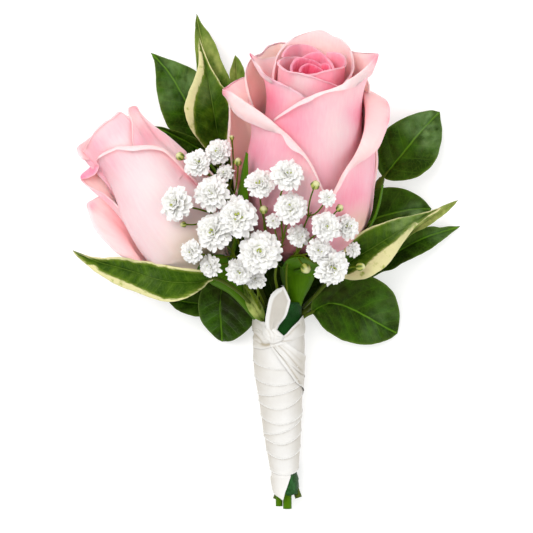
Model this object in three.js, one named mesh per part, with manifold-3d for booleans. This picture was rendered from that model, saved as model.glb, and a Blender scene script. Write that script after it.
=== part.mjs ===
// Boutonniere lying on its back: two garden roses, fifteen leaves, four sprays
// of small double white blossoms and a stem bundle bound with florist's tape
// and wrapped with ivory ribbon.
// Units are millimetres, +Z is up. +Y points from the cut stem ends to the
// flowers. The origin is the centre of the bottom face of the bounding box.
//
// The plan tables below hold points on a plan sheet (u to the right, v down,
// z = height above the table). PLAN.S is the sheet scale at table height and
// PLAN.D the height from which the sheet is drawn, so a point at height z
// lies on the line from that height through its sheet position.

import * as THREE from 'three';
import Module from 'manifold-3d';

const wasm = await Module();
wasm.setup();

// ---------------------------------------------------------------- dimensions
const GAP = 0.3;              // clear gap kept between neighbouring pieces
const WRAP_WALL = 0.45;       // wound ribbon, wall of the sleeve
const TAPE_WALL = 0.45;       // stretched florist's tape, wall of the sleeve
const HEAD_FLAT = 0.72;       // height / width of a double blossom
const OFFSET = [0.045, -0.058, 0]; // plan frame to part frame

// Plan sheet: scale, drawing height and the sheet centre.
const PLAN = {"S": 0.28, "D": 900.0, "CX": -0.14, "CY": -1.54, "PX": 266.5, "PY": 266.5};

// Blooms: plan place of the foot of the bloom axis, its lean on the sheet and
// its rise above the table in degrees, and the relative radius over height.
const ROSES = {
 "large": {"base": [299, 261, 10.1], "lean": 4.7, "tilt": 27.0,
  "R": [[0, 0.24], [2, 0.42], [4, 0.57], [7, 0.73], [11, 0.87], [16, 0.96], [22, 1.0], [28, 1.0], [36, 0.965], [44, 0.92], [52, 0.88], [60, 0.86], [70, 0.86]]},
 "small": {"base": [217, 268, 12.9], "lean": -37.6, "tilt": 6.0,
  "R": [[0, 0.3], [2, 0.5], [4, 0.67], [7, 0.85], [11, 0.97], [15, 1.0], [20, 0.97], [26, 0.9], [32, 0.82], [38, 0.74], [44, 0.68], [52, 0.64], [60, 0.62]]}
};

// Cores of the blooms: [height along the axis, radius].
const HEARTS = {
 "large": [[0.4,0.9],[12,1.1],[24,1.7],[36,2.1],[45,1.7],[51,1.2],[55,0.5]],
 "small": [[0.4,1.1],[4,2.0],[9,4.0],[16,6.2],[26,6.9],[35,6.4],[41,4.8],[45,2.4]]
};

// Petals, from the inside outwards: layer radius k, claw [azimuth, azimuth,
// height, radius], thickness th, the rim and, where the rim folds over, the
// edge of the fold (lip).
const PETALS = {
 "rose_large_petal_01": {"rose": "large", "k": 8.4, "base": [-60, 40, 34, 3.6], "th": 0.4,
  "rim": [[301.2,73,"f",-75],[302.2,68.9,"f",-95],[305.3,66.3,"f",-120],[310,65.3,"f",-150],[315.5,66.8,"b",2.2],[320.6,69.9,"f",125],[322.5,73,"f",95]]},
 "rose_large_petal_02": {"rose": "large", "k": 8.4, "base": [-20, 110, 34, 3.8], "th": 0.4,
  "rim": [[303,74,"f",-52],[309,76,"f",-20],[318,76,"f",15],[325.7,73.3,"f",52],[328.8,68.9,"f",85],[326.7,65.3,"f",108],[321.6,64.6,"f",130]]},
 "rose_large_petal_03": {"rose": "large", "k": 8.6, "base": [-90, 100, 26, 4.2], "th": 0.4,
  "rim": [[292.5,73,"f",-70],[293,65.8,"f",-95],[297,60.7,"f",-120],[303,59.3,"f",-140],[311.4,61.3,"f",-165],[318.6,65.2,"b",4.5],[324.4,70,"f",112]]},
 "rose_large_petal_04": {"rose": "large", "k": 8.8, "base": [60, 250, 26, 4.8], "th": 0.4,
  "rim": [[330,74,"f",65],[332.3,70,"f",85],[329.8,63.8,"f",115],[323.7,56.6,"b",6.4],[317.6,53.6,"b",6.6],[309.4,55.4,"b",6.8],[302,59.5,"f",218]]},
 "rose_large_petal_05": {"rose": "large", "k": 9.6, "base": [-30, 150, 5, 1.6], "th": 0.5,
  "rim": [[290,74.5,"r",8.0],[297,74.3,"r",8.1],[304,75.4,"r",8.1],[311.4,75.4,"r",8.1],[318,74.2,"r",8.1],[324.7,72.4,"r",8.2],[334,70.2,"r",8.5],[341.5,68.2,"f",68],[344.8,64.3,"f",88],[343.5,59,"f",105],[340,55.2,"f",120],[334.5,54,"f",138],[326.7,54,"f",155]]},
 "rose_large_petal_06": {"rose": "large", "k": 10.4, "base": [-135, -235, 4, 2.2], "th": 0.5,
  "rim": [[283.2,58,"f",-110],[284.9,53.6,"f",-120],[291,47.4,"f",-136],[301.2,45.9,"f",-156],[311.4,48,"b",9.4],[318.6,52.6,"b",8.4],[326.7,59.7,"f",-204],[331,66,"f",-230]]},
 "rose_large_petal_07": {"rose": "large", "k": 10.6, "base": [-110, 30, 4, 2.9], "th": 0.5,
  "rim": [[303,60,"f",-148],[295.5,58.5,"f",-134],[287,58.3,"f",-115],[281,61.2,"f",-97],[279.5,65.5,"f",-84],[284.9,70.4,"f",-62],[291,72.9,"r",8.9],[297,74.2,"r",8.9],[306,76.4,"r",9.1],[315.5,79,"r",9.4],[325,82.5,"r",9.8],[335,86.4,"r",10.2],[342,91,"r",10.6]]},
 "rose_large_petal_08": {"rose": "large", "k": 12.0, "base": [110, 250, 3, 3.3], "th": 0.5,
  "rim": [[343,85.5,"f",52],[350.5,73,"f",70],[352,60,"f",97],[348,48.5,"f",132],[340,40.8,"b",11.8],[334.5,38.8,"b",12.0],[329,36,"b",12.0],[322,32.2,"b",12.2],[313.5,32.8,"b",12.2],[301,36.2,"b",12.0],[289,43.4,"b",11.6],[280.8,52.5,"f",238],[277,62,"f",251],[274.2,74,"f",270],[273.5,86,"f",281],[274,97,"f",290]]},
 "rose_large_petal_09": {"rose": "large", "k": 13.6, "base": [-130, -10, 2, 3.2], "th": 0.55,
  "rim": [[279,58,"f",-140],[270,59,"f",-130],[262,60,"f",-120],[255.5,57.5,"f",-108],[250.9,54.8,"f",-97],[255,61.5,"f",-86],[259.5,67,"f",-76],[264.5,74.2,"f",-66],[272.7,79.8,"f",-54],[281,84,"r",13.2],[289,88.2,"r",13.2],[298,93.4,"r",13.2],[307.3,99.3,"r",13.2],[316,106,"r",13.4]],
  "lip": [[279,59,"f",-141],[269.5,60,"f",-131],[261,60.8,"f",-121],[254,57.8,"f",-109],[249.6,54.2,"f",-98],[252.5,62.5,"f",-88],[257,69.5,"f",-79],[262,77,"f",-69],[269.5,83,"f",-59],[278.5,87.5,"f",-49],[287.5,91.2,"f",-36],[297.5,95,"f",-22],[307,100,"f",-9],[316,106.8,"f",5]]},
 "rose_large_petal_10": {"rose": "large", "k": 14.7, "base": [0, 130, 1.5, 3.8], "th": 0.55,
  "rim": [[262,131,"f",-60],[272,122,"f",-46],[280.5,115,"r",14.4],[289,109.4,"r",14.2],[298,103.6,"r",14.0],[307.3,98.2,"r",13.9],[319.6,93.6,"r",14.0],[328.8,91.3,"r",14.1],[335.9,88.6,"r",14.3],[343,85.0,"r",14.6],[348.2,80.6,"r",14.9],[354.3,77,"f",47],[362.4,70.9,"f",56],[370,63.5,"f",66],[376.7,56.6,"f",76],[374.5,54.6,"f",92],[362.4,54.2,"f",118],[351.7,52.8,"f",134],[343,52,"f",146]],
  "lip": [[261,132,"f",-61],[271.4,123,"f",-47],[280.5,116.2,"r",15.6],[289.6,110.8,"r",15.5],[300,105.2,"r",15.4],[310.5,101.0,"r",15.2],[321.5,95.6,"r",15.2],[328.6,92.6,"r",15.3],[335,91.2,"r",15.7],[342,90.0,"r",16.0],[348.6,88.5,"r",16.4],[357.3,85.6,"f",55],[365.0,78.8,"f",62],[372.8,73.0,"f",69],[377.9,57.2,"f",79],[376.5,54.0,"f",93],[363,53.4,"f",118],[352,52.2,"f",134],[343,51.6,"f",146]]},
 "rose_large_petal_11": {"rose": "large", "k": 16.0, "base": [-210, -110, 1.0, 4.2], "th": 0.55,
  "rim": [[256.5,113,"f",-80],[253.3,104.6,"f",-85],[250,96.4,"f",-89],[247.2,84,"f",-94],[246.4,73,"f",-99],[249.5,63,"f",-106],[255,57.5,"f",-115],[262,54.5,"f",-124],[268.6,47.3,"f",-135],[280.8,43.7,"f",-151],[290,45,"b",17.4],[300,47,"b",17.2],[312,50,"b",16.4]],
  "lip": [[254.8,114,"f",-81],[251.6,105.4,"f",-86],[248.2,97.0,"f",-90],[245.6,84.4,"f",-94.5],[245.2,72.4,"f",-99],[248.6,62,"f",-106],[254.4,56.6,"f",-115],[261.4,53.6,"f",-124],[268.2,46.3,"f",-135],[280.7,42.9,"f",-151],[290,44.2,"b",17.9],[300,46.2,"b",17.7],[312,49.4,"b",16.9]]},
 "rose_large_petal_12": {"rose": "large", "k": 16.2, "base": [95, 190, 1.0, 4.4], "th": 0.55,
  "rim": [[371,106,"f",90],[368.2,92,"f",98],[367.0,83,"f",103],[361.5,72,"f",114],[355,62,"b",15.8],[347,54,"b",16.0],[337,50,"b",16.4],[324,48.5,"b",16.8],[313,50,"b",17.0]]},
 "rose_large_petal_13": {"rose": "large", "k": 16.7, "base": [-120, -5, 0.6, 4.6], "th": 0.6,
  "rim": [[254,79,"f",-124],[246.6,78,"f",-117],[236,82.5,"f",-107],[228.5,88,"f",-99],[224.5,90.8,"f",-91],[232.7,93.2,"f",-78],[244.5,101.5,"f",-67],[259.8,112.1,"f",-53],[272.8,122.1,"f",-40],[281,129.6,"f",-31],[286.5,134.2,"r",16.7],[291.7,139.3,"r",16.8],[299,147.2,"r",17.0],[305.8,155.8,"r",17.2],[311.6,165,"r",17.4],[316.5,174.8,"r",17.6],[320.5,184,"r",17.6],[324,194,"r",17.5],[327,205,"r",17.3]],
  "lip": [[253.4,78,"f",-124],[246,77,"f",-117],[235.2,81.6,"f",-107],[227.3,87.2,"f",-99],[222.3,92.6,"f",-92],[227.6,101.5,"f",-84],[234.8,113.4,"f",-75],[246.4,121.6,"f",-63],[262.0,128.0,"f",-49],[274.5,132.8,"f",-38],[281.3,134.9,"r",18.4],[285.2,141.4,"r",18.7],[291.8,149.0,"r",19.0],[301.4,154.8,"r",18.8],[308.6,163.6,"r",18.5],[315.0,175.2,"r",18.2],[319.6,184.6,"r",18.1],[323.2,194.4,"r",18.0],[326.2,205.4,"r",17.8]]},
 "rose_large_petal_14": {"rose": "large", "k": 18.4, "base": [5, 120, 0.3, 4.8], "th": 0.6,
  "rim": [[324,212,"r",18.6],[328.5,202,"r",18.9],[334.2,191,"r",19.1],[342.4,174.6,"r",19.2],[350.7,161.6,"r",18.8],[359,146.2,"f",53],[363.4,135.2,"f",61],[365.8,124.5,"f",69],[366.6,113,"f",76],[366.2,103,"f",84],[363.6,95.6,"f",98],[358.6,91.4,"f",122],[351,90,"b",17.2]],
  "lip": [[325.5,213.5,"r",19.4],[330.5,203.5,"r",19.8],[336.8,192.8,"r",20.2],[346.4,174.8,"r",20.8],[355.6,165.6,"f",43],[366.8,159.2,"f",55],[378.2,148.8,"f",66],[385.8,131.5,"f",74],[389.6,116.0,"f",83],[386.8,101.2,"f",96],[372.5,91.6,"f",110],[361.2,89.8,"f",129],[351,89,"b",17.8]]},
 "rose_large_petal_15": {"rose": "large", "k": 18.6, "base": [-185, -90, 0.2, 5.0], "th": 0.6,
  "rim": [[246,212,"f",-72],[242.5,202,"f",-77],[238.6,191.5,"f",-82],[235,178,"f",-86],[232.6,162,"f",-90],[230.6,148,"f",-93],[229.6,136,"f",-97],[230.6,126,"f",-100],[230.6,112,"f",-104],[231.0,99,"f",-108],[238,91,"f",-115],[249,87,"b",20.2],[262,86,"b",19.8],[280,88,"b",19.4]]},
 "rose_large_petal_16": {"rose": "large", "k": 19.2, "base": [70, 175, 0.2, 5.0], "th": 0.6,
  "rim": [[355.5,227,"f",66],[363.0,213,"f",76],[369.6,197,"f",83],[373.6,180,"f",88],[375.6,165,"f",92],[375.6,151,"f",97],[373.5,134,"f",105],[366,118,"f",124],[354,106,"b",18.6],[340,99,"b",19.2],[325,96,"b",19.6],[312,96,"b",19.8]]},
 "rose_large_petal_17": {"rose": "large", "k": 18.9, "base": [140, 230, 0.0, 5.2], "th": 0.6,
  "rim": [[352,150,"b",19.0],[345,128,"b",19.4],[333,112,"b",20.0],[317,104,"b",20.6],[299,102,"b",20.8],[281,107,"b",20.6],[266,120,"b",20.0],[258,142,"b",19.2]]},
 "rose_small_petal_01": {"rose": "small", "k": 11.3, "base": [-110, 60, 3, 2.6], "th": 0.5,
  "rim": [[84,152.5,"f",-96],[87.5,147.3,"f",-84],[91.2,140.2,"r",8.8],[97.0,131.6,"r",8.8],[104.4,124.4,"r",8.7],[112,119.4,"r",8.6],[118.6,113.6,"r",8.6],[122,113.8,"r",8.6],[127.3,118.0,"r",8.7],[131.5,123.0,"r",8.6],[136,129,"r",8.7],[140,137,"r",8.8]]},
 "rose_small_petal_02": {"rose": "small", "k": 12.0, "base": [10, 104, 2, 3.2], "th": 0.5,
  "rim": [[134,160,"r",9.0],[133.2,152,"r",9.2],[132.9,145,"r",9.5],[132.9,134,"r",9.6],[132.3,124.4,"r",9.5],[129.6,117,"r",9.4],[128.0,111.0,"r",9.3],[131,107.6,"r",9.2],[135.6,108.2,"f",70],[139.4,114.6,"f",76],[147,122.6,"f",80],[156.4,129.8,"f",83],[167,137.6,"f",85],[177,145.6,"f",87],[186,154,"f",89]]},
 "rose_small_petal_03": {"rose": "small", "k": 11.7, "base": [150, 290, 1.5, 3.6], "th": 0.5,
  "rim": [[141,124,"f",112],[134,119,"b",9.2],[124,117.5,"b",9.2],[112,121,"b",9.4],[101,128.5,"b",9.6],[91.5,138,"b",9.8],[84.5,143.5,"f",-112],[79.8,146.6,"f",-102],[79.2,150.4,"f",-97],[81.6,156.2,"f",-95],[85.4,159.8,"f",-95],[92,159.6,"f",-97]]},
 "rose_small_petal_04": {"rose": "small", "k": 13.6, "base": [-160, -60, 1.5, 3.8], "th": 0.55,
  "rim": [[124,216,"f",-74],[119.6,208.5,"f",-78],[112.5,200.6,"f",-83],[105,194.6,"f",-87],[96.7,190,"f",-90],[88.5,186,"f",-93],[81.4,178.4,"f",-97],[85.4,173.0,"f",-103],[91.4,168.0,"f",-110],[97.0,160,"f",-122],[101,152,"f",-138]],
  "lip": [[123,217,"f",-74],[118.7,209.6,"f",-78],[111.6,201.6,"f",-83],[104.4,195.6,"f",-87],[96.3,191,"f",-90],[87.6,186.8,"f",-93],[81.2,179.6,"f",-95],[88.0,177.6,"f",-90],[95.2,173.6,"f",-86],[99.0,167,"f",-88],[102,155,"f",-128]]},
 "rose_small_petal_05": {"rose": "small", "k": 13.9, "base": [-60, 60, 0.6, 4.2], "th": 0.6,
  "rim": [[112,194,"f",-106],[106,182,"f",-102],[101.5,170,"f",-93],[98.8,161,"f",-80],[101.6,155.5,"r",9.6],[107.5,151.6,"r",9.4],[113.6,148.8,"r",9.3],[117.5,146.8,"r",9.3],[124.3,146.8,"r",9.4],[133.4,146.2,"r",9.7],[145.7,146.0,"r",10.1],[154.9,146.8,"r",10.5],[164,150,"r",11.0],[173.2,157,"r",11.6],[181.5,165,"r",12.2],[189,174,"r",12.8],[201,186,"r",13.4],[213,202,"r",13.9],[221,221,"r",13.6]],
  "lip": [[111,195,"f",-107],[104.8,183,"f",-103],[99.8,171,"f",-94],[96.8,161.6,"f",-82],[100.0,157.8,"r",10.6],[106.6,154.0,"r",10.5],[113.2,150.8,"r",10.5],[117.7,149.0,"r",10.5],[124.6,150.4,"r",10.8],[133.4,151.2,"r",11.2],[145.9,149.4,"r",11.5],[154.7,149.4,"r",11.8],[163.2,152.4,"r",12.1],[172.0,159.0,"r",12.6],[180.2,166.8,"r",13.1],[187.9,175.4,"r",13.6],[200,187.2,"r",14.1],[212.2,203,"r",14.4],[220.4,222,"r",14.0]]},
 "rose_small_petal_06": {"rose": "small", "k": 13.3, "base": [60, 190, 1.0, 4.4], "th": 0.55,
  "rim": [[180,180,"r",12.2],[187,167,"f",70],[183.5,157.5,"f",84],[174,147.5,"f",97],[162,138,"f",108],[150,131,"f",120],[137,127,"b",9.4],[124,127,"b",9.6]]},
 "rose_small_petal_07": {"rose": "small", "k": 15.4, "base": [-125, -70, 0.6, 4.8], "th": 0.55,
  "rim": [[146,268,"f",-91],[138,262.6,"f",-92],[127.3,258.2,"f",-93],[118,252.4,"f",-94],[110.5,244.6,"f",-94],[101.6,235,"f",-94],[94.8,224,"f",-95],[91.0,211,"f",-98],[89.2,204,"f",-101],[95.2,199.6,"f",-107],[104.4,194.4,"f",-114],[112,190,"f",-124],[118,184,"f",-136]]},
 "rose_small_petal_08": {"rose": "small", "k": 14.2, "base": [80, 215, 0.4, 4.8], "th": 0.55,
  "rim": [[222,226,"f",62],[223.5,210,"f",74],[221,193,"f",84],[213.4,177.5,"f",90],[200.5,164.8,"f",98],[187.5,156.6,"f",107],[174,152,"f",120],[160,148,"b",13.2],[144,148,"b",13.4],[130,152,"b",13.4]]},
 "rose_small_petal_09": {"rose": "small", "k": 13.8, "base": [-225, -115, 0.4, 4.8], "th": 0.55,
  "rim": [[118,206,"f",-104],[110,192,"f",-114],[105,179,"b",11.8],[106,167,"b",12.2],[112,159,"b",12.6],[122,154,"b",12.8],[136,152,"b",12.8],[150,155,"b",12.6]]}
};

// Sepals: [azimuth, height, radius, half width] from the hip to the tip.
const SEPALS = {
 "large": [
  [[-56,-1.5,4.3,2.0],[-57,2.5,10.2,2.4],[-58,7,15.6,2.8],[-58,13,19.0,3.1],[-58,20,20.0,2.9],[-59,28,19.8,1.9],[-60,36,19.2,0.5]],
  [[8,-1.5,4.3,1.8],[8,0.8,7.6,2.0],[8,3.2,11.4,1.4],[8,5.2,14.0,0.5]],
  [[80,-1.5,4.3,1.8],[80,2.5,10.2,2.3],[80,7,15.4,2.6],[80,13,18.6,2.4],[80,20,20.6,1.6],[80,27,21.2,0.5]],
  [[140,-1.5,4.3,1.8],[138,2.5,9.8,2.2],[136,7,14.9,2.4],[134,12,18.2,1.8],[133,17,20.4,0.5]],
  [[-138,-1.5,4.3,1.8],[-136,2.5,9.8,2.2],[-134,7,14.9,2.4],[-132,12,18.2,1.8],[-131,17,20.4,0.5]]],
 "small": [
  [[-92,-1.2,3.6,1.7],[-98,2.5,9.0,2.2],[-104,7,13.8,2.4],[-108,12,16.0,1.8],[-110,16,16.8,0.5]],
  [[2,-1.2,3.6,1.7],[2,1.0,7.0,1.9],[2,3.4,10.6,1.4],[2,5.6,12.8,0.5]],
  [[72,-1.2,3.6,1.7],[72,2.5,9.0,2.2],[72,7,13.8,2.4],[72,13,16.4,2.0],[72,19,17.0,1.2],[72,24,16.8,0.5]],
  [[132,-1.2,3.6,1.7],[131,2.5,8.6,2.0],[130,6.5,12.8,2.0],[129,10.5,14.8,1.4],[129,14,15.6,0.5]],
  [[-134,-1.2,3.6,1.7],[-133,2.5,8.6,2.0],[-132,6.5,12.8,2.0],[-131,10.5,14.8,1.4],[-131,14,15.6,0.5]]]
};

// Leaves: midrib M and margins L and R, margins with z above the midrib.
const LEAVES = {
 "leaf_back_centre": {"th": 0.5, "camber": 0.3,
  "M": [[277,304.5,2.0],[272,290,1.0],[266,272,0.6],[258,250,0.55],[250,230,0.55]],
  "L": [[277,304.5,0],[261,306.6,0],[246.4,297,0],[237,281,0],[233,264,0],[235,247,0],[241,236,0],[250,230,0]],
  "R": [[277,304.5,0],[288,301,0],[296,288,0],[299,271,0],[294,254,0],[281,240,0],[266,232,0],[250,230,0]]},
 "leaf_back_right": {"th": 0.5, "camber": 0.3,
  "M": [[336,268,2.0],[328,276,1.1],[318,288,0.8],[308,300,0.8],[300,310,1.0]],
  "L": [[336,268,0],[341,280,0],[338,296,0],[326,308,0],[312,312,0],[300,310,0]],
  "R": [[336,268,0],[324,264,0],[311,270,0],[302,283,0],[299,297,0],[300,310,0]]},
 "leaf_back_upper": {"th": 0.5, "camber": 0.3,
  "M": [[237,238,0.6],[233,212,0.55],[226,186,0.55],[219,160,0.55],[213,143,0.55]],
  "L": [[237,238,0],[224,222,0],[213,205,0],[206,185,0],[203.5,165,0],[206.5,150,0],[213,143,0]],
  "R": [[237,238,0],[243,220,0],[243,198,0],[238,176,0],[229,156,0],[213,143,0]]},
 "leaf_upper_left": {"th": 0.5, "camber": 0.6,
  "M": [[216,158,4.0],[204,132,4.6],[184.3,98.4,4.6],[170,74.3,3.4],[157.5,59.5,1.8],[150.8,52.9,0.9]],
  "L": [[216,158,0],[202,146,1.0],[183,137,1.4],[170,128.8,1.5],[164.6,118.9,1.5],[160.2,106.4,1.4],[156.6,90.4,1.2],[155.7,74.3,1.0],[154.6,61.8,0.5],[150.8,52.9,0]],
  "R": [[216,158,0],[219,140,1.2],[215,115,1.6],[207,89,1.4],[195.9,71.6,1.2],[180.7,63.6,1.0],[162.9,57.3,0.5],[150.8,52.9,0]]},
 "leaf_variegated_upper": {"th": 0.5, "camber": 0.7,
  "M": [[221,160,9.5],[218.5,140,12.5],[211,95.7,14.0],[205.7,67,12.6],[201.8,50,10.6],[199.4,38.6,9.0]],
  "L": [[221,160,0],[211,154,1.6],[203,145.7,2.4],[195,135,2.9],[187.9,122.5,3.0],[184.7,108.2,2.9],[187.9,94.8,2.6],[194,79.6,2.0],[198.6,63.6,1.2],[198.6,48.4,0.5],[199.4,38.6,0]],
  "R": [[221,160,0],[226.5,148,1.0],[229,135,1.6],[230.4,127,1.8],[233.4,117,2.0],[232.5,108.2,2.0],[228,99.3,1.9],[225.4,89.5,1.8],[220.9,84,1.7],[211,67,1.2],[203.6,50,0.5],[199.4,38.6,0]]},
 "leaf_upper_back": {"th": 0.5, "camber": 0.5,
  "M": [[220,152,5.6],[219,138,6.4],[217.5,110,7.6],[212,80,7.6],[204,48,6.0],[198.4,26,4.0],[196.6,13.8,3.0]],
  "L": [[220,152,0],[213,135,0.8],[205.5,108,1.2],[200,85,1.2],[197.2,69.8,1.1],[196.1,56.4,0.9],[194.9,41.3,0.7],[195.5,23.4,0.3],[196.6,13.8,0]],
  "R": [[220,152,0],[224,136,0.8],[229,115,1.2],[231.5,95,1.3],[229.8,78.8,1.2],[227,72.5,1.1],[221.8,61.8,0.9],[216.4,46.6,0.7],[209.3,34,0.5],[202,24.4,0.3],[196.6,13.8,0]]},
 "leaf_bud_top": {"th": 0.45, "camber": 0.4,
  "M": [[238.5,104,7.0],[238,92,8.2],[236.8,76,8.8],[235.4,55.2,8.0]],
  "L": [[238.5,104,0],[233.5,92,0.5],[230.7,83,0.7],[229.8,72.5,0.8],[232.6,63,0.5],[235.4,55.2,0]],
  "R": [[238.5,104,0],[244.5,94,0.5],[246.4,82,0.7],[244.2,70.7,0.7],[240,61,0.4],[235.4,55.2,0]]},
 "leaf_dark_left": {"th": 0.5, "camber": 0.4,
  "M": [[218,166,5.4],[203,152,7.0],[185,141,7.8],[166,131.5,8.0],[149.5,126.3,8.2]],
  "L": [[218,166,0],[205,163.4,0.4],[187,156,0.6],[169,143,0.6],[157.4,132.6,0.3],[149.5,126.3,0]],
  "R": [[218,166,0],[213,153,0.5],[205.6,144.4,0.8],[194.4,137.6,0.9],[182,132.6,0.9],[171.8,129.6,0.8],[162.9,127,0.5],[149.5,126.3,0]]},
 "leaf_upper_right": {"th": 0.5, "camber": 0.5,
  "M": [[383.2,177,6.6],[401,155.7,7.0],[417.1,135.6,5.2],[430,121.5,2.6],[439.6,111.9,1.0]],
  "L": [[383.2,177,0],[378,169,0.7],[376.8,155,1.2],[380,141,1.4],[386.7,129.3,1.4],[396.4,122,1.2],[407.4,116.5,1.0],[420.6,112.2,0.7],[431.5,110.6,0.4],[439.6,111.9,0]],
  "R": [[383.2,177,0],[387.2,179.4,0.3],[394.7,180.6,0.5],[404.5,180.1,0.8],[416,177.2,0.9],[426.3,170.9,1.0],[434.4,161.7,1.0],[439.6,149,1.0],[441.8,134.5,0.8],[441,122,0.5],[439.6,111.9,0]]},
 "leaf_middle_right": {"th": 0.5, "camber": 0.5,
  "M": [[351,236,4.6],[375,219,5.2],[401,211.4,4.6],[418,208.8,3.4],[431.4,208.9,2.4]],
  "L": [[351,236,0],[356,214,0.7],[364,198,1.0],[375.8,189.6,1.2],[385,187.6,1.2],[394.2,187.4,1.1],[405.7,189.6,1.0],[416,194.2,0.8],[424.4,200.4,0.5],[431.4,208.9,0]],
  "R": [[351,236,0],[366,244,0.6],[384,243,1.0],[402,236,1.0],[417,226,0.8],[426,217,0.4],[431.4,208.9,0]]},
 "leaf_variegated_right": {"th": 0.5, "camber": 0.6,
  "M": [[338,272,18.0],[352.8,259.5,20.5],[371.2,248.6,21.2],[391.9,235.6,18.8],[412.6,222.5,14.6],[429.8,213.0,11.0],[441.5,207.4,9.0]],
  "L": [[338,272,0],[343,254,1.8],[349,242,2.4],[356.9,235.0,2.6],[371.2,227.0,2.6],[385,222.3,2.4],[397.6,218.3,2.0],[414.9,214.8,1.3],[428.6,211.3,0.6],[441.5,207.4,0]],
  "R": [[338,272,0],[341,277,0.8],[348.2,279.4,1.6],[359.7,279.6,2.2],[371.2,276.1,2.5],[382.7,268.6,2.6],[391.9,259.4,2.5],[401,245.6,2.2],[410.3,232.9,1.8],[417.2,224.9,1.4],[426.3,217.9,0.9],[436.7,211.9,0.3],[441.5,207.4,0]]},
 "leaf_right_behind": {"th": 0.5, "camber": 0.4,
  "M": [[366,262,7.2],[390,247,8.4],[412,231.5,8.2],[434,216,6.6],[448,206.5,5.4],[458.0,200.3,4.6]],
  "L": [[366,262,0],[376,246,0.6],[392,234,0.8],[410,222,0.8],[428,213,0.6],[440,207.3,0.4],[450,203,0.2],[458.0,200.3,0]],
  "R": [[366,262,0],[382,258,0.4],[398,247,0.6],[412.6,234.2,0.7],[429.8,224.9,0.7],[444.7,213.4,0.4],[453.6,205.4,0.2],[458.0,200.3,0]]},
 "leaf_right_lower": {"th": 0.5, "camber": 0.4,
  "M": [[352,286,4.4],[372,269,5.2],[395,253.6,5.4],[421.8,239.0,4.4],[441.3,232.0,2.6],[459.9,226.4,1.0]],
  "L": [[352,286,0],[366,262,1.0],[384,247,1.4],[404,236,1.4],[420,229,1.1],[432,226.8,0.9],[440.7,227.5,0.7],[451.6,226.3,0.3],[459.9,226.4,0]],
  "R": [[352,286,0],[366,281,0.4],[381.6,272.1,1.0],[391.9,269.4,1.3],[403.4,262.7,1.5],[417.2,255.8,1.4],[430.9,248.9,1.1],[442.4,239.9,0.7],[452,232.4,0.3],[459.9,226.4,0]]},
 "leaf_lower_right": {"th": 0.5, "camber": 0.5,
  "M": [[311.4,312.6,8.6],[321.8,306,8.8],[332,303.4,8.2],[345.9,306.4,6.8],[364.3,315.5,4.8],[382.7,325.9,2.4],[397.2,333.4,0.8]],
  "L": [[311.4,312.6,0],[311.6,304,0.6],[315.5,295.5,1.0],[323,286.6,1.3],[335,278.5,1.4],[350,274.4,1.5],[364,274.8,1.4],[375.8,278.6,1.3],[385,284.3,1.2],[391.9,291.2,1.1],[396.7,300.6,0.9],[399.6,314.4,0.7],[399.0,323.6,0.4],[397.2,333.4,0]],
  "R": [[311.4,312.6,0],[313.6,314.5,0.2],[317.0,319.2,0.4],[324.0,328.4,0.7],[336.8,337.0,0.9],[345.9,341.0,1.0],[357.4,343.9,1.0],[368.9,344.5,0.9],[382.7,341.6,0.6],[391.9,337.6,0.3],[397.2,333.4,0]]},
 "leaf_variegated_left": {"th": 0.5, "camber": 0.6,
  "M": [[214,278,22.6],[202,281.4,23.6],[190,282.8,23.4],[168.4,281.6,21.4],[148.9,277.0,18.2],[135.9,272.4,15.6],[114.2,266.2,11.6],[95.8,260.8,8.6],[72.8,250.4,6.2]],
  "R": [[214,278,0],[208,272.4,0.8],[198.8,269.9,1.4],[179.3,267.7,1.8],[164.1,265.0,1.8],[148.9,261.8,1.6],[135.9,260.7,1.4],[129.4,258.5,1.2],[116.4,257.4,0.9],[101.2,258.0,0.5],[81.7,255.6,0.2],[72.8,250.4,0]],
  "L": [[214,278,0],[208.5,281.6,0.5],[200.9,289.8,1.1],[187.9,297.4,1.8],[174.9,301.2,2.1],[164.1,301.2,2.1],[152.1,298.0,2.0],[135.9,292.0,1.8],[118.5,285.5,1.4],[103.4,276.8,1.0],[88.2,266.0,0.5],[76.3,255.2,0.1],[72.8,250.4,0]]},
 "leaf_left_under": {"th": 0.5, "camber": 0.4,
  "M": [[236,298,6.6],[218,303,6.6],[200,303.6,5.8],[182,301,4.6],[165,296,3.6]],
  "L": [[236,298,0],[226,309,0.5],[213,315.4,0.8],[199.9,316.4,0.9],[193.3,315.8,0.9],[182.5,312.6,0.8],[173.8,307.2,0.5],[165,296,0]],
  "R": [[236,298,0],[224,292,0.5],[208,288.6,0.8],[192,287.6,0.7],[178,290,0.4],[165,296,0]]},
 "leaf_lower_left": {"th": 0.5, "camber": 0.5,
  "M": [[225,276,10.6],[221.4,290,11.0],[220.2,305.6,9.4],[220.7,320,6.0],[222.2,341.4,1.2]],
  "R": [[225,276,0],[213,279.4,0.8],[206,284.4,1.1],[201.6,290.4,1.2],[198.7,299.3,1.2],[198.4,309.1,1.1],[200.8,318.9,1.0],[205.8,327.4,0.8],[212.3,334.5,0.5],[217.6,339.2,0.2],[222.2,341.4,0]],
  "L": [[225,276,0],[238,284,0.8],[247,294,1.2],[252.0,304,1.3],[254.2,314,1.3],[253.5,320.4,1.2],[251.0,326,1.0],[244.8,332.4,0.7],[237.6,337.3,0.4],[230.5,340.6,0.2],[222.2,341.4,0]]},
 "leaf_small_centre": {"th": 0.5, "camber": 0.4,
  "M": [[263.5,322,12.6],[256.6,310,14.4],[249.6,297,15.2],[243.6,282.6,14.6]],
  "L": [[263.5,322,0],[254.0,317,0.3],[247.4,307,0.5],[244.6,296.5,0.5],[243.6,282.6,0]],
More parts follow.
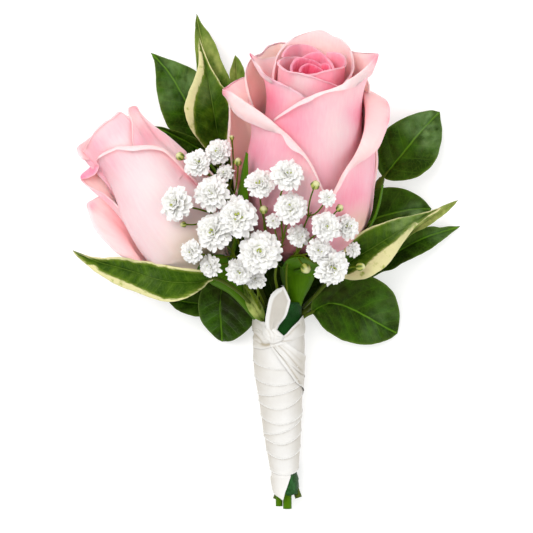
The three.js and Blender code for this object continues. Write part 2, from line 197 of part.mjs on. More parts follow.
  "R": [[263.5,322,0],[264.4,313,0.3],[260.0,302,0.5],[252.6,291,0.4],[243.6,282.6,0]]}
};

// Leaf stalks: [[u, v, z], radius].
const PETIOLES = {
 "leaf_back_centre": [[[277,303,2.0],0.5],[[278.5,310,2.4],0.5],[[279.5,316,2.7],0.45]],
 "leaf_back_right": [[[336,268,2.0],0.5],[[338.3,264.6,2.0],0.45]],
 "leaf_back_upper": [[[237,238,0.6],0.45],[[239,243,0.75],0.42]],
 "leaf_upper_left": [[[216,158,4.0],0.5],[[217.2,163,2.6],0.45]],
 "leaf_variegated_upper": [[[221,160,9.5],0.5],[[223,170,7.0],0.5],[[224.4,178,4.6],0.45]],
 "leaf_upper_back": [[[220,152,5.6],0.5],[[221.6,160,5.4],0.45],[[221.8,167,4.8],0.42]],
 "leaf_bud_top": [[[238.5,104,7.0],0.4],[[238,126,5.0],0.4],[[232,152,3.6],0.4],[[227.6,174,3.6],0.4]],
 "leaf_dark_left": [[[218,166,5.4],0.5],[[222,173,3.8],0.45]],
 "leaf_upper_right": [[[383.2,177,6.6],0.6],[[380.8,180,6.6],0.55]],
 "leaf_middle_right": [[[351,236,4.6],0.55],[[353.4,240.6,3.9],0.5]],
 "leaf_variegated_right": [[[338,272,18.0],0.6],[[326,284,14.6],0.55],[[312,299,9.6],0.55],[[303.4,308,6.4],0.5]],
 "leaf_right_behind": [[[366,262,7.2],0.55],[[352,270,5.4],0.5],[[341,274,4.0],0.5]],
 "leaf_right_lower": [[[352,286,4.4],0.55],[[338,288,3.8],0.5],[[329.4,286.4,3.6],0.5]],
 "leaf_lower_right": [[[311.4,312.6,8.6],0.65],[[306.8,314.8,8.6],0.6],[[300.6,320,7.8],0.6],[[295.6,330,7.0],0.55]],
 "leaf_variegated_left": [[[214,278,22.6],0.6],[[226,283,20.6],0.6],[[241,294,17.6],0.6],[[255,309,13.4],0.55],[[262.6,320,11.6],0.5]],
 "leaf_left_under": [[[236,298,6.6],0.6],[[246,301,5.2],0.55],[[256,304,4.4],0.5],[[262.6,312,4.0],0.5]],
 "leaf_lower_left": [[[225,276,10.6],0.6],[[229,268,9.0],0.6],[[236,264,6.6],0.55],[[246,272,4.6],0.5]],
 "leaf_small_centre": [[[263.5,322,12.6],0.5],[[266,330,11.6],0.45]]
};

// Blossoms and buds: [u, v, z, radius on the sheet].
const GYP = {
 "heads": {
  "F01": [176,203.5,33.5,17.6], "F02": [197.4,163,31.5,14.2], "F03": [218,152,29.5,13.4], "F04": [212,192.8,34.5,17.2], "F05": [225,173,30,9.2],
  "F06": [238,216.5,37,20], "F07": [213.5,231.8,34.5,18.4], "F08": [192,251.7,32,12.2], "F09": [210.4,266,29.5,11.8],
  "F10": [260,183.6,39,15.2], "F11": [287.7,174.4,45.5,16.2], "F12": [290.8,207.3,42,16.2], "F13": [260,252.5,36,20.5], "F14": [239.5,271.6,29.5,13], "F15": [255.6,279,25.5,10.6],
  "F16": [273,221,36.5,7.4], "F17": [298.4,235.6,35,11.4], "F18": [327.5,198,44,9.2], "F19": [326,226.4,41,14.8], "F20": [347.4,227,35.5,13.2],
  "F21": [319,250,36.5,12.6], "F22": [332,267.8,35,17.8], "F23": [353.5,250,31,7.8]},
 "buds": {
  "B01": [180,156.3,29,4.5], "B02": [238,161.8,31,4.2], "B03": [315.3,185,45,4.9], "B04": [263.7,209.6,36,4.6], "B05": [339.7,208,41,4.0],
  "B06": [305.8,268.5,31,5.4], "B07": [360.4,266.7,28,4.4], "B08": [183.3,224.4,30,3.2], "B09": [231.8,137.7,28,2.6]}
};

// Sprays: which blossoms and buds, and their stems as [points, first radius,
// last radius].
const SPRAYS = {
 "gypsophila_spray_upper": {"heads": ["F01","F02","F03","F04","F05"], "buds": ["B01","B02","B08","B09"],
  "stems": [
   [[[270,336,9.0],[268,322,10.6],[262,300,14.6],[251,276,19.0],[241,250,22.6],[232,224,25.0],[228,206,26.4]],0.55,0.42],
   [[[228,206,26.4],[228.5,192,27.2],[225.6,176,28.6]],0.38,0.36],
   [[[230,215,25.8],[223,205,29.4],[213,195,33.2]],0.38,0.36],
   [[[232,222,25.2],[216,214,27.0],[197,209,29.2],[178,204,32.6]],0.38,0.36],
   [[[229,208,26.2],[222,190,26.6],[212,177,28.2],[199,164.5,30.8]],0.38,0.36],
   [[[228.3,200,26.6],[226,182,26.4],[221,164,27.4],[218.4,154,28.6]],0.36,0.34],
   [[[212,177,28.2],[198,170,28.0],[186,160.4,28.4],[181,157,28.8]],0.32,0.3],
   [[[229,204,26.5],[235,190,28.4],[237.4,176,29.8],[238,164,30.8]],0.32,0.3],
   [[[228.6,194,27.0],[232.6,172,27.0],[232.8,152,27.6],[232,140,28.0]],0.32,0.3],
   [[[216,214,27.0],[205,220,28.4],[195,224.4,29.6],[185,224.6,30.0]],0.32,0.3]]},
 "gypsophila_spray_lower": {"heads": ["F06","F07","F08","F09","F13","F14","F15"], "buds": [],
  "stems": [
   [[[272,338,11.4],[266,320,13.8],[257,303,16.8],[247,286,19.6],[239,268,22.4],[232,250,25.2]],0.6,0.42],
   [[[232,250,25.2],[235,236,29.0],[237.6,220,34.6]],0.38,0.36],
   [[[232,250,25.2],[224,243,28.4],[215,234,32.4]],0.38,0.36],
   [[[234,256,24.4],[216,257,27.0],[195,252.4,30.4]],0.36,0.34],
   [[[236,262,23.4],[224,264,25.4],[212,265.6,28.0]],0.36,0.34],
   [[[247,286,19.6],[243,279,23.0],[240,273,27.6]],0.36,0.34],
   [[[257,303,16.8],[258,291,20.4],[256,281,24.0]],0.36,0.34],
   [[[250,291,18.8],[257,274,25.4],[260,256,33.6]],0.42,0.38]]},
 "gypsophila_spray_centre": {"heads": ["F10","F11","F12","F16"], "buds": ["B04"],
  "stems": [
   [[[275.5,340,12.4],[276.5,318,15.6],[277,300,17.4],[276.6,287,19.0],[275,276,21.4],[277,262,25.4],[281,246,29.6]],0.66,0.44],
   [[[281,246,29.6],[284,236,32.4],[287.4,222,37.0],[290.4,210,40.6]],0.4,0.36],
   [[[283,239,31.4],[281,222,35.0],[279.6,200,40.0],[286.6,179,44.2]],0.38,0.36],
   [[[280,249,28.8],[277.4,238,30.6],[275,229,33.4],[273.2,222,35.8]],0.36,0.34],
   [[[277,262,25.4],[268,238,28.8],[261,206,33.8],[260,187,37.6]],0.38,0.36],
   [[[272,250,27.2],[265,232,29.6],[264,220,32.8],[263.7,211.6,35.4]],0.32,0.3]]},
 "gypsophila_spray_right": {"heads": ["F17","F18","F19","F20","F21","F22","F23"], "buds": ["B03","B05","B06","B07"],
  "stems": [
   [[[281.5,340,10.6],[285.0,322,13.0],[287.0,300,16.6],[286.4,280,19.6],[287,266,23.4],[290,258,26.0],[296,255.3,27.8]],0.55,0.42],
   [[[296,255.3,27.8],[297.4,247,30.3],[298.3,238,33.6]],0.38,0.36],
   [[[296,255.3,27.8],[301,247.5,30.3],[309,240.5,34.0],[322,229,39.4]],0.38,0.36],
   [[[296,255.3,27.8],[299.4,260.5,28.4],[304.4,266.6,30.0]],0.34,0.3],
   [[[296,255.3,27.8],[304,254.6,29.8],[316,251,35.0]],0.38,0.36],
   [[[302,255,29.3],[313,262,29.8],[328,267,33.6]],0.38,0.36],
   [[[313,262,29.8],[328,258.5,28.6],[340,255,28.4],[351,250.6,30.4]],0.34,0.32],
   [[[328,267,31.6],[342,268.2,28.8],[356,266.8,27.6]],0.32,0.3],
   [[[301,247.5,30.3],[303.6,230,34.3],[308.6,215.7,37.4]],0.38,0.34],
   [[[308.6,215.7,37.4],[308.8,205.7,40.2],[312.8,191,43.6],[314.8,187,44.6]],0.34,0.3],
   [[[308.6,215.7,37.4],[316,213.4,38.8],[322.6,206,41.2],[326.6,199.6,43.2]],0.34,0.32],
   [[[309,240.5,33.8],[326,238,34.0],[344,229.4,34.4]],0.36,0.34],
   [[[322,229,39.2],[328,219,38.6],[334,213.6,39.6],[338.6,209.2,40.6]],0.32,0.3]]}
};

// Stems: [[u, v, z], radius] from the flowers to the cut end.
const STEMS = {
 "rose_large_stem": [[[298.7,264.2,9.75],4.9],[[298.4,268,9.5],5.2],[[297.4,278,9.0],4.7],[[297.0,288,8.6],3.6],[[296.6,297,8.4],2.15],[[295.6,306,8.0],1.5],[[292.0,320,7.6],1.6],[[287.4,340,7.6],1.75],[[284.6,375,7.4],1.65],[[283.6,412,7.4],1.5],[[284.8,449,6.3],1.25],[[286.2,468,5.6],1.2],[[287.0,480,5.3],1.2],[[287.4,508.6,4.9],1.2]],
 "rose_small_stem": [[[218.9,270.6,12.95],3.9],[[221.0,273.2,12.95],4.2],[[226.4,278.4,12.8],3.6],[[234.6,286.6,12.4],2.6],[[243.4,297.4,11.6],2.0],[[252.4,309,10.4],1.75],[[261.5,322,8.6],1.55],[[269.6,345,7.2],1.45],[[274.0,380,7.0],1.3],[[275.4,412,6.0],1.15],[[277.4,449,5.0],1.0],[[278.6,468,4.4],0.98],[[279.0,480,4.2],0.98],[[279.2,506,3.8],0.98]],
 "foliage_stem_right": [[[382,178.6,6.3],0.8],[[378.6,185,5.2],1.25],[[371.5,197,3.8],0.8],[[358,227,2.6],0.9],[[343,262,2.6],1.0],[[320,292,3.6],1.0],[[301,316,4.4],1.0],[[291.8,345,4.0],0.95],[[289.2,380,3.8],0.95],[[288.8,412,4.4],0.9],[[290.2,449,3.8],0.86],[[291.4,468,4.0],0.84],[[293.4,482,4.4],0.9],[[298.6,497.6,4.6],0.98]],
 "foliage_stem_left": [[[218.6,162,3.6],0.6],[[227,184,2.3],0.65],[[236,214,2.0],0.7],[[247,250,2.2],0.75],[[258,284,2.6],0.75],[[268.5,312,3.0],0.75],[[274.6,345,2.9],0.7],[[279.0,380,3.0],0.65],[[281.4,412,2.8],0.62],[[283.4,449,2.6],0.58],[[284.2,468,2.35],0.55],[[281.6,480,2.6],0.58],[[275.0,499,3.0],0.62]]
};

// Bound handle: axis on the sheet and outer radius along it.
const HANDLE = {"axis": [[278.6,316,0],[279.0,330,0],[278.8,345,0],[278.6,360,0],[279.0,375,0],[280.4,395,0],[281.4,412,0],[282.4,430,0],[283.4,449,0],[284.3,468,0],[285.0,480,0],[285.6,495,0]],
 "rad": [7.14,7.3,7.3,7.05,6.75,6.15,5.75,5.35,4.9,4.25,4.15,4.1]};

// Where the sleeves of the handle begin and end on the sheet.
const HANDLE_EDGES = {"back": 316.0, "neck": 335.5, "neck_side": 0.2, "wrap_low": 472.0, "tape_top": 307.5, "tape_low": 477.0, "tape_tongue": 17.0, "tape_collar": 5.0};

// Ribbon knot and the free ribbon ends.
const KNOT = {"at": [270.3, 342.6, 14.9], "r": 3.7, "flat": 0.36, "axis": [-0.32, 0.1, 0.94]};
const RIBBONS = {
 "ribbon_end_upper": {"th": 0.4, "camber": 0.5,
  "M": [[271.5,331,16.4],[273.0,320,18.2],[276.0,304,20.6],[283.7,286.7,22.4]],
  "L": [[266.4,330,-0.5],[265.3,321.7,-0.6],[267,310.2,-0.6],[269.9,297.6,-0.4],[275,290.7,-0.2],[283.7,286.7,0]],
  "R": [[276.8,331,-0.3],[279.4,325,-0.6],[286,316,-0.7],[290,302.2,-0.6],[289.4,298.7,-0.4],[286.6,292,-0.2],[283.7,286.7,0]]},
 "ribbon_tail": {"th": 0.4, "camber": 0.7,
  "M": [[279.6,474,8.3],[280.3,482,8.2],[281.5,491,8.0],[282.5,498.9,7.8]],
  "R": [[269.8,473,-0.9],[271.1,484.2,-0.9],[272.2,489.1,-0.7],[274.4,492.9,-0.5],[278.5,496,-0.3],[282.5,498.9,0]],
  "L": [[290.7,474.5,-0.9],[288,483.1,-0.8],[284.7,491.3,-0.5],[283.4,495,-0.2],[282.5,498.9,0]]}
};

// ------------------------------------------------------------ small vector kit
const add = (a, b) => [a[0] + b[0], a[1] + b[1], a[2] + b[2]];
const sub = (a, b) => [a[0] - b[0], a[1] - b[1], a[2] - b[2]];
const mul = (a, k) => [a[0] * k, a[1] * k, a[2] * k];
const mad = (a, b, k) => [a[0] + b[0] * k, a[1] + b[1] * k, a[2] + b[2] * k];
const dot = (a, b) => a[0] * b[0] + a[1] * b[1] + a[2] * b[2];
const cross = (a, b) => [a[1] * b[2] - a[2] * b[1], a[2] * b[0] - a[0] * b[2], a[0] * b[1] - a[1] * b[0]];
const len = (a) => Math.hypot(a[0], a[1], a[2]);
const unit = (a) => mul(a, 1 / (len(a) || 1));
const clamp = (x, a, b) => Math.min(Math.max(x, a), b);
const sstep = (x) => { x = clamp(x, 0, 1); return x * x * (3 - 2 * x); };
const RAD = Math.PI / 180;

function interp(x, xs, ys) {
  if (x <= xs[0]) return ys[0];
  for (let i = 1; i < xs.length; i++) {
    if (x <= xs[i]) return ys[i - 1] + (ys[i] - ys[i - 1]) * (x - xs[i - 1]) / (xs[i] - xs[i - 1] || 1);
  }
  return ys[ys.length - 1];
}

// Plan sheet to space, at height z.
function P(u, v, z) {
  const k = PLAN.S * (PLAN.D - z) / PLAN.D;
  return [PLAN.CX + (u - PLAN.PX) * k, PLAN.CY - (v - PLAN.PY) * k, z];
}

// Uniform Catmull-Rom spline through points of any length.
function spline(pts, t) {
  const n = pts.length, x = clamp(t, 0, 1) * (n - 1), i = Math.min(Math.floor(x), n - 2), u = x - i;
  const p1 = pts[i], p2 = pts[i + 1];
  const p0 = i > 0 ? pts[i - 1] : p1.map((c, k) => 2 * c - p2[k]);
  const p3 = i + 2 < n ? pts[i + 2] : p2.map((c, k) => 2 * c - p1[k]);
  return p1.map((c, k) => 0.5 * (2 * c + (p2[k] - p0[k]) * u + (2 * p0[k] - 5 * c + 4 * p2[k] - p3[k]) * u * u
    + (3 * c - p0[k] - 3 * p2[k] + p3[k]) * u * u * u));
}

// Spline parameters of n points equally spaced along the spline.
function even(pts, n, dims = 3) {
  const m = (pts.length - 1) * 12 + 1, ts = [], ds = [0];
  let last = null;
  for (let i = 0; i < m; i++) {
    const q = spline(pts, i / (m - 1));
    ts.push(i / (m - 1));
    if (last) { let s = 0; for (let k = 0; k < dims; k++) s += (q[k] - last[k]) ** 2; ds.push(ds[i - 1] + Math.sqrt(s)); }
    last = q;
  }
  const out = [];
  for (let i = 0; i < n; i++) out.push(interp(ds[m - 1] * i / (n - 1), ds, ts));
  return { ts: out, length: ds[m - 1] };
}

// ------------------------------------------------------------------ rose frame
// a: bloom axis, f: towards the front, s: to the side. A place on a bloom is
// azimuth phi from f, height h along a and radius r.
function bloom(d) {
  const L = d.lean * RAD, T = d.tilt * RAD;
  const o = {
    B: P(...d.base),
    a: [Math.sin(L) * Math.cos(T), Math.cos(L) * Math.cos(T), Math.sin(T)],
    f: [-Math.sin(L) * Math.sin(T), -Math.cos(L) * Math.sin(T), Math.cos(T)],
    s: [Math.cos(L), -Math.sin(L), 0],
  };
  const hs = d.R.map((q) => q[0]), rs = d.R.map((q) => q[1]);
  o.prof = (h) => interp(h, hs, rs);
  o.pos = (phi, h, r) => mad(mad(mad(o.B, o.a, h), o.f, r * Math.cos(phi * RAD)), o.s, r * Math.sin(phi * RAD));
  // A rim point stands over its sheet position, on the radius r at the front
  // ("r") or back ("b") of the bloom, or at the azimuth r ("f").
  o.solve = (u, v, mode, val) => {
    const p = P(u, v, 0), d3 = [-(u - PLAN.PX) * PLAN.S / PLAN.D, (v - PLAN.PY) * PLAN.S / PLAN.D, 1], w = sub(p, o.B);
    const x0 = dot(w, o.s), y0 = dot(w, o.f), dx = dot(d3, o.s), dy = dot(d3, o.f);
    let t;
    if (mode === 'f') {
      const c = Math.cos(val * RAD), s = Math.sin(val * RAD);
      t = -(x0 * c - y0 * s) / (dx * c - dy * s);
    } else {
      const A = dx * dx + dy * dy, B = 2 * (x0 * dx + y0 * dy), C = x0 * x0 + y0 * y0 - val * val, q = B * B - 4 * A * C;
      t = q < 0 ? -B / (2 * A) : (-B + (mode === 'r' ? 1 : -1) * Math.sqrt(q)) / (2 * A);
    }
    const z = mad(w, d3, t), x = dot(z, o.s), y = dot(z, o.f);
    let phi = Math.atan2(x, y) / RAD;
    if (mode === 'f') { while (phi - val > 180) phi -= 360; while (phi - val < -180) phi += 360; }
    return [phi, dot(z, o.a), Math.hypot(x, y)];
  };
  return o;
}
const BLOOM = { large: bloom(ROSES.large), small: bloom(ROSES.small) };

// ---------------------------------------------------------------------- petals
// Columns run from the claw of the petal to its rim, then over the rim into
// the folded lip.
const TS = [0, 0.10, 0.24, 0.42, 0.60, 0.78, 0.91];
function petalControl(pd) {
  const R = BLOOM[pd.rose], n = pd.rim.length, rim = pd.rim.map((q) => R.solve(...q));
  const phs = rim.map((q) => q[0]);
  for (let i = 1; i < n; i++) {
    while (phs[i] - phs[i - 1] > 180) phs[i] -= 360;
    while (phs[i] - phs[i - 1] < -180) phs[i] += 360;
  }
  const [b0, b1, h0, r0] = pd.base, mid = (phs[0] + phs[n - 1]) / 2, sgn = phs[n - 1] > phs[0] ? 1 : -1;
  let bc = (b0 + b1) / 2;
  const bw = Math.abs(b1 - b0) / 2;
  while (bc - mid > 180) bc -= 360;
  while (bc - mid < -180) bc += 360;
  const pts = rim.map((q, i) => R.pos(phs[i], q[1], q[2])), us = [0];
  for (let i = 1; i < n; i++) us.push(us[i - 1] + len(sub(pts[i], pts[i - 1])));
  const cols = rim.map((q, i) => {
    const ph = phs[i], h = q[1], r = q[2], pb = bc + sgn * (-bw + 2 * bw * us[i] / us[n - 1]);
    const col = TS.map((t) => {
      const hh = h0 + (h - h0) * t, pp = pb + (ph - pb) * Math.sqrt(t);
      let rb = pd.k * R.prof(hh);
      if (h0 > 10) rb = r0 + (r - r0) * t;
      else {
        const g = sstep(hh / 9);
        if (hh < 9) rb = r0 * (1 - g) + rb * g;
        const w = sstep((t - 0.5) / 0.5);
        rb = rb * (1 - w) + r * w;
      }
      return R.pos(pp, hh, rb);
    });
    const crest = R.pos(ph, h, r), rad = sub(R.pos(ph, 0, 1), R.B);
    let lp = mad(mad(crest, rad, 0.55), R.a, 0.25);
    if (pd.lip) { const l = R.solve(...pd.lip[i]); lp = R.pos(...l); }
    const dd = len(sub(lp, crest));
    col.push(crest, mad(mad(mul(add(crest, lp), 0.5), rad, 0.16 * dd), R.a, 0.12 * dd), lp);
    return col;
  });
  if (sgn < 0) cols.reverse();
  return cols;
}

// A petal as a coarse grid: rows from claw to rim, the fold added where it is
// wide enough to matter.
function petalGrid(pd) {
  const C = petalControl(pd), rimRow = C.map((c) => c[7]);
  const e = even(rimRow, 2), nu = clamp(Math.round(e.length / 8) + 1, 5, 8);
  const tu = even(rimRow, nu).ts;
  let rows = [0, 2, 4, 6, 7];
  if (pd.lip) {
    const d = C.reduce((s, c) => s + len(sub(c[9], c[7])), 0) / C.length;
    if (d > 1.3) rows = [0, 2, 4, 6, 7, 9];
  }
  return rows.map((r) => { const line = C.map((c) => c[r]); return tu.map((t) => spline(line, t)); });
}

// ---------------------------------------------------------------------- leaves
// M is the midrib, L and R the two margins, given as z relative to the midrib.
function leafGrid(ld, nu, nv, minHalf) {
  const M = ld.M.map((q) => P(...q)), mt = even(M, nv).ts, Mp = mt.map((t) => spline(M, t));
  const edge = (E, side) => {
    const et = even(E, nv, 2).ts;
    return et.map((t, j) => {
      const q = spline(E, t);
      let p = P(q[0], q[1], Mp[j][2] + q[2]);
      const tan = unit(sub(Mp[Math.min(j + 1, nv - 1)], Mp[Math.max(j - 1, 0)]));
      const out = unit(mul([tan[1], -tan[0], 0], side));
      const w = dot(sub(p, Mp[j]), out);
      if (w < minHalf) p = mad(p, out, minHalf - w);
      return p;
    });
  };
  const L = edge(ld.L, -1), R = edge(ld.R, 1), rows = [];
  for (let j = 0; j < nv; j++) {
    const row = [];
    for (let i = 0; i < nu; i++) {
      const u = -1 + 2 * i / (nu - 1), E = u < 0 ? L[j] : R[j], a = Math.abs(u);
      const p = mad(Mp[j], sub(E, Mp[j]), a), w = len(sub(E, Mp[j]));
      p[2] += ld.camber * 2.2 * a * (1 - a) * Math.min(1, w / 6);
      row.push(p);
    }
    rows.push(row);
  }
  return rows;
}

// ---------------------------------------------------------------- solid makers
function manifold(pos, tri) {
  const v = new Float32Array(pos.length * 3);
  pos.forEach((p, i) => { v[3 * i] = p[0] + OFFSET[0]; v[3 * i + 1] = p[1] + OFFSET[1]; v[3 * i + 2] = p[2] + OFFSET[2]; });
  return new wasm.Manifold(new wasm.Mesh({ numProp: 3, vertProperties: v, triVerts: new Uint32Array(tri) }));
}

// A grid of points thickened to both sides. grow widens it all round.
function sheetSolid(rows, th, grow = 0) {
  const nv = rows.length, nu = rows[0].length, g = rows.map((r) => r.map((p) => p.slice()));
  if (grow) {
    for (let j = 0; j < nv; j++) {
      g[j][0] = mad(rows[j][0], unit(sub(rows[j][0], rows[j][1])), grow);
      g[j][nu - 1] = mad(rows[j][nu - 1], unit(sub(rows[j][nu - 1], rows[j][nu - 2])), grow);
    }
    for (let i = 0; i < nu; i++) {
      g[0][i] = mad(g[0][i], unit(sub(rows[0][i], rows[1][i])), grow);
      g[nv - 1][i] = mad(g[nv - 1][i], unit(sub(rows[nv - 1][i], rows[nv - 2][i])), grow);
    }
  }
  const h = th / 2 + grow, pos = [];
  const nrm = (j, i) => unit(cross(
    sub(rows[j][Math.min(i + 1, nu - 1)], rows[j][Math.max(i - 1, 0)]),
    sub(rows[Math.min(j + 1, nv - 1)][i], rows[Math.max(j - 1, 0)][i])));
  for (const s of [1, -1]) for (let j = 0; j < nv; j++) for (let i = 0; i < nu; i++) pos.push(mad(g[j][i], nrm(j, i), s * h));
  const N = nu * nv, tri = [], id = (j, i) => j * nu + i;
  for (let j = 0; j < nv - 1; j++) for (let i = 0; i < nu - 1; i++) {
    const a = id(j, i), b = id(j, i + 1), c = id(j + 1, i + 1), d = id(j + 1, i);
    tri.push(a, b, c, a, c, d, a + N, c + N, b + N, a + N, d + N, c + N);
  }
  const ring = [];
  for (let i = 0; i < nu - 1; i++) ring.push(id(0, i));
  for (let j = 0; j < nv - 1; j++) ring.push(id(j, nu - 1));
  for (let i = nu - 1; i > 0; i--) ring.push(id(nv - 1, i));
  for (let j = nv - 1; j > 0; j--) ring.push(id(j, 0));
  for (let k = 0; k < ring.length; k++) {
    const a = ring[k], b = ring[(k + 1) % ring.length];
    tri.push(a, a + N, b + N, a, b + N, b);
  }
  return manifold(pos, tri);
}

// A round rod through points, with a radius at each, and flat ends.
function rod(pts, rads, sides, grow = 0) {
  const n = pts.length, pos = [], tri = [];
  const tan = pts.map((p, i) => unit(sub(pts[Math.min(i + 1, n - 1)], pts[Math.max(i - 1, 0)])));
  let side = unit(cross(tan[0], Math.abs(tan[0][2]) > 0.9 ? [1, 0, 0] : [0, 0, 1]));
  for (let i = 0; i < n; i++) {
    side = unit(sub(side, mul(tan[i], dot(side, tan[i]))));
    const up = cross(tan[i], side);
    let c = pts[i];
    if (i === 0) c = mad(c, tan[0], -grow);
    if (i === n - 1) c = mad(c, tan[i], grow);
    for (let k = 0; k < sides; k++) {
      const a = 2 * Math.PI * k / sides, r = rads[i] + grow;
      pos.push(mad(mad(c, side, r * Math.cos(a)), up, r * Math.sin(a)));
    }
  }
  for (let i = 0; i < n - 1; i++) for (let k = 0; k < sides; k++) {
    const a = i * sides + k, b = i * sides + (k + 1) % sides, c = a + sides, d = b + sides;
    tri.push(a, b, d, a, d, c);
  }
  for (let k = 1; k < sides - 1; k++) {
    tri.push(0, k + 1, k);
    const o = (n - 1) * sides;
    tri.push(o, o + k, o + k + 1);
  }
  return manifold(pos, tri);
}
// A rod along a plan spline, from [u, v, z] points.
function planRod(list, r0, r1, steps, sides, grow = 0) {
  const pts = list.map((q) => P(...q)), e = even(pts, steps + 1).ts;
  return rod(e.map((t) => spline(pts, t)), e.map((t, i) => r0 + (r1 - r0) * i / steps), sides, grow);
}
function planRodRadii(list, steps, sides, grow = 0) {
  const pts = list.map((q) => [...P(...q[0]), q[1]]), e = even(pts, steps + 1).ts;
  const s = e.map((t) => spline(pts, t));
  return rod(s.map((q) => q.slice(0, 3)), s.map((q) => q[3]), sides, grow);
}

// A small closed round body: rings of latitude, squashed along the axis.
function ball(c, r, flat, lon, lat, grow = 0, axis = [0, 0, 1]) {
  const a = unit(axis), s = unit(cross(a, Math.abs(a[0]) > 0.9 ? [0, 1, 0] : [1, 0, 0])), t = cross(a, s), pos = [], tri = [];
  pos.push(mad(c, a, -(r * flat + grow)));
  for (let j = 1; j < lat; j++) {
    const th = Math.PI * j / lat;
    for (let i = 0; i < lon; i++) {
      const ph = 2 * Math.PI * (i + (j % 2) * 0.5) / lon;
      const rr = (r + grow) * Math.sin(th);
      pos.push(mad(mad(mad(c, a, -(r * flat + grow) * Math.cos(th)), s, rr * Math.cos(ph)), t, rr * Math.sin(ph)));
    }
  }
  pos.push(mad(c, a, r * flat + grow));
  const top = pos.length - 1, id = (j, i) => 1 + (j - 1) * lon + (i + lon) % lon;
  for (let i = 0; i < lon; i++) tri.push(0, id(1, i + 1), id(1, i));
  for (let j = 1; j < lat - 1; j++) for (let i = 0; i < lon; i++) {
    if (j % 2) tri.push(id(j, i), id(j, i + 1), id(j + 1, i + 1), id(j, i), id(j + 1, i + 1), id(j + 1, i));
    else tri.push(id(j, i), id(j, i + 1), id(j + 1, i), id(j, i + 1), id(j + 1, i + 1), id(j + 1, i));
  }
  for (let i = 0; i < lon; i++) tri.push(top, id(lat - 1, i), id(lat - 1, i + 1));
  return manifold(pos, tri);
}

// ------------------------------------------------------------------ assembling
// Every piece is built in turn and cut back to keep GAP from the pieces that
// were built before it, so layered petals and crossing stems never overlap.
const boutonniere = new THREE.Group();
boutonniere.name = 'boutonniere';
const built = [];
const meet = (a, b) => [0, 1, 2].every((k) => a.min[k] <= b.max[k] && b.min[k] <= a.max[k]);

// Cuts leave slivers. A vertex is merged into a neighbour where the edge is
// very short, or where the surface round it moves by less than FLAT.
const FLAT = 0.03, SHORT = 0.02;
function tidy(pos, tri) {
  const near = pos.map(() => new Set()), live = tri.map(() => true);
  tri.forEach((t, i) => t.forEach((v) => near[v].add(i)));
  const ringOf = (v) => { const s = new Set(); for (const i of near[v]) for (const w of tri[i]) if (w !== v) s.add(w); return s; };
  const normal = (p, q, r) => cross(sub(q, p), sub(r, p));
  const fits = (a, b) => {
    const ra = ringOf(a), rb = ringOf(b);
    let shared = 0;
    for (const v of ra) if (rb.has(v)) shared++;
    if (shared !== 2 || ra.size < 4 && rb.size < 4) return false;
    const e = sub(pos[b], pos[a]), short = len(e) < SHORT;
    for (const i of near[a]) {
      const t = tri[i];
      if (t.includes(b)) continue;
      const [p, q, r] = t.map((v) => pos[v]), [p2, q2, r2] = t.map((v) => pos[v === a ? b : v]);
      const n0 = normal(p, q, r), n1 = normal(p2, q2, r2), l0 = len(n0), l1 = len(n1);
      if (l1 < 1e-4 && !short) return false;
      if (l0 > 1e-4) {
        if (!short && Math.abs(dot(e, n0)) / l0 > FLAT) return false;
        if (l1 > 1e-5 && dot(n0, n1) < (short ? -0.2 : 0.7) * l0 * l1) return false;
        // no long thin triangles in place of good ones
        const far = Math.max(len(sub(q2, p2)), len(sub(r2, q2)), len(sub(p2, r2)));
        if (!short && l1 / far < 0.02) return false;
      }
    }
    return true;
  };
  for (let pass = 0, moved = 1; moved && pass < 12; pass++) {
    moved = 0;
    for (let a = 0; a < pos.length; a++) {
      if (!near[a].size) continue;
      const ring = [...ringOf(a)].sort((x, y) => len(sub(pos[x], pos[a])) - len(sub(pos[y], pos[a])));
      for (const b of ring) {
        if (!fits(a, b)) continue;
        for (const i of [...near[a]]) {
          if (tri[i].includes(b)) { for (const v of tri[i]) near[v].delete(i); live[i] = false; }
          else { tri[i] = tri[i].map((v) => (v === a ? b : v)); near[b].add(i); near[a].delete(i); }
        }
        moved++;
        break;
      }
    }
  }
  return tri.filter((t, i) => live[i]);
}

function toGeometry(m) {
  const q = m.getMesh(), pos = [], all = [], place = new Map();
  for (let i = 0; i < q.vertProperties.length; i += 3) pos.push([...q.vertProperties.slice(i, i + 3)]);
  for (let i = 0; i < q.triVerts.length; i += 3) all.push([...q.triVerts.slice(i, i + 3)]);
  const tri = tidy(pos, all), out = [], index = [];
  for (const t of tri) for (const v of t) {
    if (!place.has(v)) { place.set(v, out.length / 3); out.push(...pos[v]); }
    index.push(place.get(v));
  }
  const g = new THREE.BufferGeometry();
  g.setAttribute('position', new THREE.BufferAttribute(new Float32Array(out), 3));
  g.setIndex(index);
  g.computeVertexNormals();
  return g;
}

function piece(name, make, look) {
  let m = make(0);
  const box = m.boundingBox();
  for (const d of built) if (meet(box, d.box)) m = m.subtract(d.fat);
  const parts = m.decompose().sort((p, q) => q.volume() - p.volume());
  const fat = make(GAP);
  built.push({ name, fat, box: fat.boundingBox() });
  const mesh = new THREE.Mesh(toGeometry(parts[0]), new THREE.MeshStandardMaterial(look));
  mesh.name = name;
  boutonniere.add(mesh);
}

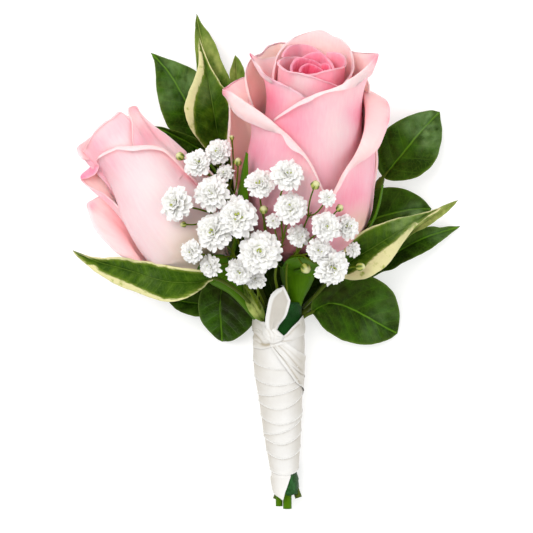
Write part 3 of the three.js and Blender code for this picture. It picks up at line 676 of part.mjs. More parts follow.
const PINK = { color: 0xeca3b4, roughness: 0.55, metalness: 0 };
const PALE_PINK = { color: 0xf0c3c4, roughness: 0.55, metalness: 0 };
const LEAF = { color: 0x2d5a1f, roughness: 0.4, metalness: 0 };
const LEAF_CREAM = { color: 0x6d8a3c, roughness: 0.4, metalness: 0 };
const STEM = { color: 0x3f6b1e, roughness: 0.5, metalness: 0 };
const BLOSSOM = { color: 0xf3f3ec, roughness: 0.7, metalness: 0 };
const TAPE = { color: 0x1d3d1b, roughness: 0.7, metalness: 0 };
const RIBBON = { color: 0xefe9df, roughness: 0.35, metalness: 0 };

// Hearts: the closed core that the petals spring from.
function heart(R, profile, grow) {
  const pts = profile.map((q) => R.pos(0, q[0], 0));
  return rod(pts, profile.map((q) => q[1]), 8, grow);
}
piece('rose_large_heart', (g) => heart(BLOOM.large, HEARTS.large, g), PINK);
piece('rose_small_heart', (g) => heart(BLOOM.small, HEARTS.small, g), PALE_PINK);

// Petals, from the inside outwards.
for (const [name, pd] of Object.entries(PETALS)) {
  const rows = petalGrid(pd);
  piece(name, (g) => sheetSolid(rows, pd.th, g), pd.rose === 'large' ? PINK : PALE_PINK);
}

// Rose stems: hip, stem and the five sepals that lie against the bloom.
function sepal(R, rows, th, grow) {
  const n = rows.length, pts = rows.map((q) => R.pos(q[0], q[1], q[2]));
  const grid = rows.map((q, j) => {
    const tan = unit(sub(pts[Math.min(j + 1, n - 1)], pts[Math.max(j - 1, 0)]));
    const out = sub(R.pos(q[0], 0, 1), R.B), w = unit(cross(tan, out));
    return [-1, 0, 1].map((u) => mad(mad(pts[j], w, -u * q[3]), out, -0.08 * q[3] * u * u));
  });
  return sheetSolid(grid, th, grow);
}
for (const k of ['large', 'small']) {
  piece('rose_' + k + '_stem', (g) => {
    let m = planRodRadii(STEMS['rose_' + k + '_stem'], 16, 8, g);
    for (const s of SEPALS[k]) m = m.add(sepal(BLOOM[k], s, 0.5, g));
    return m;
  }, STEM);
}
piece('foliage_stem_right', (g) => planRodRadii(STEMS.foliage_stem_right, 12, 5, g), STEM);
piece('foliage_stem_left', (g) => planRodRadii(STEMS.foliage_stem_left, 12, 5, g), STEM);

// Leaves, each with its own stalk.
for (const [name, ld] of Object.entries(LEAVES)) {
  const rows = leafGrid(ld, 5, 7, 0.3), pet = PETIOLES[name];
  piece(name, (g) => sheetSolid(rows, ld.th, g).add(
    planRodRadii(pet, Math.max(2, pet.length), 5, g)), /variegated/.test(name) ? LEAF_CREAM : LEAF);
}

// Blossom sprays: one branching stem with its blossoms and buds each.
for (const [name, sp] of Object.entries(SPRAYS)) {
  piece(name, (g) => {
    let m = null;
    const join = (q) => { m = m ? m.add(q) : q; };
    sp.stems.forEach((s, i) => join(planRod(s[0], s[1], s[2], i ? s[0].length : s[0].length + 2, i ? 4 : 5, g)));
    for (const h of sp.heads) {
      const [u, v, z, r] = GYP.heads[h], c = P(u, v, z), k = PLAN.S * (PLAN.D - z) / PLAN.D;
      join(ball(c, r * k, HEAD_FLAT, 7, 4, g));
    }
    for (const b of sp.buds) {
      const [u, v, z, r] = GYP.buds[b], k = PLAN.S * (PLAN.D - z) / PLAN.D;
      join(ball(P(u, v, z), r * k, 1.05, 5, 3, g));
    }
    return m;
  }, BLOSSOM);
}

// Handle: a sleeve round the stem bundle between an upper edge top(theta) and
// a lower edge low(theta), theta = 0 at the front and +90 on the right.
const AV = HANDLE.axis.map((q) => q[1]), AU = HANDLE.axis.map((q) => q[0]);
const handleRadius = (v) => interp(v, AV, HANDLE.rad);
const handleAxis = (v) => P(interp(v, AV, AU), v, handleRadius(v));
function handlePoint(v, theta, r) {
  const t = unit(sub(handleAxis(v + 2), handleAxis(v - 2)));
  const side = unit([-t[1], t[0], 0]), up = cross(t, side);
  return mad(mad(handleAxis(v), up, r * Math.cos(theta)), side, r * Math.sin(theta));
}
function sleeve(inset, wall, top, low, nv, grow) {
  const nt = 14, pos = [], tri = [];
  for (const s of [0, 1]) for (let j = 0; j < nv; j++) for (let i = 0; i < nt; i++) {
    const th = 2 * Math.PI * i / nt, a = top(th) - grow / PLAN.S, b = low(th) + grow / PLAN.S, v = a + (b - a) * j / (nv - 1);
    pos.push(handlePoint(v, th, handleRadius(v) - inset + (s ? -wall - grow : grow)));
  }
  const id = (s, j, i) => s * nv * nt + j * nt + (i + nt) % nt;
  for (let j = 0; j < nv - 1; j++) for (let i = 0; i < nt; i++) {
    tri.push(id(0, j, i), id(0, j + 1, i), id(0, j + 1, i + 1), id(0, j, i), id(0, j + 1, i + 1), id(0, j, i + 1));
    tri.push(id(1, j, i), id(1, j + 1, i + 1), id(1, j + 1, i), id(1, j, i), id(1, j, i + 1), id(1, j + 1, i + 1));
  }
  for (let i = 0; i < nt; i++) {
    tri.push(id(0, 0, i), id(0, 0, i + 1), id(1, 0, i + 1), id(0, 0, i), id(1, 0, i + 1), id(1, 0, i));
    const e = nv - 1;
    tri.push(id(0, e, i), id(1, e, i + 1), id(0, e, i + 1), id(0, e, i), id(1, e, i), id(1, e, i + 1));
  }
  return manifold(pos, tri);
}
const wrapTop = (th) => {
  if (Math.cos(th) <= 0) return HANDLE_EDGES.back;
  const x = Math.sin(th), x0 = HANDLE_EDGES.neck_side;
  const d = x < x0 ? (x0 - x) / (1 + x0) : (x - x0) / (1 - x0);
  return HANDLE_EDGES.neck + (HANDLE_EDGES.back - HANDLE_EDGES.neck) * Math.min(1, d);
};
piece('floral_tape', (g) => sleeve(WRAP_WALL + GAP + 0.06, TAPE_WALL, (th) => HANDLE_EDGES.tape_top - HANDLE_EDGES.tape_collar * Math.min(1, Math.max(0, 3 * Math.sin(th) - 0.2)),
  (th) => HANDLE_EDGES.tape_low + HANDLE_EDGES.tape_tongue * Math.min(1, Math.max(0, 2.2 * Math.sin(th) + 0.9)), 7, g), TAPE);
piece('ribbon_wrap', (g) => sleeve(0, WRAP_WALL, wrapTop, () => HANDLE_EDGES.wrap_low, 8, g), RIBBON);
piece('ribbon_knot', (g) => ball(P(...KNOT.at), KNOT.r, KNOT.flat, 10, 5, g, KNOT.axis), RIBBON);
for (const [name, ld] of Object.entries(RIBBONS)) {
  piece(name, (g) => sheetSolid(leafGrid(ld, 5, 8, 0.6), ld.th, g), RIBBON);
}

export default boutonniere;
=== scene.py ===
# Boutonniere lying on its back: looks for every piece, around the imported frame.
# Lengths in the tables and in the shape code are millimetres; meshes are made
# in metres. The plan tables hold sheet positions u, v and a height z.
import math

import bpy
import numpy as np
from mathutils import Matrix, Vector


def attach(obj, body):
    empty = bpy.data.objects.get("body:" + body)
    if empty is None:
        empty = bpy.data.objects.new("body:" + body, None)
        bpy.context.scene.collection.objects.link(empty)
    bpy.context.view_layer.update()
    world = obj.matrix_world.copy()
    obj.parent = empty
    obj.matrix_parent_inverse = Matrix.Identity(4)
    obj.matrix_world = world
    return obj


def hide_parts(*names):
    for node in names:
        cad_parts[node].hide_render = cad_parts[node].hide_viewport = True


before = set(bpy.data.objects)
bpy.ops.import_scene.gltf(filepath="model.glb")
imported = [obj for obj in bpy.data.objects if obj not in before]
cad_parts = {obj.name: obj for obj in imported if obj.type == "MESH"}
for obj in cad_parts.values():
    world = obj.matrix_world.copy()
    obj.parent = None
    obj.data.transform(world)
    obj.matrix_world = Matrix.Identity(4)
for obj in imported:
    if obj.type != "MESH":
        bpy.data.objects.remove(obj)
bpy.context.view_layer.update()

OFFSET = np.array([0.045, -0.058, 0.0])   # plan frame to part frame, mm

# Plan sheet: scale, drawing height and the sheet centre.
CAM = {"S": 0.28, "D": 900.0, "CX": -0.14, "CY": -1.54, "PX": 266.5, "PY": 266.5}

# Blooms: plan place of the foot of the bloom axis, its lean on the sheet and
# its rise above the table in degrees, and the relative radius over height.
ROSES = {
 "large": {"base": [299, 261, 10.1], "lean": 4.7, "tilt": 27.0,
  "R": [[0, 0.24], [2, 0.42], [4, 0.57], [7, 0.73], [11, 0.87], [16, 0.96], [22, 1.0], [28, 1.0], [36, 0.965], [44, 0.92], [52, 0.88], [60, 0.86], [70, 0.86]]},
 "small": {"base": [217, 268, 12.9], "lean": -37.6, "tilt": 6.0,
  "R": [[0, 0.3], [2, 0.5], [4, 0.67], [7, 0.85], [11, 0.97], [15, 1.0], [20, 0.97], [26, 0.9], [32, 0.82], [38, 0.74], [44, 0.68], [52, 0.64], [60, 0.62]]}
}

# Petals, from the inside outwards: layer radius k, claw [azimuth, azimuth,
# height, radius], the rim and, where the rim folds over, the edge of the fold.
PETALS = {
 "rose_large_petal_01": {"rose": "large", "k": 8.4, "base": [-60, 40, 34, 3.6], "th": 0.4,
  "rim": [[301.2,73,"f",-75],[302.2,68.9,"f",-95],[305.3,66.3,"f",-120],[310,65.3,"f",-150],[315.5,66.8,"b",2.2],[320.6,69.9,"f",125],[322.5,73,"f",95]]},
 "rose_large_petal_02": {"rose": "large", "k": 8.4, "base": [-20, 110, 34, 3.8], "th": 0.4,
  "rim": [[303,74,"f",-52],[309,76,"f",-20],[318,76,"f",15],[325.7,73.3,"f",52],[328.8,68.9,"f",85],[326.7,65.3,"f",108],[321.6,64.6,"f",130]]},
 "rose_large_petal_03": {"rose": "large", "k": 8.6, "base": [-90, 100, 26, 4.2], "th": 0.4,
  "rim": [[292.5,73,"f",-70],[293,65.8,"f",-95],[297,60.7,"f",-120],[303,59.3,"f",-140],[311.4,61.3,"f",-165],[318.6,65.2,"b",4.5],[324.4,70,"f",112]]},
 "rose_large_petal_04": {"rose": "large", "k": 8.8, "base": [60, 250, 26, 4.8], "th": 0.4,
  "rim": [[330,74,"f",65],[332.3,70,"f",85],[329.8,63.8,"f",115],[323.7,56.6,"b",6.4],[317.6,53.6,"b",6.6],[309.4,55.4,"b",6.8],[302,59.5,"f",218]]},
 "rose_large_petal_05": {"rose": "large", "k": 9.6, "base": [-30, 150, 5, 1.6], "th": 0.5,
  "rim": [[290,74.5,"r",8.0],[297,74.3,"r",8.1],[304,75.4,"r",8.1],[311.4,75.4,"r",8.1],[318,74.2,"r",8.1],[324.7,72.4,"r",8.2],[334,70.2,"r",8.5],[341.5,68.2,"f",68],[344.8,64.3,"f",88],[343.5,59,"f",105],[340,55.2,"f",120],[334.5,54,"f",138],[326.7,54,"f",155]]},
 "rose_large_petal_06": {"rose": "large", "k": 10.4, "base": [-135, -235, 4, 2.2], "th": 0.5,
  "rim": [[283.2,58,"f",-110],[284.9,53.6,"f",-120],[291,47.4,"f",-136],[301.2,45.9,"f",-156],[311.4,48,"b",9.4],[318.6,52.6,"b",8.4],[326.7,59.7,"f",-204],[331,66,"f",-230]]},
 "rose_large_petal_07": {"rose": "large", "k": 10.6, "base": [-110, 30, 4, 2.9], "th": 0.5,
  "rim": [[303,60,"f",-148],[295.5,58.5,"f",-134],[287,58.3,"f",-115],[281,61.2,"f",-97],[279.5,65.5,"f",-84],[284.9,70.4,"f",-62],[291,72.9,"r",8.9],[297,74.2,"r",8.9],[306,76.4,"r",9.1],[315.5,79,"r",9.4],[325,82.5,"r",9.8],[335,86.4,"r",10.2],[342,91,"r",10.6]]},
 "rose_large_petal_08": {"rose": "large", "k": 12.0, "base": [110, 250, 3, 3.3], "th": 0.5,
  "rim": [[343,85.5,"f",52],[350.5,73,"f",70],[352,60,"f",97],[348,48.5,"f",132],[340,40.8,"b",11.8],[334.5,38.8,"b",12.0],[329,36,"b",12.0],[322,32.2,"b",12.2],[313.5,32.8,"b",12.2],[301,36.2,"b",12.0],[289,43.4,"b",11.6],[280.8,52.5,"f",238],[277,62,"f",251],[274.2,74,"f",270],[273.5,86,"f",281],[274,97,"f",290]]},
 "rose_large_petal_09": {"rose": "large", "k": 13.6, "base": [-130, -10, 2, 3.2], "th": 0.55,
  "rim": [[279,58,"f",-140],[270,59,"f",-130],[262,60,"f",-120],[255.5,57.5,"f",-108],[250.9,54.8,"f",-97],[255,61.5,"f",-86],[259.5,67,"f",-76],[264.5,74.2,"f",-66],[272.7,79.8,"f",-54],[281,84,"r",13.2],[289,88.2,"r",13.2],[298,93.4,"r",13.2],[307.3,99.3,"r",13.2],[316,106,"r",13.4]],
  "lip": [[279,59,"f",-141],[269.5,60,"f",-131],[261,60.8,"f",-121],[254,57.8,"f",-109],[249.6,54.2,"f",-98],[252.5,62.5,"f",-88],[257,69.5,"f",-79],[262,77,"f",-69],[269.5,83,"f",-59],[278.5,87.5,"f",-49],[287.5,91.2,"f",-36],[297.5,95,"f",-22],[307,100,"f",-9],[316,106.8,"f",5]]},
 "rose_large_petal_10": {"rose": "large", "k": 14.7, "base": [0, 130, 1.5, 3.8], "th": 0.55,
  "rim": [[262,131,"f",-60],[272,122,"f",-46],[280.5,115,"r",14.4],[289,109.4,"r",14.2],[298,103.6,"r",14.0],[307.3,98.2,"r",13.9],[319.6,93.6,"r",14.0],[328.8,91.3,"r",14.1],[335.9,88.6,"r",14.3],[343,85.0,"r",14.6],[348.2,80.6,"r",14.9],[354.3,77,"f",47],[362.4,70.9,"f",56],[370,63.5,"f",66],[376.7,56.6,"f",76],[374.5,54.6,"f",92],[362.4,54.2,"f",118],[351.7,52.8,"f",134],[343,52,"f",146]],
  "lip": [[261,132,"f",-61],[271.4,123,"f",-47],[280.5,116.2,"r",15.6],[289.6,110.8,"r",15.5],[300,105.2,"r",15.4],[310.5,101.0,"r",15.2],[321.5,95.6,"r",15.2],[328.6,92.6,"r",15.3],[335,91.2,"r",15.7],[342,90.0,"r",16.0],[348.6,88.5,"r",16.4],[357.3,85.6,"f",55],[365.0,78.8,"f",62],[372.8,73.0,"f",69],[377.9,57.2,"f",79],[376.5,54.0,"f",93],[363,53.4,"f",118],[352,52.2,"f",134],[343,51.6,"f",146]]},
 "rose_large_petal_11": {"rose": "large", "k": 16.0, "base": [-210, -110, 1.0, 4.2], "th": 0.55,
  "rim": [[256.5,113,"f",-80],[253.3,104.6,"f",-85],[250,96.4,"f",-89],[247.2,84,"f",-94],[246.4,73,"f",-99],[249.5,63,"f",-106],[255,57.5,"f",-115],[262,54.5,"f",-124],[268.6,47.3,"f",-135],[280.8,43.7,"f",-151],[290,45,"b",17.4],[300,47,"b",17.2],[312,50,"b",16.4]],
  "lip": [[254.8,114,"f",-81],[251.6,105.4,"f",-86],[248.2,97.0,"f",-90],[245.6,84.4,"f",-94.5],[245.2,72.4,"f",-99],[248.6,62,"f",-106],[254.4,56.6,"f",-115],[261.4,53.6,"f",-124],[268.2,46.3,"f",-135],[280.7,42.9,"f",-151],[290,44.2,"b",17.9],[300,46.2,"b",17.7],[312,49.4,"b",16.9]]},
 "rose_large_petal_12": {"rose": "large", "k": 16.2, "base": [95, 190, 1.0, 4.4], "th": 0.55,
  "rim": [[371,106,"f",90],[368.2,92,"f",98],[367.0,83,"f",103],[361.5,72,"f",114],[355,62,"b",15.8],[347,54,"b",16.0],[337,50,"b",16.4],[324,48.5,"b",16.8],[313,50,"b",17.0]]},
 "rose_large_petal_13": {"rose": "large", "k": 16.7, "base": [-120, -5, 0.6, 4.6], "th": 0.6,
  "rim": [[254,79,"f",-124],[246.6,78,"f",-117],[236,82.5,"f",-107],[228.5,88,"f",-99],[224.5,90.8,"f",-91],[232.7,93.2,"f",-78],[244.5,101.5,"f",-67],[259.8,112.1,"f",-53],[272.8,122.1,"f",-40],[281,129.6,"f",-31],[286.5,134.2,"r",16.7],[291.7,139.3,"r",16.8],[299,147.2,"r",17.0],[305.8,155.8,"r",17.2],[311.6,165,"r",17.4],[316.5,174.8,"r",17.6],[320.5,184,"r",17.6],[324,194,"r",17.5],[327,205,"r",17.3]],
  "lip": [[253.4,78,"f",-124],[246,77,"f",-117],[235.2,81.6,"f",-107],[227.3,87.2,"f",-99],[222.3,92.6,"f",-92],[227.6,101.5,"f",-84],[234.8,113.4,"f",-75],[246.4,121.6,"f",-63],[262.0,128.0,"f",-49],[274.5,132.8,"f",-38],[281.3,134.9,"r",18.4],[285.2,141.4,"r",18.7],[291.8,149.0,"r",19.0],[301.4,154.8,"r",18.8],[308.6,163.6,"r",18.5],[315.0,175.2,"r",18.2],[319.6,184.6,"r",18.1],[323.2,194.4,"r",18.0],[326.2,205.4,"r",17.8]]},
 "rose_large_petal_14": {"rose": "large", "k": 18.4, "base": [5, 120, 0.3, 4.8], "th": 0.6,
  "rim": [[324,212,"r",18.6],[328.5,202,"r",18.9],[334.2,191,"r",19.1],[342.4,174.6,"r",19.2],[350.7,161.6,"r",18.8],[359,146.2,"f",53],[363.4,135.2,"f",61],[365.8,124.5,"f",69],[366.6,113,"f",76],[366.2,103,"f",84],[363.6,95.6,"f",98],[358.6,91.4,"f",122],[351,90,"b",17.2]],
  "lip": [[325.5,213.5,"r",19.4],[330.5,203.5,"r",19.8],[336.8,192.8,"r",20.2],[346.4,174.8,"r",20.8],[355.6,165.6,"f",43],[366.8,159.2,"f",55],[378.2,148.8,"f",66],[385.8,131.5,"f",74],[389.6,116.0,"f",83],[386.8,101.2,"f",96],[372.5,91.6,"f",110],[361.2,89.8,"f",129],[351,89,"b",17.8]]},
 "rose_large_petal_15": {"rose": "large", "k": 18.6, "base": [-185, -90, 0.2, 5.0], "th": 0.6,
  "rim": [[246,212,"f",-72],[242.5,202,"f",-77],[238.6,191.5,"f",-82],[235,178,"f",-86],[232.6,162,"f",-90],[230.6,148,"f",-93],[229.6,136,"f",-97],[230.6,126,"f",-100],[230.6,112,"f",-104],[231.0,99,"f",-108],[238,91,"f",-115],[249,87,"b",20.2],[262,86,"b",19.8],[280,88,"b",19.4]]},
 "rose_large_petal_16": {"rose": "large", "k": 19.2, "base": [70, 175, 0.2, 5.0], "th": 0.6,
  "rim": [[355.5,227,"f",66],[363.0,213,"f",76],[369.6,197,"f",83],[373.6,180,"f",88],[375.6,165,"f",92],[375.6,151,"f",97],[373.5,134,"f",105],[366,118,"f",124],[354,106,"b",18.6],[340,99,"b",19.2],[325,96,"b",19.6],[312,96,"b",19.8]]},
 "rose_large_petal_17": {"rose": "large", "k": 18.9, "base": [140, 230, 0.0, 5.2], "th": 0.6,
  "rim": [[352,150,"b",19.0],[345,128,"b",19.4],[333,112,"b",20.0],[317,104,"b",20.6],[299,102,"b",20.8],[281,107,"b",20.6],[266,120,"b",20.0],[258,142,"b",19.2]]},
 "rose_small_petal_01": {"rose": "small", "k": 11.3, "base": [-110, 60, 3, 2.6], "th": 0.5,
  "rim": [[84,152.5,"f",-96],[87.5,147.3,"f",-84],[91.2,140.2,"r",8.8],[97.0,131.6,"r",8.8],[104.4,124.4,"r",8.7],[112,119.4,"r",8.6],[118.6,113.6,"r",8.6],[122,113.8,"r",8.6],[127.3,118.0,"r",8.7],[131.5,123.0,"r",8.6],[136,129,"r",8.7],[140,137,"r",8.8]]},
 "rose_small_petal_02": {"rose": "small", "k": 12.0, "base": [10, 104, 2, 3.2], "th": 0.5,
  "rim": [[134,160,"r",9.0],[133.2,152,"r",9.2],[132.9,145,"r",9.5],[132.9,134,"r",9.6],[132.3,124.4,"r",9.5],[129.6,117,"r",9.4],[128.0,111.0,"r",9.3],[131,107.6,"r",9.2],[135.6,108.2,"f",70],[139.4,114.6,"f",76],[147,122.6,"f",80],[156.4,129.8,"f",83],[167,137.6,"f",85],[177,145.6,"f",87],[186,154,"f",89]]},
 "rose_small_petal_03": {"rose": "small", "k": 11.7, "base": [150, 290, 1.5, 3.6], "th": 0.5,
  "rim": [[141,124,"f",112],[134,119,"b",9.2],[124,117.5,"b",9.2],[112,121,"b",9.4],[101,128.5,"b",9.6],[91.5,138,"b",9.8],[84.5,143.5,"f",-112],[79.8,146.6,"f",-102],[79.2,150.4,"f",-97],[81.6,156.2,"f",-95],[85.4,159.8,"f",-95],[92,159.6,"f",-97]]},
 "rose_small_petal_04": {"rose": "small", "k": 13.6, "base": [-160, -60, 1.5, 3.8], "th": 0.55,
  "rim": [[124,216,"f",-74],[119.6,208.5,"f",-78],[112.5,200.6,"f",-83],[105,194.6,"f",-87],[96.7,190,"f",-90],[88.5,186,"f",-93],[81.4,178.4,"f",-97],[85.4,173.0,"f",-103],[91.4,168.0,"f",-110],[97.0,160,"f",-122],[101,152,"f",-138]],
  "lip": [[123,217,"f",-74],[118.7,209.6,"f",-78],[111.6,201.6,"f",-83],[104.4,195.6,"f",-87],[96.3,191,"f",-90],[87.6,186.8,"f",-93],[81.2,179.6,"f",-95],[88.0,177.6,"f",-90],[95.2,173.6,"f",-86],[99.0,167,"f",-88],[102,155,"f",-128]]},
 "rose_small_petal_05": {"rose": "small", "k": 13.9, "base": [-60, 60, 0.6, 4.2], "th": 0.6,
  "rim": [[112,194,"f",-106],[106,182,"f",-102],[101.5,170,"f",-93],[98.8,161,"f",-80],[101.6,155.5,"r",9.6],[107.5,151.6,"r",9.4],[113.6,148.8,"r",9.3],[117.5,146.8,"r",9.3],[124.3,146.8,"r",9.4],[133.4,146.2,"r",9.7],[145.7,146.0,"r",10.1],[154.9,146.8,"r",10.5],[164,150,"r",11.0],[173.2,157,"r",11.6],[181.5,165,"r",12.2],[189,174,"r",12.8],[201,186,"r",13.4],[213,202,"r",13.9],[221,221,"r",13.6]],
  "lip": [[111,195,"f",-107],[104.8,183,"f",-103],[99.8,171,"f",-94],[96.8,161.6,"f",-82],[100.0,157.8,"r",10.6],[106.6,154.0,"r",10.5],[113.2,150.8,"r",10.5],[117.7,149.0,"r",10.5],[124.6,150.4,"r",10.8],[133.4,151.2,"r",11.2],[145.9,149.4,"r",11.5],[154.7,149.4,"r",11.8],[163.2,152.4,"r",12.1],[172.0,159.0,"r",12.6],[180.2,166.8,"r",13.1],[187.9,175.4,"r",13.6],[200,187.2,"r",14.1],[212.2,203,"r",14.4],[220.4,222,"r",14.0]]},
 "rose_small_petal_06": {"rose": "small", "k": 13.3, "base": [60, 190, 1.0, 4.4], "th": 0.55,
  "rim": [[180,180,"r",12.2],[187,167,"f",70],[183.5,157.5,"f",84],[174,147.5,"f",97],[162,138,"f",108],[150,131,"f",120],[137,127,"b",9.4],[124,127,"b",9.6]]},
 "rose_small_petal_07": {"rose": "small", "k": 15.4, "base": [-125, -70, 0.6, 4.8], "th": 0.55,
  "rim": [[146,268,"f",-91],[138,262.6,"f",-92],[127.3,258.2,"f",-93],[118,252.4,"f",-94],[110.5,244.6,"f",-94],[101.6,235,"f",-94],[94.8,224,"f",-95],[91.0,211,"f",-98],[89.2,204,"f",-101],[95.2,199.6,"f",-107],[104.4,194.4,"f",-114],[112,190,"f",-124],[118,184,"f",-136]]},
 "rose_small_petal_08": {"rose": "small", "k": 14.2, "base": [80, 215, 0.4, 4.8], "th": 0.55,
  "rim": [[222,226,"f",62],[223.5,210,"f",74],[221,193,"f",84],[213.4,177.5,"f",90],[200.5,164.8,"f",98],[187.5,156.6,"f",107],[174,152,"f",120],[160,148,"b",13.2],[144,148,"b",13.4],[130,152,"b",13.4]]},
 "rose_small_petal_09": {"rose": "small", "k": 13.8, "base": [-225, -115, 0.4, 4.8], "th": 0.55,
  "rim": [[118,206,"f",-104],[110,192,"f",-114],[105,179,"b",11.8],[106,167,"b",12.2],[112,159,"b",12.6],[122,154,"b",12.8],[136,152,"b",12.8],[150,155,"b",12.6]]}
}

# Sepals: [azimuth, height, radius, half width] from the hip to the tip.
SEPALS = {
 "large": [
  [[-56,-1.5,4.3,2.0],[-57,2.5,10.2,2.4],[-58,7,15.6,2.8],[-58,13,19.0,3.1],[-58,20,20.0,2.9],[-59,28,19.8,1.9],[-60,36,19.2,0.5]],
  [[8,-1.5,4.3,1.8],[8,0.8,7.6,2.0],[8,3.2,11.4,1.4],[8,5.2,14.0,0.5]],
  [[80,-1.5,4.3,1.8],[80,2.5,10.2,2.3],[80,7,15.4,2.6],[80,13,18.6,2.4],[80,20,20.6,1.6],[80,27,21.2,0.5]],
  [[140,-1.5,4.3,1.8],[138,2.5,9.8,2.2],[136,7,14.9,2.4],[134,12,18.2,1.8],[133,17,20.4,0.5]],
  [[-138,-1.5,4.3,1.8],[-136,2.5,9.8,2.2],[-134,7,14.9,2.4],[-132,12,18.2,1.8],[-131,17,20.4,0.5]]],
 "small": [
  [[-92,-1.2,3.6,1.7],[-98,2.5,9.0,2.2],[-104,7,13.8,2.4],[-108,12,16.0,1.8],[-110,16,16.8,0.5]],
  [[2,-1.2,3.6,1.7],[2,1.0,7.0,1.9],[2,3.4,10.6,1.4],[2,5.6,12.8,0.5]],
  [[72,-1.2,3.6,1.7],[72,2.5,9.0,2.2],[72,7,13.8,2.4],[72,13,16.4,2.0],[72,19,17.0,1.2],[72,24,16.8,0.5]],
  [[132,-1.2,3.6,1.7],[131,2.5,8.6,2.0],[130,6.5,12.8,2.0],[129,10.5,14.8,1.4],[129,14,15.6,0.5]],
  [[-134,-1.2,3.6,1.7],[-133,2.5,8.6,2.0],[-132,6.5,12.8,2.0],[-131,10.5,14.8,1.4],[-131,14,15.6,0.5]]]
}

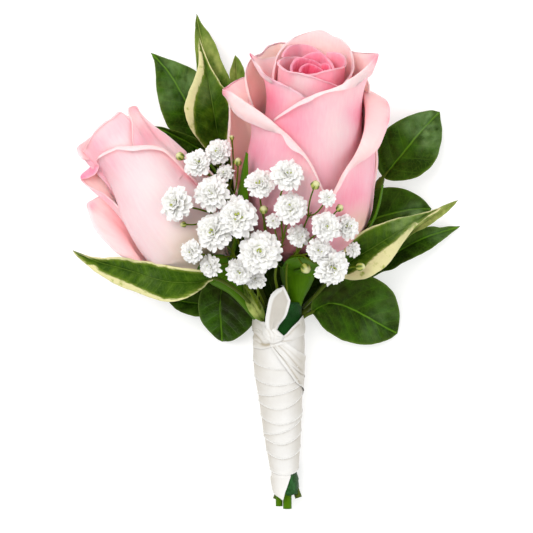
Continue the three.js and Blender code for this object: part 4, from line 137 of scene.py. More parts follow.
# Leaves: midrib M and margins L and R, margins with z above the midrib.
LEAVES = {
 "leaf_back_centre": {"th": 0.5, "camber": 0.3,
  "M": [[277,304.5,2.0],[272,290,1.0],[266,272,0.6],[258,250,0.55],[250,230,0.55]],
  "L": [[277,304.5,0],[261,306.6,0],[246.4,297,0],[237,281,0],[233,264,0],[235,247,0],[241,236,0],[250,230,0]],
  "R": [[277,304.5,0],[288,301,0],[296,288,0],[299,271,0],[294,254,0],[281,240,0],[266,232,0],[250,230,0]]},
 "leaf_back_right": {"th": 0.5, "camber": 0.3,
  "M": [[336,268,2.0],[328,276,1.1],[318,288,0.8],[308,300,0.8],[300,310,1.0]],
  "L": [[336,268,0],[341,280,0],[338,296,0],[326,308,0],[312,312,0],[300,310,0]],
  "R": [[336,268,0],[324,264,0],[311,270,0],[302,283,0],[299,297,0],[300,310,0]]},
 "leaf_back_upper": {"th": 0.5, "camber": 0.3,
  "M": [[237,238,0.6],[233,212,0.55],[226,186,0.55],[219,160,0.55],[213,143,0.55]],
  "L": [[237,238,0],[224,222,0],[213,205,0],[206,185,0],[203.5,165,0],[206.5,150,0],[213,143,0]],
  "R": [[237,238,0],[243,220,0],[243,198,0],[238,176,0],[229,156,0],[213,143,0]]},
 "leaf_upper_left": {"th": 0.5, "camber": 0.6,
  "M": [[216,158,4.0],[204,132,4.6],[184.3,98.4,4.6],[170,74.3,3.4],[157.5,59.5,1.8],[150.8,52.9,0.9]],
  "L": [[216,158,0],[202,146,1.0],[183,137,1.4],[170,128.8,1.5],[164.6,118.9,1.5],[160.2,106.4,1.4],[156.6,90.4,1.2],[155.7,74.3,1.0],[154.6,61.8,0.5],[150.8,52.9,0]],
  "R": [[216,158,0],[219,140,1.2],[215,115,1.6],[207,89,1.4],[195.9,71.6,1.2],[180.7,63.6,1.0],[162.9,57.3,0.5],[150.8,52.9,0]]},
 "leaf_variegated_upper": {"th": 0.5, "camber": 0.7,
  "M": [[221,160,9.5],[218.5,140,12.5],[211,95.7,14.0],[205.7,67,12.6],[201.8,50,10.6],[199.4,38.6,9.0]],
  "L": [[221,160,0],[211,154,1.6],[203,145.7,2.4],[195,135,2.9],[187.9,122.5,3.0],[184.7,108.2,2.9],[187.9,94.8,2.6],[194,79.6,2.0],[198.6,63.6,1.2],[198.6,48.4,0.5],[199.4,38.6,0]],
  "R": [[221,160,0],[226.5,148,1.0],[229,135,1.6],[230.4,127,1.8],[233.4,117,2.0],[232.5,108.2,2.0],[228,99.3,1.9],[225.4,89.5,1.8],[220.9,84,1.7],[211,67,1.2],[203.6,50,0.5],[199.4,38.6,0]]},
 "leaf_upper_back": {"th": 0.5, "camber": 0.5,
  "M": [[220,152,5.6],[219,138,6.4],[217.5,110,7.6],[212,80,7.6],[204,48,6.0],[198.4,26,4.0],[196.6,13.8,3.0]],
  "L": [[220,152,0],[213,135,0.8],[205.5,108,1.2],[200,85,1.2],[197.2,69.8,1.1],[196.1,56.4,0.9],[194.9,41.3,0.7],[195.5,23.4,0.3],[196.6,13.8,0]],
  "R": [[220,152,0],[224,136,0.8],[229,115,1.2],[231.5,95,1.3],[229.8,78.8,1.2],[227,72.5,1.1],[221.8,61.8,0.9],[216.4,46.6,0.7],[209.3,34,0.5],[202,24.4,0.3],[196.6,13.8,0]]},
 "leaf_bud_top": {"th": 0.45, "camber": 0.4,
  "M": [[238.5,104,7.0],[238,92,8.2],[236.8,76,8.8],[235.4,55.2,8.0]],
  "L": [[238.5,104,0],[233.5,92,0.5],[230.7,83,0.7],[229.8,72.5,0.8],[232.6,63,0.5],[235.4,55.2,0]],
  "R": [[238.5,104,0],[244.5,94,0.5],[246.4,82,0.7],[244.2,70.7,0.7],[240,61,0.4],[235.4,55.2,0]]},
 "leaf_dark_left": {"th": 0.5, "camber": 0.4,
  "M": [[218,166,5.4],[203,152,7.0],[185,141,7.8],[166,131.5,8.0],[149.5,126.3,8.2]],
  "L": [[218,166,0],[205,163.4,0.4],[187,156,0.6],[169,143,0.6],[157.4,132.6,0.3],[149.5,126.3,0]],
  "R": [[218,166,0],[213,153,0.5],[205.6,144.4,0.8],[194.4,137.6,0.9],[182,132.6,0.9],[171.8,129.6,0.8],[162.9,127,0.5],[149.5,126.3,0]]},
 "leaf_upper_right": {"th": 0.5, "camber": 0.5,
  "M": [[383.2,177,6.6],[401,155.7,7.0],[417.1,135.6,5.2],[430,121.5,2.6],[439.6,111.9,1.0]],
  "L": [[383.2,177,0],[378,169,0.7],[376.8,155,1.2],[380,141,1.4],[386.7,129.3,1.4],[396.4,122,1.2],[407.4,116.5,1.0],[420.6,112.2,0.7],[431.5,110.6,0.4],[439.6,111.9,0]],
  "R": [[383.2,177,0],[387.2,179.4,0.3],[394.7,180.6,0.5],[404.5,180.1,0.8],[416,177.2,0.9],[426.3,170.9,1.0],[434.4,161.7,1.0],[439.6,149,1.0],[441.8,134.5,0.8],[441,122,0.5],[439.6,111.9,0]]},
 "leaf_middle_right": {"th": 0.5, "camber": 0.5,
  "M": [[351,236,4.6],[375,219,5.2],[401,211.4,4.6],[418,208.8,3.4],[431.4,208.9,2.4]],
  "L": [[351,236,0],[356,214,0.7],[364,198,1.0],[375.8,189.6,1.2],[385,187.6,1.2],[394.2,187.4,1.1],[405.7,189.6,1.0],[416,194.2,0.8],[424.4,200.4,0.5],[431.4,208.9,0]],
  "R": [[351,236,0],[366,244,0.6],[384,243,1.0],[402,236,1.0],[417,226,0.8],[426,217,0.4],[431.4,208.9,0]]},
 "leaf_variegated_right": {"th": 0.5, "camber": 0.6,
  "M": [[338,272,18.0],[352.8,259.5,20.5],[371.2,248.6,21.2],[391.9,235.6,18.8],[412.6,222.5,14.6],[429.8,213.0,11.0],[441.5,207.4,9.0]],
  "L": [[338,272,0],[343,254,1.8],[349,242,2.4],[356.9,235.0,2.6],[371.2,227.0,2.6],[385,222.3,2.4],[397.6,218.3,2.0],[414.9,214.8,1.3],[428.6,211.3,0.6],[441.5,207.4,0]],
  "R": [[338,272,0],[341,277,0.8],[348.2,279.4,1.6],[359.7,279.6,2.2],[371.2,276.1,2.5],[382.7,268.6,2.6],[391.9,259.4,2.5],[401,245.6,2.2],[410.3,232.9,1.8],[417.2,224.9,1.4],[426.3,217.9,0.9],[436.7,211.9,0.3],[441.5,207.4,0]]},
 "leaf_right_behind": {"th": 0.5, "camber": 0.4,
  "M": [[366,262,7.2],[390,247,8.4],[412,231.5,8.2],[434,216,6.6],[448,206.5,5.4],[458.0,200.3,4.6]],
  "L": [[366,262,0],[376,246,0.6],[392,234,0.8],[410,222,0.8],[428,213,0.6],[440,207.3,0.4],[450,203,0.2],[458.0,200.3,0]],
  "R": [[366,262,0],[382,258,0.4],[398,247,0.6],[412.6,234.2,0.7],[429.8,224.9,0.7],[444.7,213.4,0.4],[453.6,205.4,0.2],[458.0,200.3,0]]},
 "leaf_right_lower": {"th": 0.5, "camber": 0.4,
  "M": [[352,286,4.4],[372,269,5.2],[395,253.6,5.4],[421.8,239.0,4.4],[441.3,232.0,2.6],[459.9,226.4,1.0]],
  "L": [[352,286,0],[366,262,1.0],[384,247,1.4],[404,236,1.4],[420,229,1.1],[432,226.8,0.9],[440.7,227.5,0.7],[451.6,226.3,0.3],[459.9,226.4,0]],
  "R": [[352,286,0],[366,281,0.4],[381.6,272.1,1.0],[391.9,269.4,1.3],[403.4,262.7,1.5],[417.2,255.8,1.4],[430.9,248.9,1.1],[442.4,239.9,0.7],[452,232.4,0.3],[459.9,226.4,0]]},
 "leaf_lower_right": {"th": 0.5, "camber": 0.5,
  "M": [[311.4,312.6,8.6],[321.8,306,8.8],[332,303.4,8.2],[345.9,306.4,6.8],[364.3,315.5,4.8],[382.7,325.9,2.4],[397.2,333.4,0.8]],
  "L": [[311.4,312.6,0],[311.6,304,0.6],[315.5,295.5,1.0],[323,286.6,1.3],[335,278.5,1.4],[350,274.4,1.5],[364,274.8,1.4],[375.8,278.6,1.3],[385,284.3,1.2],[391.9,291.2,1.1],[396.7,300.6,0.9],[399.6,314.4,0.7],[399.0,323.6,0.4],[397.2,333.4,0]],
  "R": [[311.4,312.6,0],[313.6,314.5,0.2],[317.0,319.2,0.4],[324.0,328.4,0.7],[336.8,337.0,0.9],[345.9,341.0,1.0],[357.4,343.9,1.0],[368.9,344.5,0.9],[382.7,341.6,0.6],[391.9,337.6,0.3],[397.2,333.4,0]]},
 "leaf_variegated_left": {"th": 0.5, "camber": 0.6,
  "M": [[214,278,22.6],[202,281.4,23.6],[190,282.8,23.4],[168.4,281.6,21.4],[148.9,277.0,18.2],[135.9,272.4,15.6],[114.2,266.2,11.6],[95.8,260.8,8.6],[72.8,250.4,6.2]],
  "R": [[214,278,0],[208,272.4,0.8],[198.8,269.9,1.4],[179.3,267.7,1.8],[164.1,265.0,1.8],[148.9,261.8,1.6],[135.9,260.7,1.4],[129.4,258.5,1.2],[116.4,257.4,0.9],[101.2,258.0,0.5],[81.7,255.6,0.2],[72.8,250.4,0]],
  "L": [[214,278,0],[208.5,281.6,0.5],[200.9,289.8,1.1],[187.9,297.4,1.8],[174.9,301.2,2.1],[164.1,301.2,2.1],[152.1,298.0,2.0],[135.9,292.0,1.8],[118.5,285.5,1.4],[103.4,276.8,1.0],[88.2,266.0,0.5],[76.3,255.2,0.1],[72.8,250.4,0]]},
 "leaf_left_under": {"th": 0.5, "camber": 0.4,
  "M": [[236,298,6.6],[218,303,6.6],[200,303.6,5.8],[182,301,4.6],[165,296,3.6]],
  "L": [[236,298,0],[226,309,0.5],[213,315.4,0.8],[199.9,316.4,0.9],[193.3,315.8,0.9],[182.5,312.6,0.8],[173.8,307.2,0.5],[165,296,0]],
  "R": [[236,298,0],[224,292,0.5],[208,288.6,0.8],[192,287.6,0.7],[178,290,0.4],[165,296,0]]},
 "leaf_lower_left": {"th": 0.5, "camber": 0.5,
  "M": [[225,276,10.6],[221.4,290,11.0],[220.2,305.6,9.4],[220.7,320,6.0],[222.2,341.4,1.2]],
  "R": [[225,276,0],[213,279.4,0.8],[206,284.4,1.1],[201.6,290.4,1.2],[198.7,299.3,1.2],[198.4,309.1,1.1],[200.8,318.9,1.0],[205.8,327.4,0.8],[212.3,334.5,0.5],[217.6,339.2,0.2],[222.2,341.4,0]],
  "L": [[225,276,0],[238,284,0.8],[247,294,1.2],[252.0,304,1.3],[254.2,314,1.3],[253.5,320.4,1.2],[251.0,326,1.0],[244.8,332.4,0.7],[237.6,337.3,0.4],[230.5,340.6,0.2],[222.2,341.4,0]]},
 "leaf_small_centre": {"th": 0.5, "camber": 0.4,
  "M": [[263.5,322,12.6],[256.6,310,14.4],[249.6,297,15.2],[243.6,282.6,14.6]],
  "L": [[263.5,322,0],[254.0,317,0.3],[247.4,307,0.5],[244.6,296.5,0.5],[243.6,282.6,0]],
  "R": [[263.5,322,0],[264.4,313,0.3],[260.0,302,0.5],[252.6,291,0.4],[243.6,282.6,0]]}
}

# Leaf stalks: [[u, v, z], radius].
PETIOLES = {
 "leaf_back_centre": [[[277,303,2.0],0.5],[[278.5,310,2.4],0.5],[[279.5,316,2.7],0.45]],
 "leaf_back_right": [[[336,268,2.0],0.5],[[338.3,264.6,2.0],0.45]],
 "leaf_back_upper": [[[237,238,0.6],0.45],[[239,243,0.75],0.42]],
 "leaf_upper_left": [[[216,158,4.0],0.5],[[217.2,163,2.6],0.45]],
 "leaf_variegated_upper": [[[221,160,9.5],0.5],[[223,170,7.0],0.5],[[224.4,178,4.6],0.45]],
 "leaf_upper_back": [[[220,152,5.6],0.5],[[221.6,160,5.4],0.45],[[221.8,167,4.8],0.42]],
 "leaf_bud_top": [[[238.5,104,7.0],0.4],[[238,126,5.0],0.4],[[232,152,3.6],0.4],[[227.6,174,3.6],0.4]],
 "leaf_dark_left": [[[218,166,5.4],0.5],[[222,173,3.8],0.45]],
 "leaf_upper_right": [[[383.2,177,6.6],0.6],[[380.8,180,6.6],0.55]],
 "leaf_middle_right": [[[351,236,4.6],0.55],[[353.4,240.6,3.9],0.5]],
 "leaf_variegated_right": [[[338,272,18.0],0.6],[[326,284,14.6],0.55],[[312,299,9.6],0.55],[[303.4,308,6.4],0.5]],
 "leaf_right_behind": [[[366,262,7.2],0.55],[[352,270,5.4],0.5],[[341,274,4.0],0.5]],
 "leaf_right_lower": [[[352,286,4.4],0.55],[[338,288,3.8],0.5],[[329.4,286.4,3.6],0.5]],
 "leaf_lower_right": [[[311.4,312.6,8.6],0.65],[[306.8,314.8,8.6],0.6],[[300.6,320,7.8],0.6],[[295.6,330,7.0],0.55]],
 "leaf_variegated_left": [[[214,278,22.6],0.6],[[226,283,20.6],0.6],[[241,294,17.6],0.6],[[255,309,13.4],0.55],[[262.6,320,11.6],0.5]],
 "leaf_left_under": [[[236,298,6.6],0.6],[[246,301,5.2],0.55],[[256,304,4.4],0.5],[[262.6,312,4.0],0.5]],
 "leaf_lower_left": [[[225,276,10.6],0.6],[[229,268,9.0],0.6],[[236,264,6.6],0.55],[[246,272,4.6],0.5]],
 "leaf_small_centre": [[[263.5,322,12.6],0.5],[[266,330,11.6],0.45]]
}

# Blossoms and buds: [u, v, z, radius on the sheet].
GYP = {
 "heads": {
  "F01": [176,203.5,33.5,17.6], "F02": [197.4,163,31.5,14.2], "F03": [218,152,29.5,13.4], "F04": [212,192.8,34.5,17.2], "F05": [225,173,30,9.2],
  "F06": [238,216.5,37,20], "F07": [213.5,231.8,34.5,18.4], "F08": [192,251.7,32,12.2], "F09": [210.4,266,29.5,11.8],
  "F10": [260,183.6,39,15.2], "F11": [287.7,174.4,45.5,16.2], "F12": [290.8,207.3,42,16.2], "F13": [260,252.5,36,20.5], "F14": [239.5,271.6,29.5,13], "F15": [255.6,279,25.5,10.6],
  "F16": [273,221,36.5,7.4], "F17": [298.4,235.6,35,11.4], "F18": [327.5,198,44,9.2], "F19": [326,226.4,41,14.8], "F20": [347.4,227,35.5,13.2],
  "F21": [319,250,36.5,12.6], "F22": [332,267.8,35,17.8], "F23": [353.5,250,31,7.8]},
 "buds": {
  "B01": [180,156.3,29,4.5], "B02": [238,161.8,31,4.2], "B03": [315.3,185,45,4.9], "B04": [263.7,209.6,36,4.6], "B05": [339.7,208,41,4.0],
  "B06": [305.8,268.5,31,5.4], "B07": [360.4,266.7,28,4.4], "B08": [183.3,224.4,30,3.2], "B09": [231.8,137.7,28,2.6]}
}

# Sprays: which blossoms and buds, and their stems as [points, first radius,
# last radius].
SPRAYS = {
 "gypsophila_spray_upper": {"heads": ["F01","F02","F03","F04","F05"], "buds": ["B01","B02","B08","B09"],
  "stems": [
   [[[270,336,9.0],[268,322,10.6],[262,300,14.6],[251,276,19.0],[241,250,22.6],[232,224,25.0],[228,206,26.4]],0.55,0.42],
   [[[228,206,26.4],[228.5,192,27.2],[225.6,176,28.6]],0.38,0.36],
   [[[230,215,25.8],[223,205,29.4],[213,195,33.2]],0.38,0.36],
   [[[232,222,25.2],[216,214,27.0],[197,209,29.2],[178,204,32.6]],0.38,0.36],
   [[[229,208,26.2],[222,190,26.6],[212,177,28.2],[199,164.5,30.8]],0.38,0.36],
   [[[228.3,200,26.6],[226,182,26.4],[221,164,27.4],[218.4,154,28.6]],0.36,0.34],
   [[[212,177,28.2],[198,170,28.0],[186,160.4,28.4],[181,157,28.8]],0.32,0.3],
   [[[229,204,26.5],[235,190,28.4],[237.4,176,29.8],[238,164,30.8]],0.32,0.3],
   [[[228.6,194,27.0],[232.6,172,27.0],[232.8,152,27.6],[232,140,28.0]],0.32,0.3],
   [[[216,214,27.0],[205,220,28.4],[195,224.4,29.6],[185,224.6,30.0]],0.32,0.3]]},
 "gypsophila_spray_lower": {"heads": ["F06","F07","F08","F09","F13","F14","F15"], "buds": [],
  "stems": [
   [[[272,338,11.4],[266,320,13.8],[257,303,16.8],[247,286,19.6],[239,268,22.4],[232,250,25.2]],0.6,0.42],
   [[[232,250,25.2],[235,236,29.0],[237.6,220,34.6]],0.38,0.36],
   [[[232,250,25.2],[224,243,28.4],[215,234,32.4]],0.38,0.36],
   [[[234,256,24.4],[216,257,27.0],[195,252.4,30.4]],0.36,0.34],
   [[[236,262,23.4],[224,264,25.4],[212,265.6,28.0]],0.36,0.34],
   [[[247,286,19.6],[243,279,23.0],[240,273,27.6]],0.36,0.34],
   [[[257,303,16.8],[258,291,20.4],[256,281,24.0]],0.36,0.34],
   [[[250,291,18.8],[257,274,25.4],[260,256,33.6]],0.42,0.38]]},
 "gypsophila_spray_centre": {"heads": ["F10","F11","F12","F16"], "buds": ["B04"],
  "stems": [
   [[[275.5,340,12.4],[276.5,318,15.6],[277,300,17.4],[276.6,287,19.0],[275,276,21.4],[277,262,25.4],[281,246,29.6]],0.66,0.44],
   [[[281,246,29.6],[284,236,32.4],[287.4,222,37.0],[290.4,210,40.6]],0.4,0.36],
   [[[283,239,31.4],[281,222,35.0],[279.6,200,40.0],[286.6,179,44.2]],0.38,0.36],
   [[[280,249,28.8],[277.4,238,30.6],[275,229,33.4],[273.2,222,35.8]],0.36,0.34],
   [[[277,262,25.4],[268,238,28.8],[261,206,33.8],[260,187,37.6]],0.38,0.36],
   [[[272,250,27.2],[265,232,29.6],[264,220,32.8],[263.7,211.6,35.4]],0.32,0.3]]},
 "gypsophila_spray_right": {"heads": ["F17","F18","F19","F20","F21","F22","F23"], "buds": ["B03","B05","B06","B07"],
  "stems": [
   [[[281.5,340,10.6],[285.0,322,13.0],[287.0,300,16.6],[286.4,280,19.6],[287,266,23.4],[290,258,26.0],[296,255.3,27.8]],0.55,0.42],
   [[[296,255.3,27.8],[297.4,247,30.3],[298.3,238,33.6]],0.38,0.36],
   [[[296,255.3,27.8],[301,247.5,30.3],[309,240.5,34.0],[322,229,39.4]],0.38,0.36],
   [[[296,255.3,27.8],[299.4,260.5,28.4],[304.4,266.6,30.0]],0.34,0.3],
   [[[296,255.3,27.8],[304,254.6,29.8],[316,251,35.0]],0.38,0.36],
   [[[302,255,29.3],[313,262,29.8],[328,267,33.6]],0.38,0.36],
   [[[313,262,29.8],[328,258.5,28.6],[340,255,28.4],[351,250.6,30.4]],0.34,0.32],
   [[[328,267,31.6],[342,268.2,28.8],[356,266.8,27.6]],0.32,0.3],
   [[[301,247.5,30.3],[303.6,230,34.3],[308.6,215.7,37.4]],0.38,0.34],
   [[[308.6,215.7,37.4],[308.8,205.7,40.2],[312.8,191,43.6],[314.8,187,44.6]],0.34,0.3],
   [[[308.6,215.7,37.4],[316,213.4,38.8],[322.6,206,41.2],[326.6,199.6,43.2]],0.34,0.32],
   [[[309,240.5,33.8],[326,238,34.0],[344,229.4,34.4]],0.36,0.34],
   [[[322,229,39.2],[328,219,38.6],[334,213.6,39.6],[338.6,209.2,40.6]],0.32,0.3]]}
}

# Stems: [[u, v, z], radius] from the flowers to the cut end.
STEMS = {
 "rose_large_stem": [[[298.7,264.2,9.75],4.9],[[298.4,268,9.5],5.2],[[297.4,278,9.0],4.7],[[297.0,288,8.6],3.6],[[296.6,297,8.4],2.15],[[295.6,306,8.0],1.5],[[292.0,320,7.6],1.6],[[287.4,340,7.6],1.75],[[284.6,375,7.4],1.65],[[283.6,412,7.4],1.5],[[284.8,449,6.3],1.25],[[286.2,468,5.6],1.2],[[287.0,480,5.3],1.2],[[287.4,508.6,4.9],1.2]],
 "rose_small_stem": [[[218.9,270.6,12.95],3.9],[[221.0,273.2,12.95],4.2],[[226.4,278.4,12.8],3.6],[[234.6,286.6,12.4],2.6],[[243.4,297.4,11.6],2.0],[[252.4,309,10.4],1.75],[[261.5,322,8.6],1.55],[[269.6,345,7.2],1.45],[[274.0,380,7.0],1.3],[[275.4,412,6.0],1.15],[[277.4,449,5.0],1.0],[[278.6,468,4.4],0.98],[[279.0,480,4.2],0.98],[[279.2,506,3.8],0.98]],
 "foliage_stem_right": [[[382,178.6,6.3],0.8],[[378.6,185,5.2],1.25],[[371.5,197,3.8],0.8],[[358,227,2.6],0.9],[[343,262,2.6],1.0],[[320,292,3.6],1.0],[[301,316,4.4],1.0],[[291.8,345,4.0],0.95],[[289.2,380,3.8],0.95],[[288.8,412,4.4],0.9],[[290.2,449,3.8],0.86],[[291.4,468,4.0],0.84],[[293.4,482,4.4],0.9],[[298.6,497.6,4.6],0.98]],
 "foliage_stem_left": [[[218.6,162,3.6],0.6],[[227,184,2.3],0.65],[[236,214,2.0],0.7],[[247,250,2.2],0.75],[[258,284,2.6],0.75],[[268.5,312,3.0],0.75],[[274.6,345,2.9],0.7],[[279.0,380,3.0],0.65],[[281.4,412,2.8],0.62],[[283.4,449,2.6],0.58],[[284.2,468,2.35],0.55],[[281.6,480,2.6],0.58],[[275.0,499,3.0],0.62]]
}

# Bound handle: axis on the sheet and outer radius along it.
HANDLE = {"axis": [[278.6,316,0],[279.0,330,0],[278.8,345,0],[278.6,360,0],[279.0,375,0],[280.4,395,0],[281.4,412,0],[282.4,430,0],[283.4,449,0],[284.3,468,0],[285.0,480,0],[285.6,495,0]],
 "rad": [7.14,7.3,7.3,7.05,6.75,6.15,5.75,5.35,4.9,4.25,4.15,4.1]}

# Where the sleeves of the handle begin and end on the sheet.
HANDLE_EDGES = {"back": 316.0, "neck": 335.5, "neck_side": 0.2, "wrap_low": 472.0, "tape_top": 307.5, "tape_low": 477.0, "tape_tongue": 17.0, "tape_collar": 5.0}

# Ribbon knot and the free ribbon ends.
KNOT = {"at": [270.3, 342.6, 14.9], "r": 3.7, "flat": 0.36, "axis": [-0.32, 0.1, 0.94]}
RIBBONS = {
 "ribbon_end_upper": {"th": 0.4, "camber": 0.5,
  "M": [[271.5,331,16.4],[273.0,320,18.2],[276.0,304,20.6],[283.7,286.7,22.4]],
  "L": [[266.4,330,-0.5],[265.3,321.7,-0.6],[267,310.2,-0.6],[269.9,297.6,-0.4],[275,290.7,-0.2],[283.7,286.7,0]],
  "R": [[276.8,331,-0.3],[279.4,325,-0.6],[286,316,-0.7],[290,302.2,-0.6],[289.4,298.7,-0.4],[286.6,292,-0.2],[283.7,286.7,0]]},
 "ribbon_tail": {"th": 0.4, "camber": 0.7,
  "M": [[279.6,474,8.3],[280.3,482,8.2],[281.5,491,8.0],[282.5,498.9,7.8]],
  "R": [[269.8,473,-0.9],[271.1,484.2,-0.9],[272.2,489.1,-0.7],[274.4,492.9,-0.5],[278.5,496,-0.3],[282.5,498.9,0]],
  "L": [[290.7,474.5,-0.9],[288,483.1,-0.8],[284.7,491.3,-0.5],[283.4,495,-0.2],[282.5,498.9,0]]}
}


# --------------------------------------------------------------- plan and noise
S, D, CX, CY, PX, PY = (CAM[k] for k in ("S", "D", "CX", "CY", "PX", "PY"))


def P(u, v, z):
    k = S * (D - z) / D
    return np.array([CX + (u - PX) * k, CY - (v - PY) * k, z])


def unproject(p):
    k = S * (D - p[..., 2]) / D
    return np.stack([PX + (p[..., 0] - CX) / k, PY - (p[..., 1] - CY) / k], -1)


def _hash(ix, iy, iz, seed):
    n = (ix * 73856093) ^ (iy * 19349663) ^ (iz * 83492791) ^ (seed * 40503 + 977)
    n = ((n ^ (n >> 13)) * 1274126177) & 0x7FFFFFFF
    n = ((n ^ (n >> 15)) * 668265263) & 0x7FFFFFFF
    return n / float(0x7FFFFFFF)


def vnoise(x, y=None, z=None, seed=0):
    """Smooth noise from -1 to 1."""
    x = np.asarray(x, float)
    y = np.zeros_like(x) + 0.37 if y is None else np.asarray(y, float) + 0 * x
    z = np.zeros_like(x) + 0.71 if z is None else np.asarray(z, float) + 0 * x
    q = [np.floor(c).astype(np.int64) for c in (x, y, z)]
    f = [c - i for c, i in zip((x, y, z), q)]
    f = [c * c * (3 - 2 * c) for c in f]
    out = 0
    for a in (0, 1):
        for b in (0, 1):
            for c in (0, 1):
                w = (f[0] if a else 1 - f[0]) * (f[1] if b else 1 - f[1]) * (f[2] if c else 1 - f[2])
                out = out + w * _hash(q[0] + a, q[1] + b, q[2] + c, seed)
    return out * 2 - 1


def fbm(x, y=None, z=None, seed=0, octaves=3):
    out, amp, k = 0, 1.0, 1.0
    for o in range(octaves):
        out = out + amp * vnoise(x * k, None if y is None else y * k, None if z is None else z * k, seed + 31 * o)
        amp *= 0.5
        k *= 2.03
    return out / 1.75


def sstep(x, a=0.0, b=1.0):
    x = np.clip((x - a) / (b - a), 0, 1)
    return x * x * (3 - 2 * x)


def unit(v):
    return v / np.maximum(np.linalg.norm(v, axis=-1, keepdims=True), 1e-12)


def crs(pts, ts):
    """Uniform Catmull-Rom spline at parameters ts from 0 to 1."""
    pts = np.asarray(pts, float)
    ts = np.asarray(ts, float)
    n = len(pts)
    ext = np.concatenate([[2 * pts[0] - pts[1]], pts, [2 * pts[-1] - pts[-2]]])
    x = np.clip(ts, 0, 1) * (n - 1)
    i = np.minimum(x.astype(int), n - 2)
    u = (x - i).reshape((-1,) + (1,) * (pts.ndim - 1))
    p0, p1, p2, p3 = ext[i], ext[i + 1], ext[i + 2], ext[i + 3]
    return 0.5 * (2 * p1 + (p2 - p0) * u + (2 * p0 - 5 * p1 + 4 * p2 - p3) * u * u + (3 * p1 - p0 - 3 * p2 + p3) * u ** 3)


def arc_params(pts, n, dims=None, dens=24, lo=0.0, hi=1.0):
    """Spline parameters of n points equally spaced along the spline."""
    t = np.linspace(lo, hi, (len(pts) - 1) * dens + 1)
    q = crs(pts, t)
    if dims:
        q = q[:, :dims]
    d = np.concatenate([[0], np.cumsum(np.linalg.norm(np.diff(q, axis=0), axis=1))])
    return np.interp(np.linspace(0, d[-1], n), d, t)


def grid_normals(G):
    du = np.gradient(G, axis=1)
    dv = np.gradient(G, axis=0)
    return unit(np.cross(du, dv))


# -------------------------------------------------------------------- mesh kit
def new_mesh(name, verts, faces, attrs=None, uv=None, smooth=True, material=None, index=None):
    """A mesh object from millimetre points in the plan frame."""
    v = (np.asarray(verts, float) + OFFSET) * 0.001
    me = bpy.data.meshes.new(name)
    me.from_pydata(v.tolist(), [], [tuple(f) for f in faces])
    me.update()
    if smooth:
        me.polygons.foreach_set("use_smooth", [True] * len(me.polygons))
    for key, val in (attrs or {}).items():
        a = me.attributes.new(key, "FLOAT", "POINT")
        a.data.foreach_set("value", np.asarray(val, np.float32).ravel())
    if uv is not None:
        layer = me.uv_layers.new(name="surf")
        li = np.empty(len(me.loops), np.int32)
        me.loops.foreach_get("vertex_index", li)
        layer.data.foreach_set("uv", np.asarray(uv, np.float32)[li].ravel())
    o = bpy.data.objects.new(name, me)
    bpy.context.scene.collection.objects.link(o)
    for m in (material if isinstance(material, (list, tuple)) else [material]):
        if m is not None:
            me.materials.append(m)
    if index is not None:
        me.polygons.foreach_set("material_index", np.asarray(index, np.int32))
    me.update()
    return o


class Parts:
    """Collects vertices, faces and attributes of one piece."""

    def __init__(self, keys=()):
        self.v, self.f, self.uv, self.mi, self.n = [], [], [], [], 0
        self.a = {k: [] for k in keys}

    def add(self, verts, faces, uv=None, mat=0, **attrs):
        verts = np.asarray(verts, float).reshape(-1, 3)
        m = len(verts)
        self.v.append(verts)
        if isinstance(faces, np.ndarray):
            self.f.extend((faces + self.n).tolist())
        else:
            self.f.extend([[i + self.n for i in f] for f in faces])
        self.mi.extend([mat] * len(faces))
        self.uv.append(np.zeros((m, 2)) if uv is None else np.asarray(uv, float).reshape(-1, 2))
        for k in self.a:
            val = attrs.get(k, 0.0)
            self.a[k].append(np.broadcast_to(np.asarray(val, float).ravel() if np.ndim(val) else float(val), (m,)))
        self.n += m

    def make(self, name, material, smooth=True):
        return new_mesh(name, np.concatenate(self.v), self.f,
                        {k: np.concatenate(v) for k, v in self.a.items()},
                        np.concatenate(self.uv), smooth, material, self.mi)


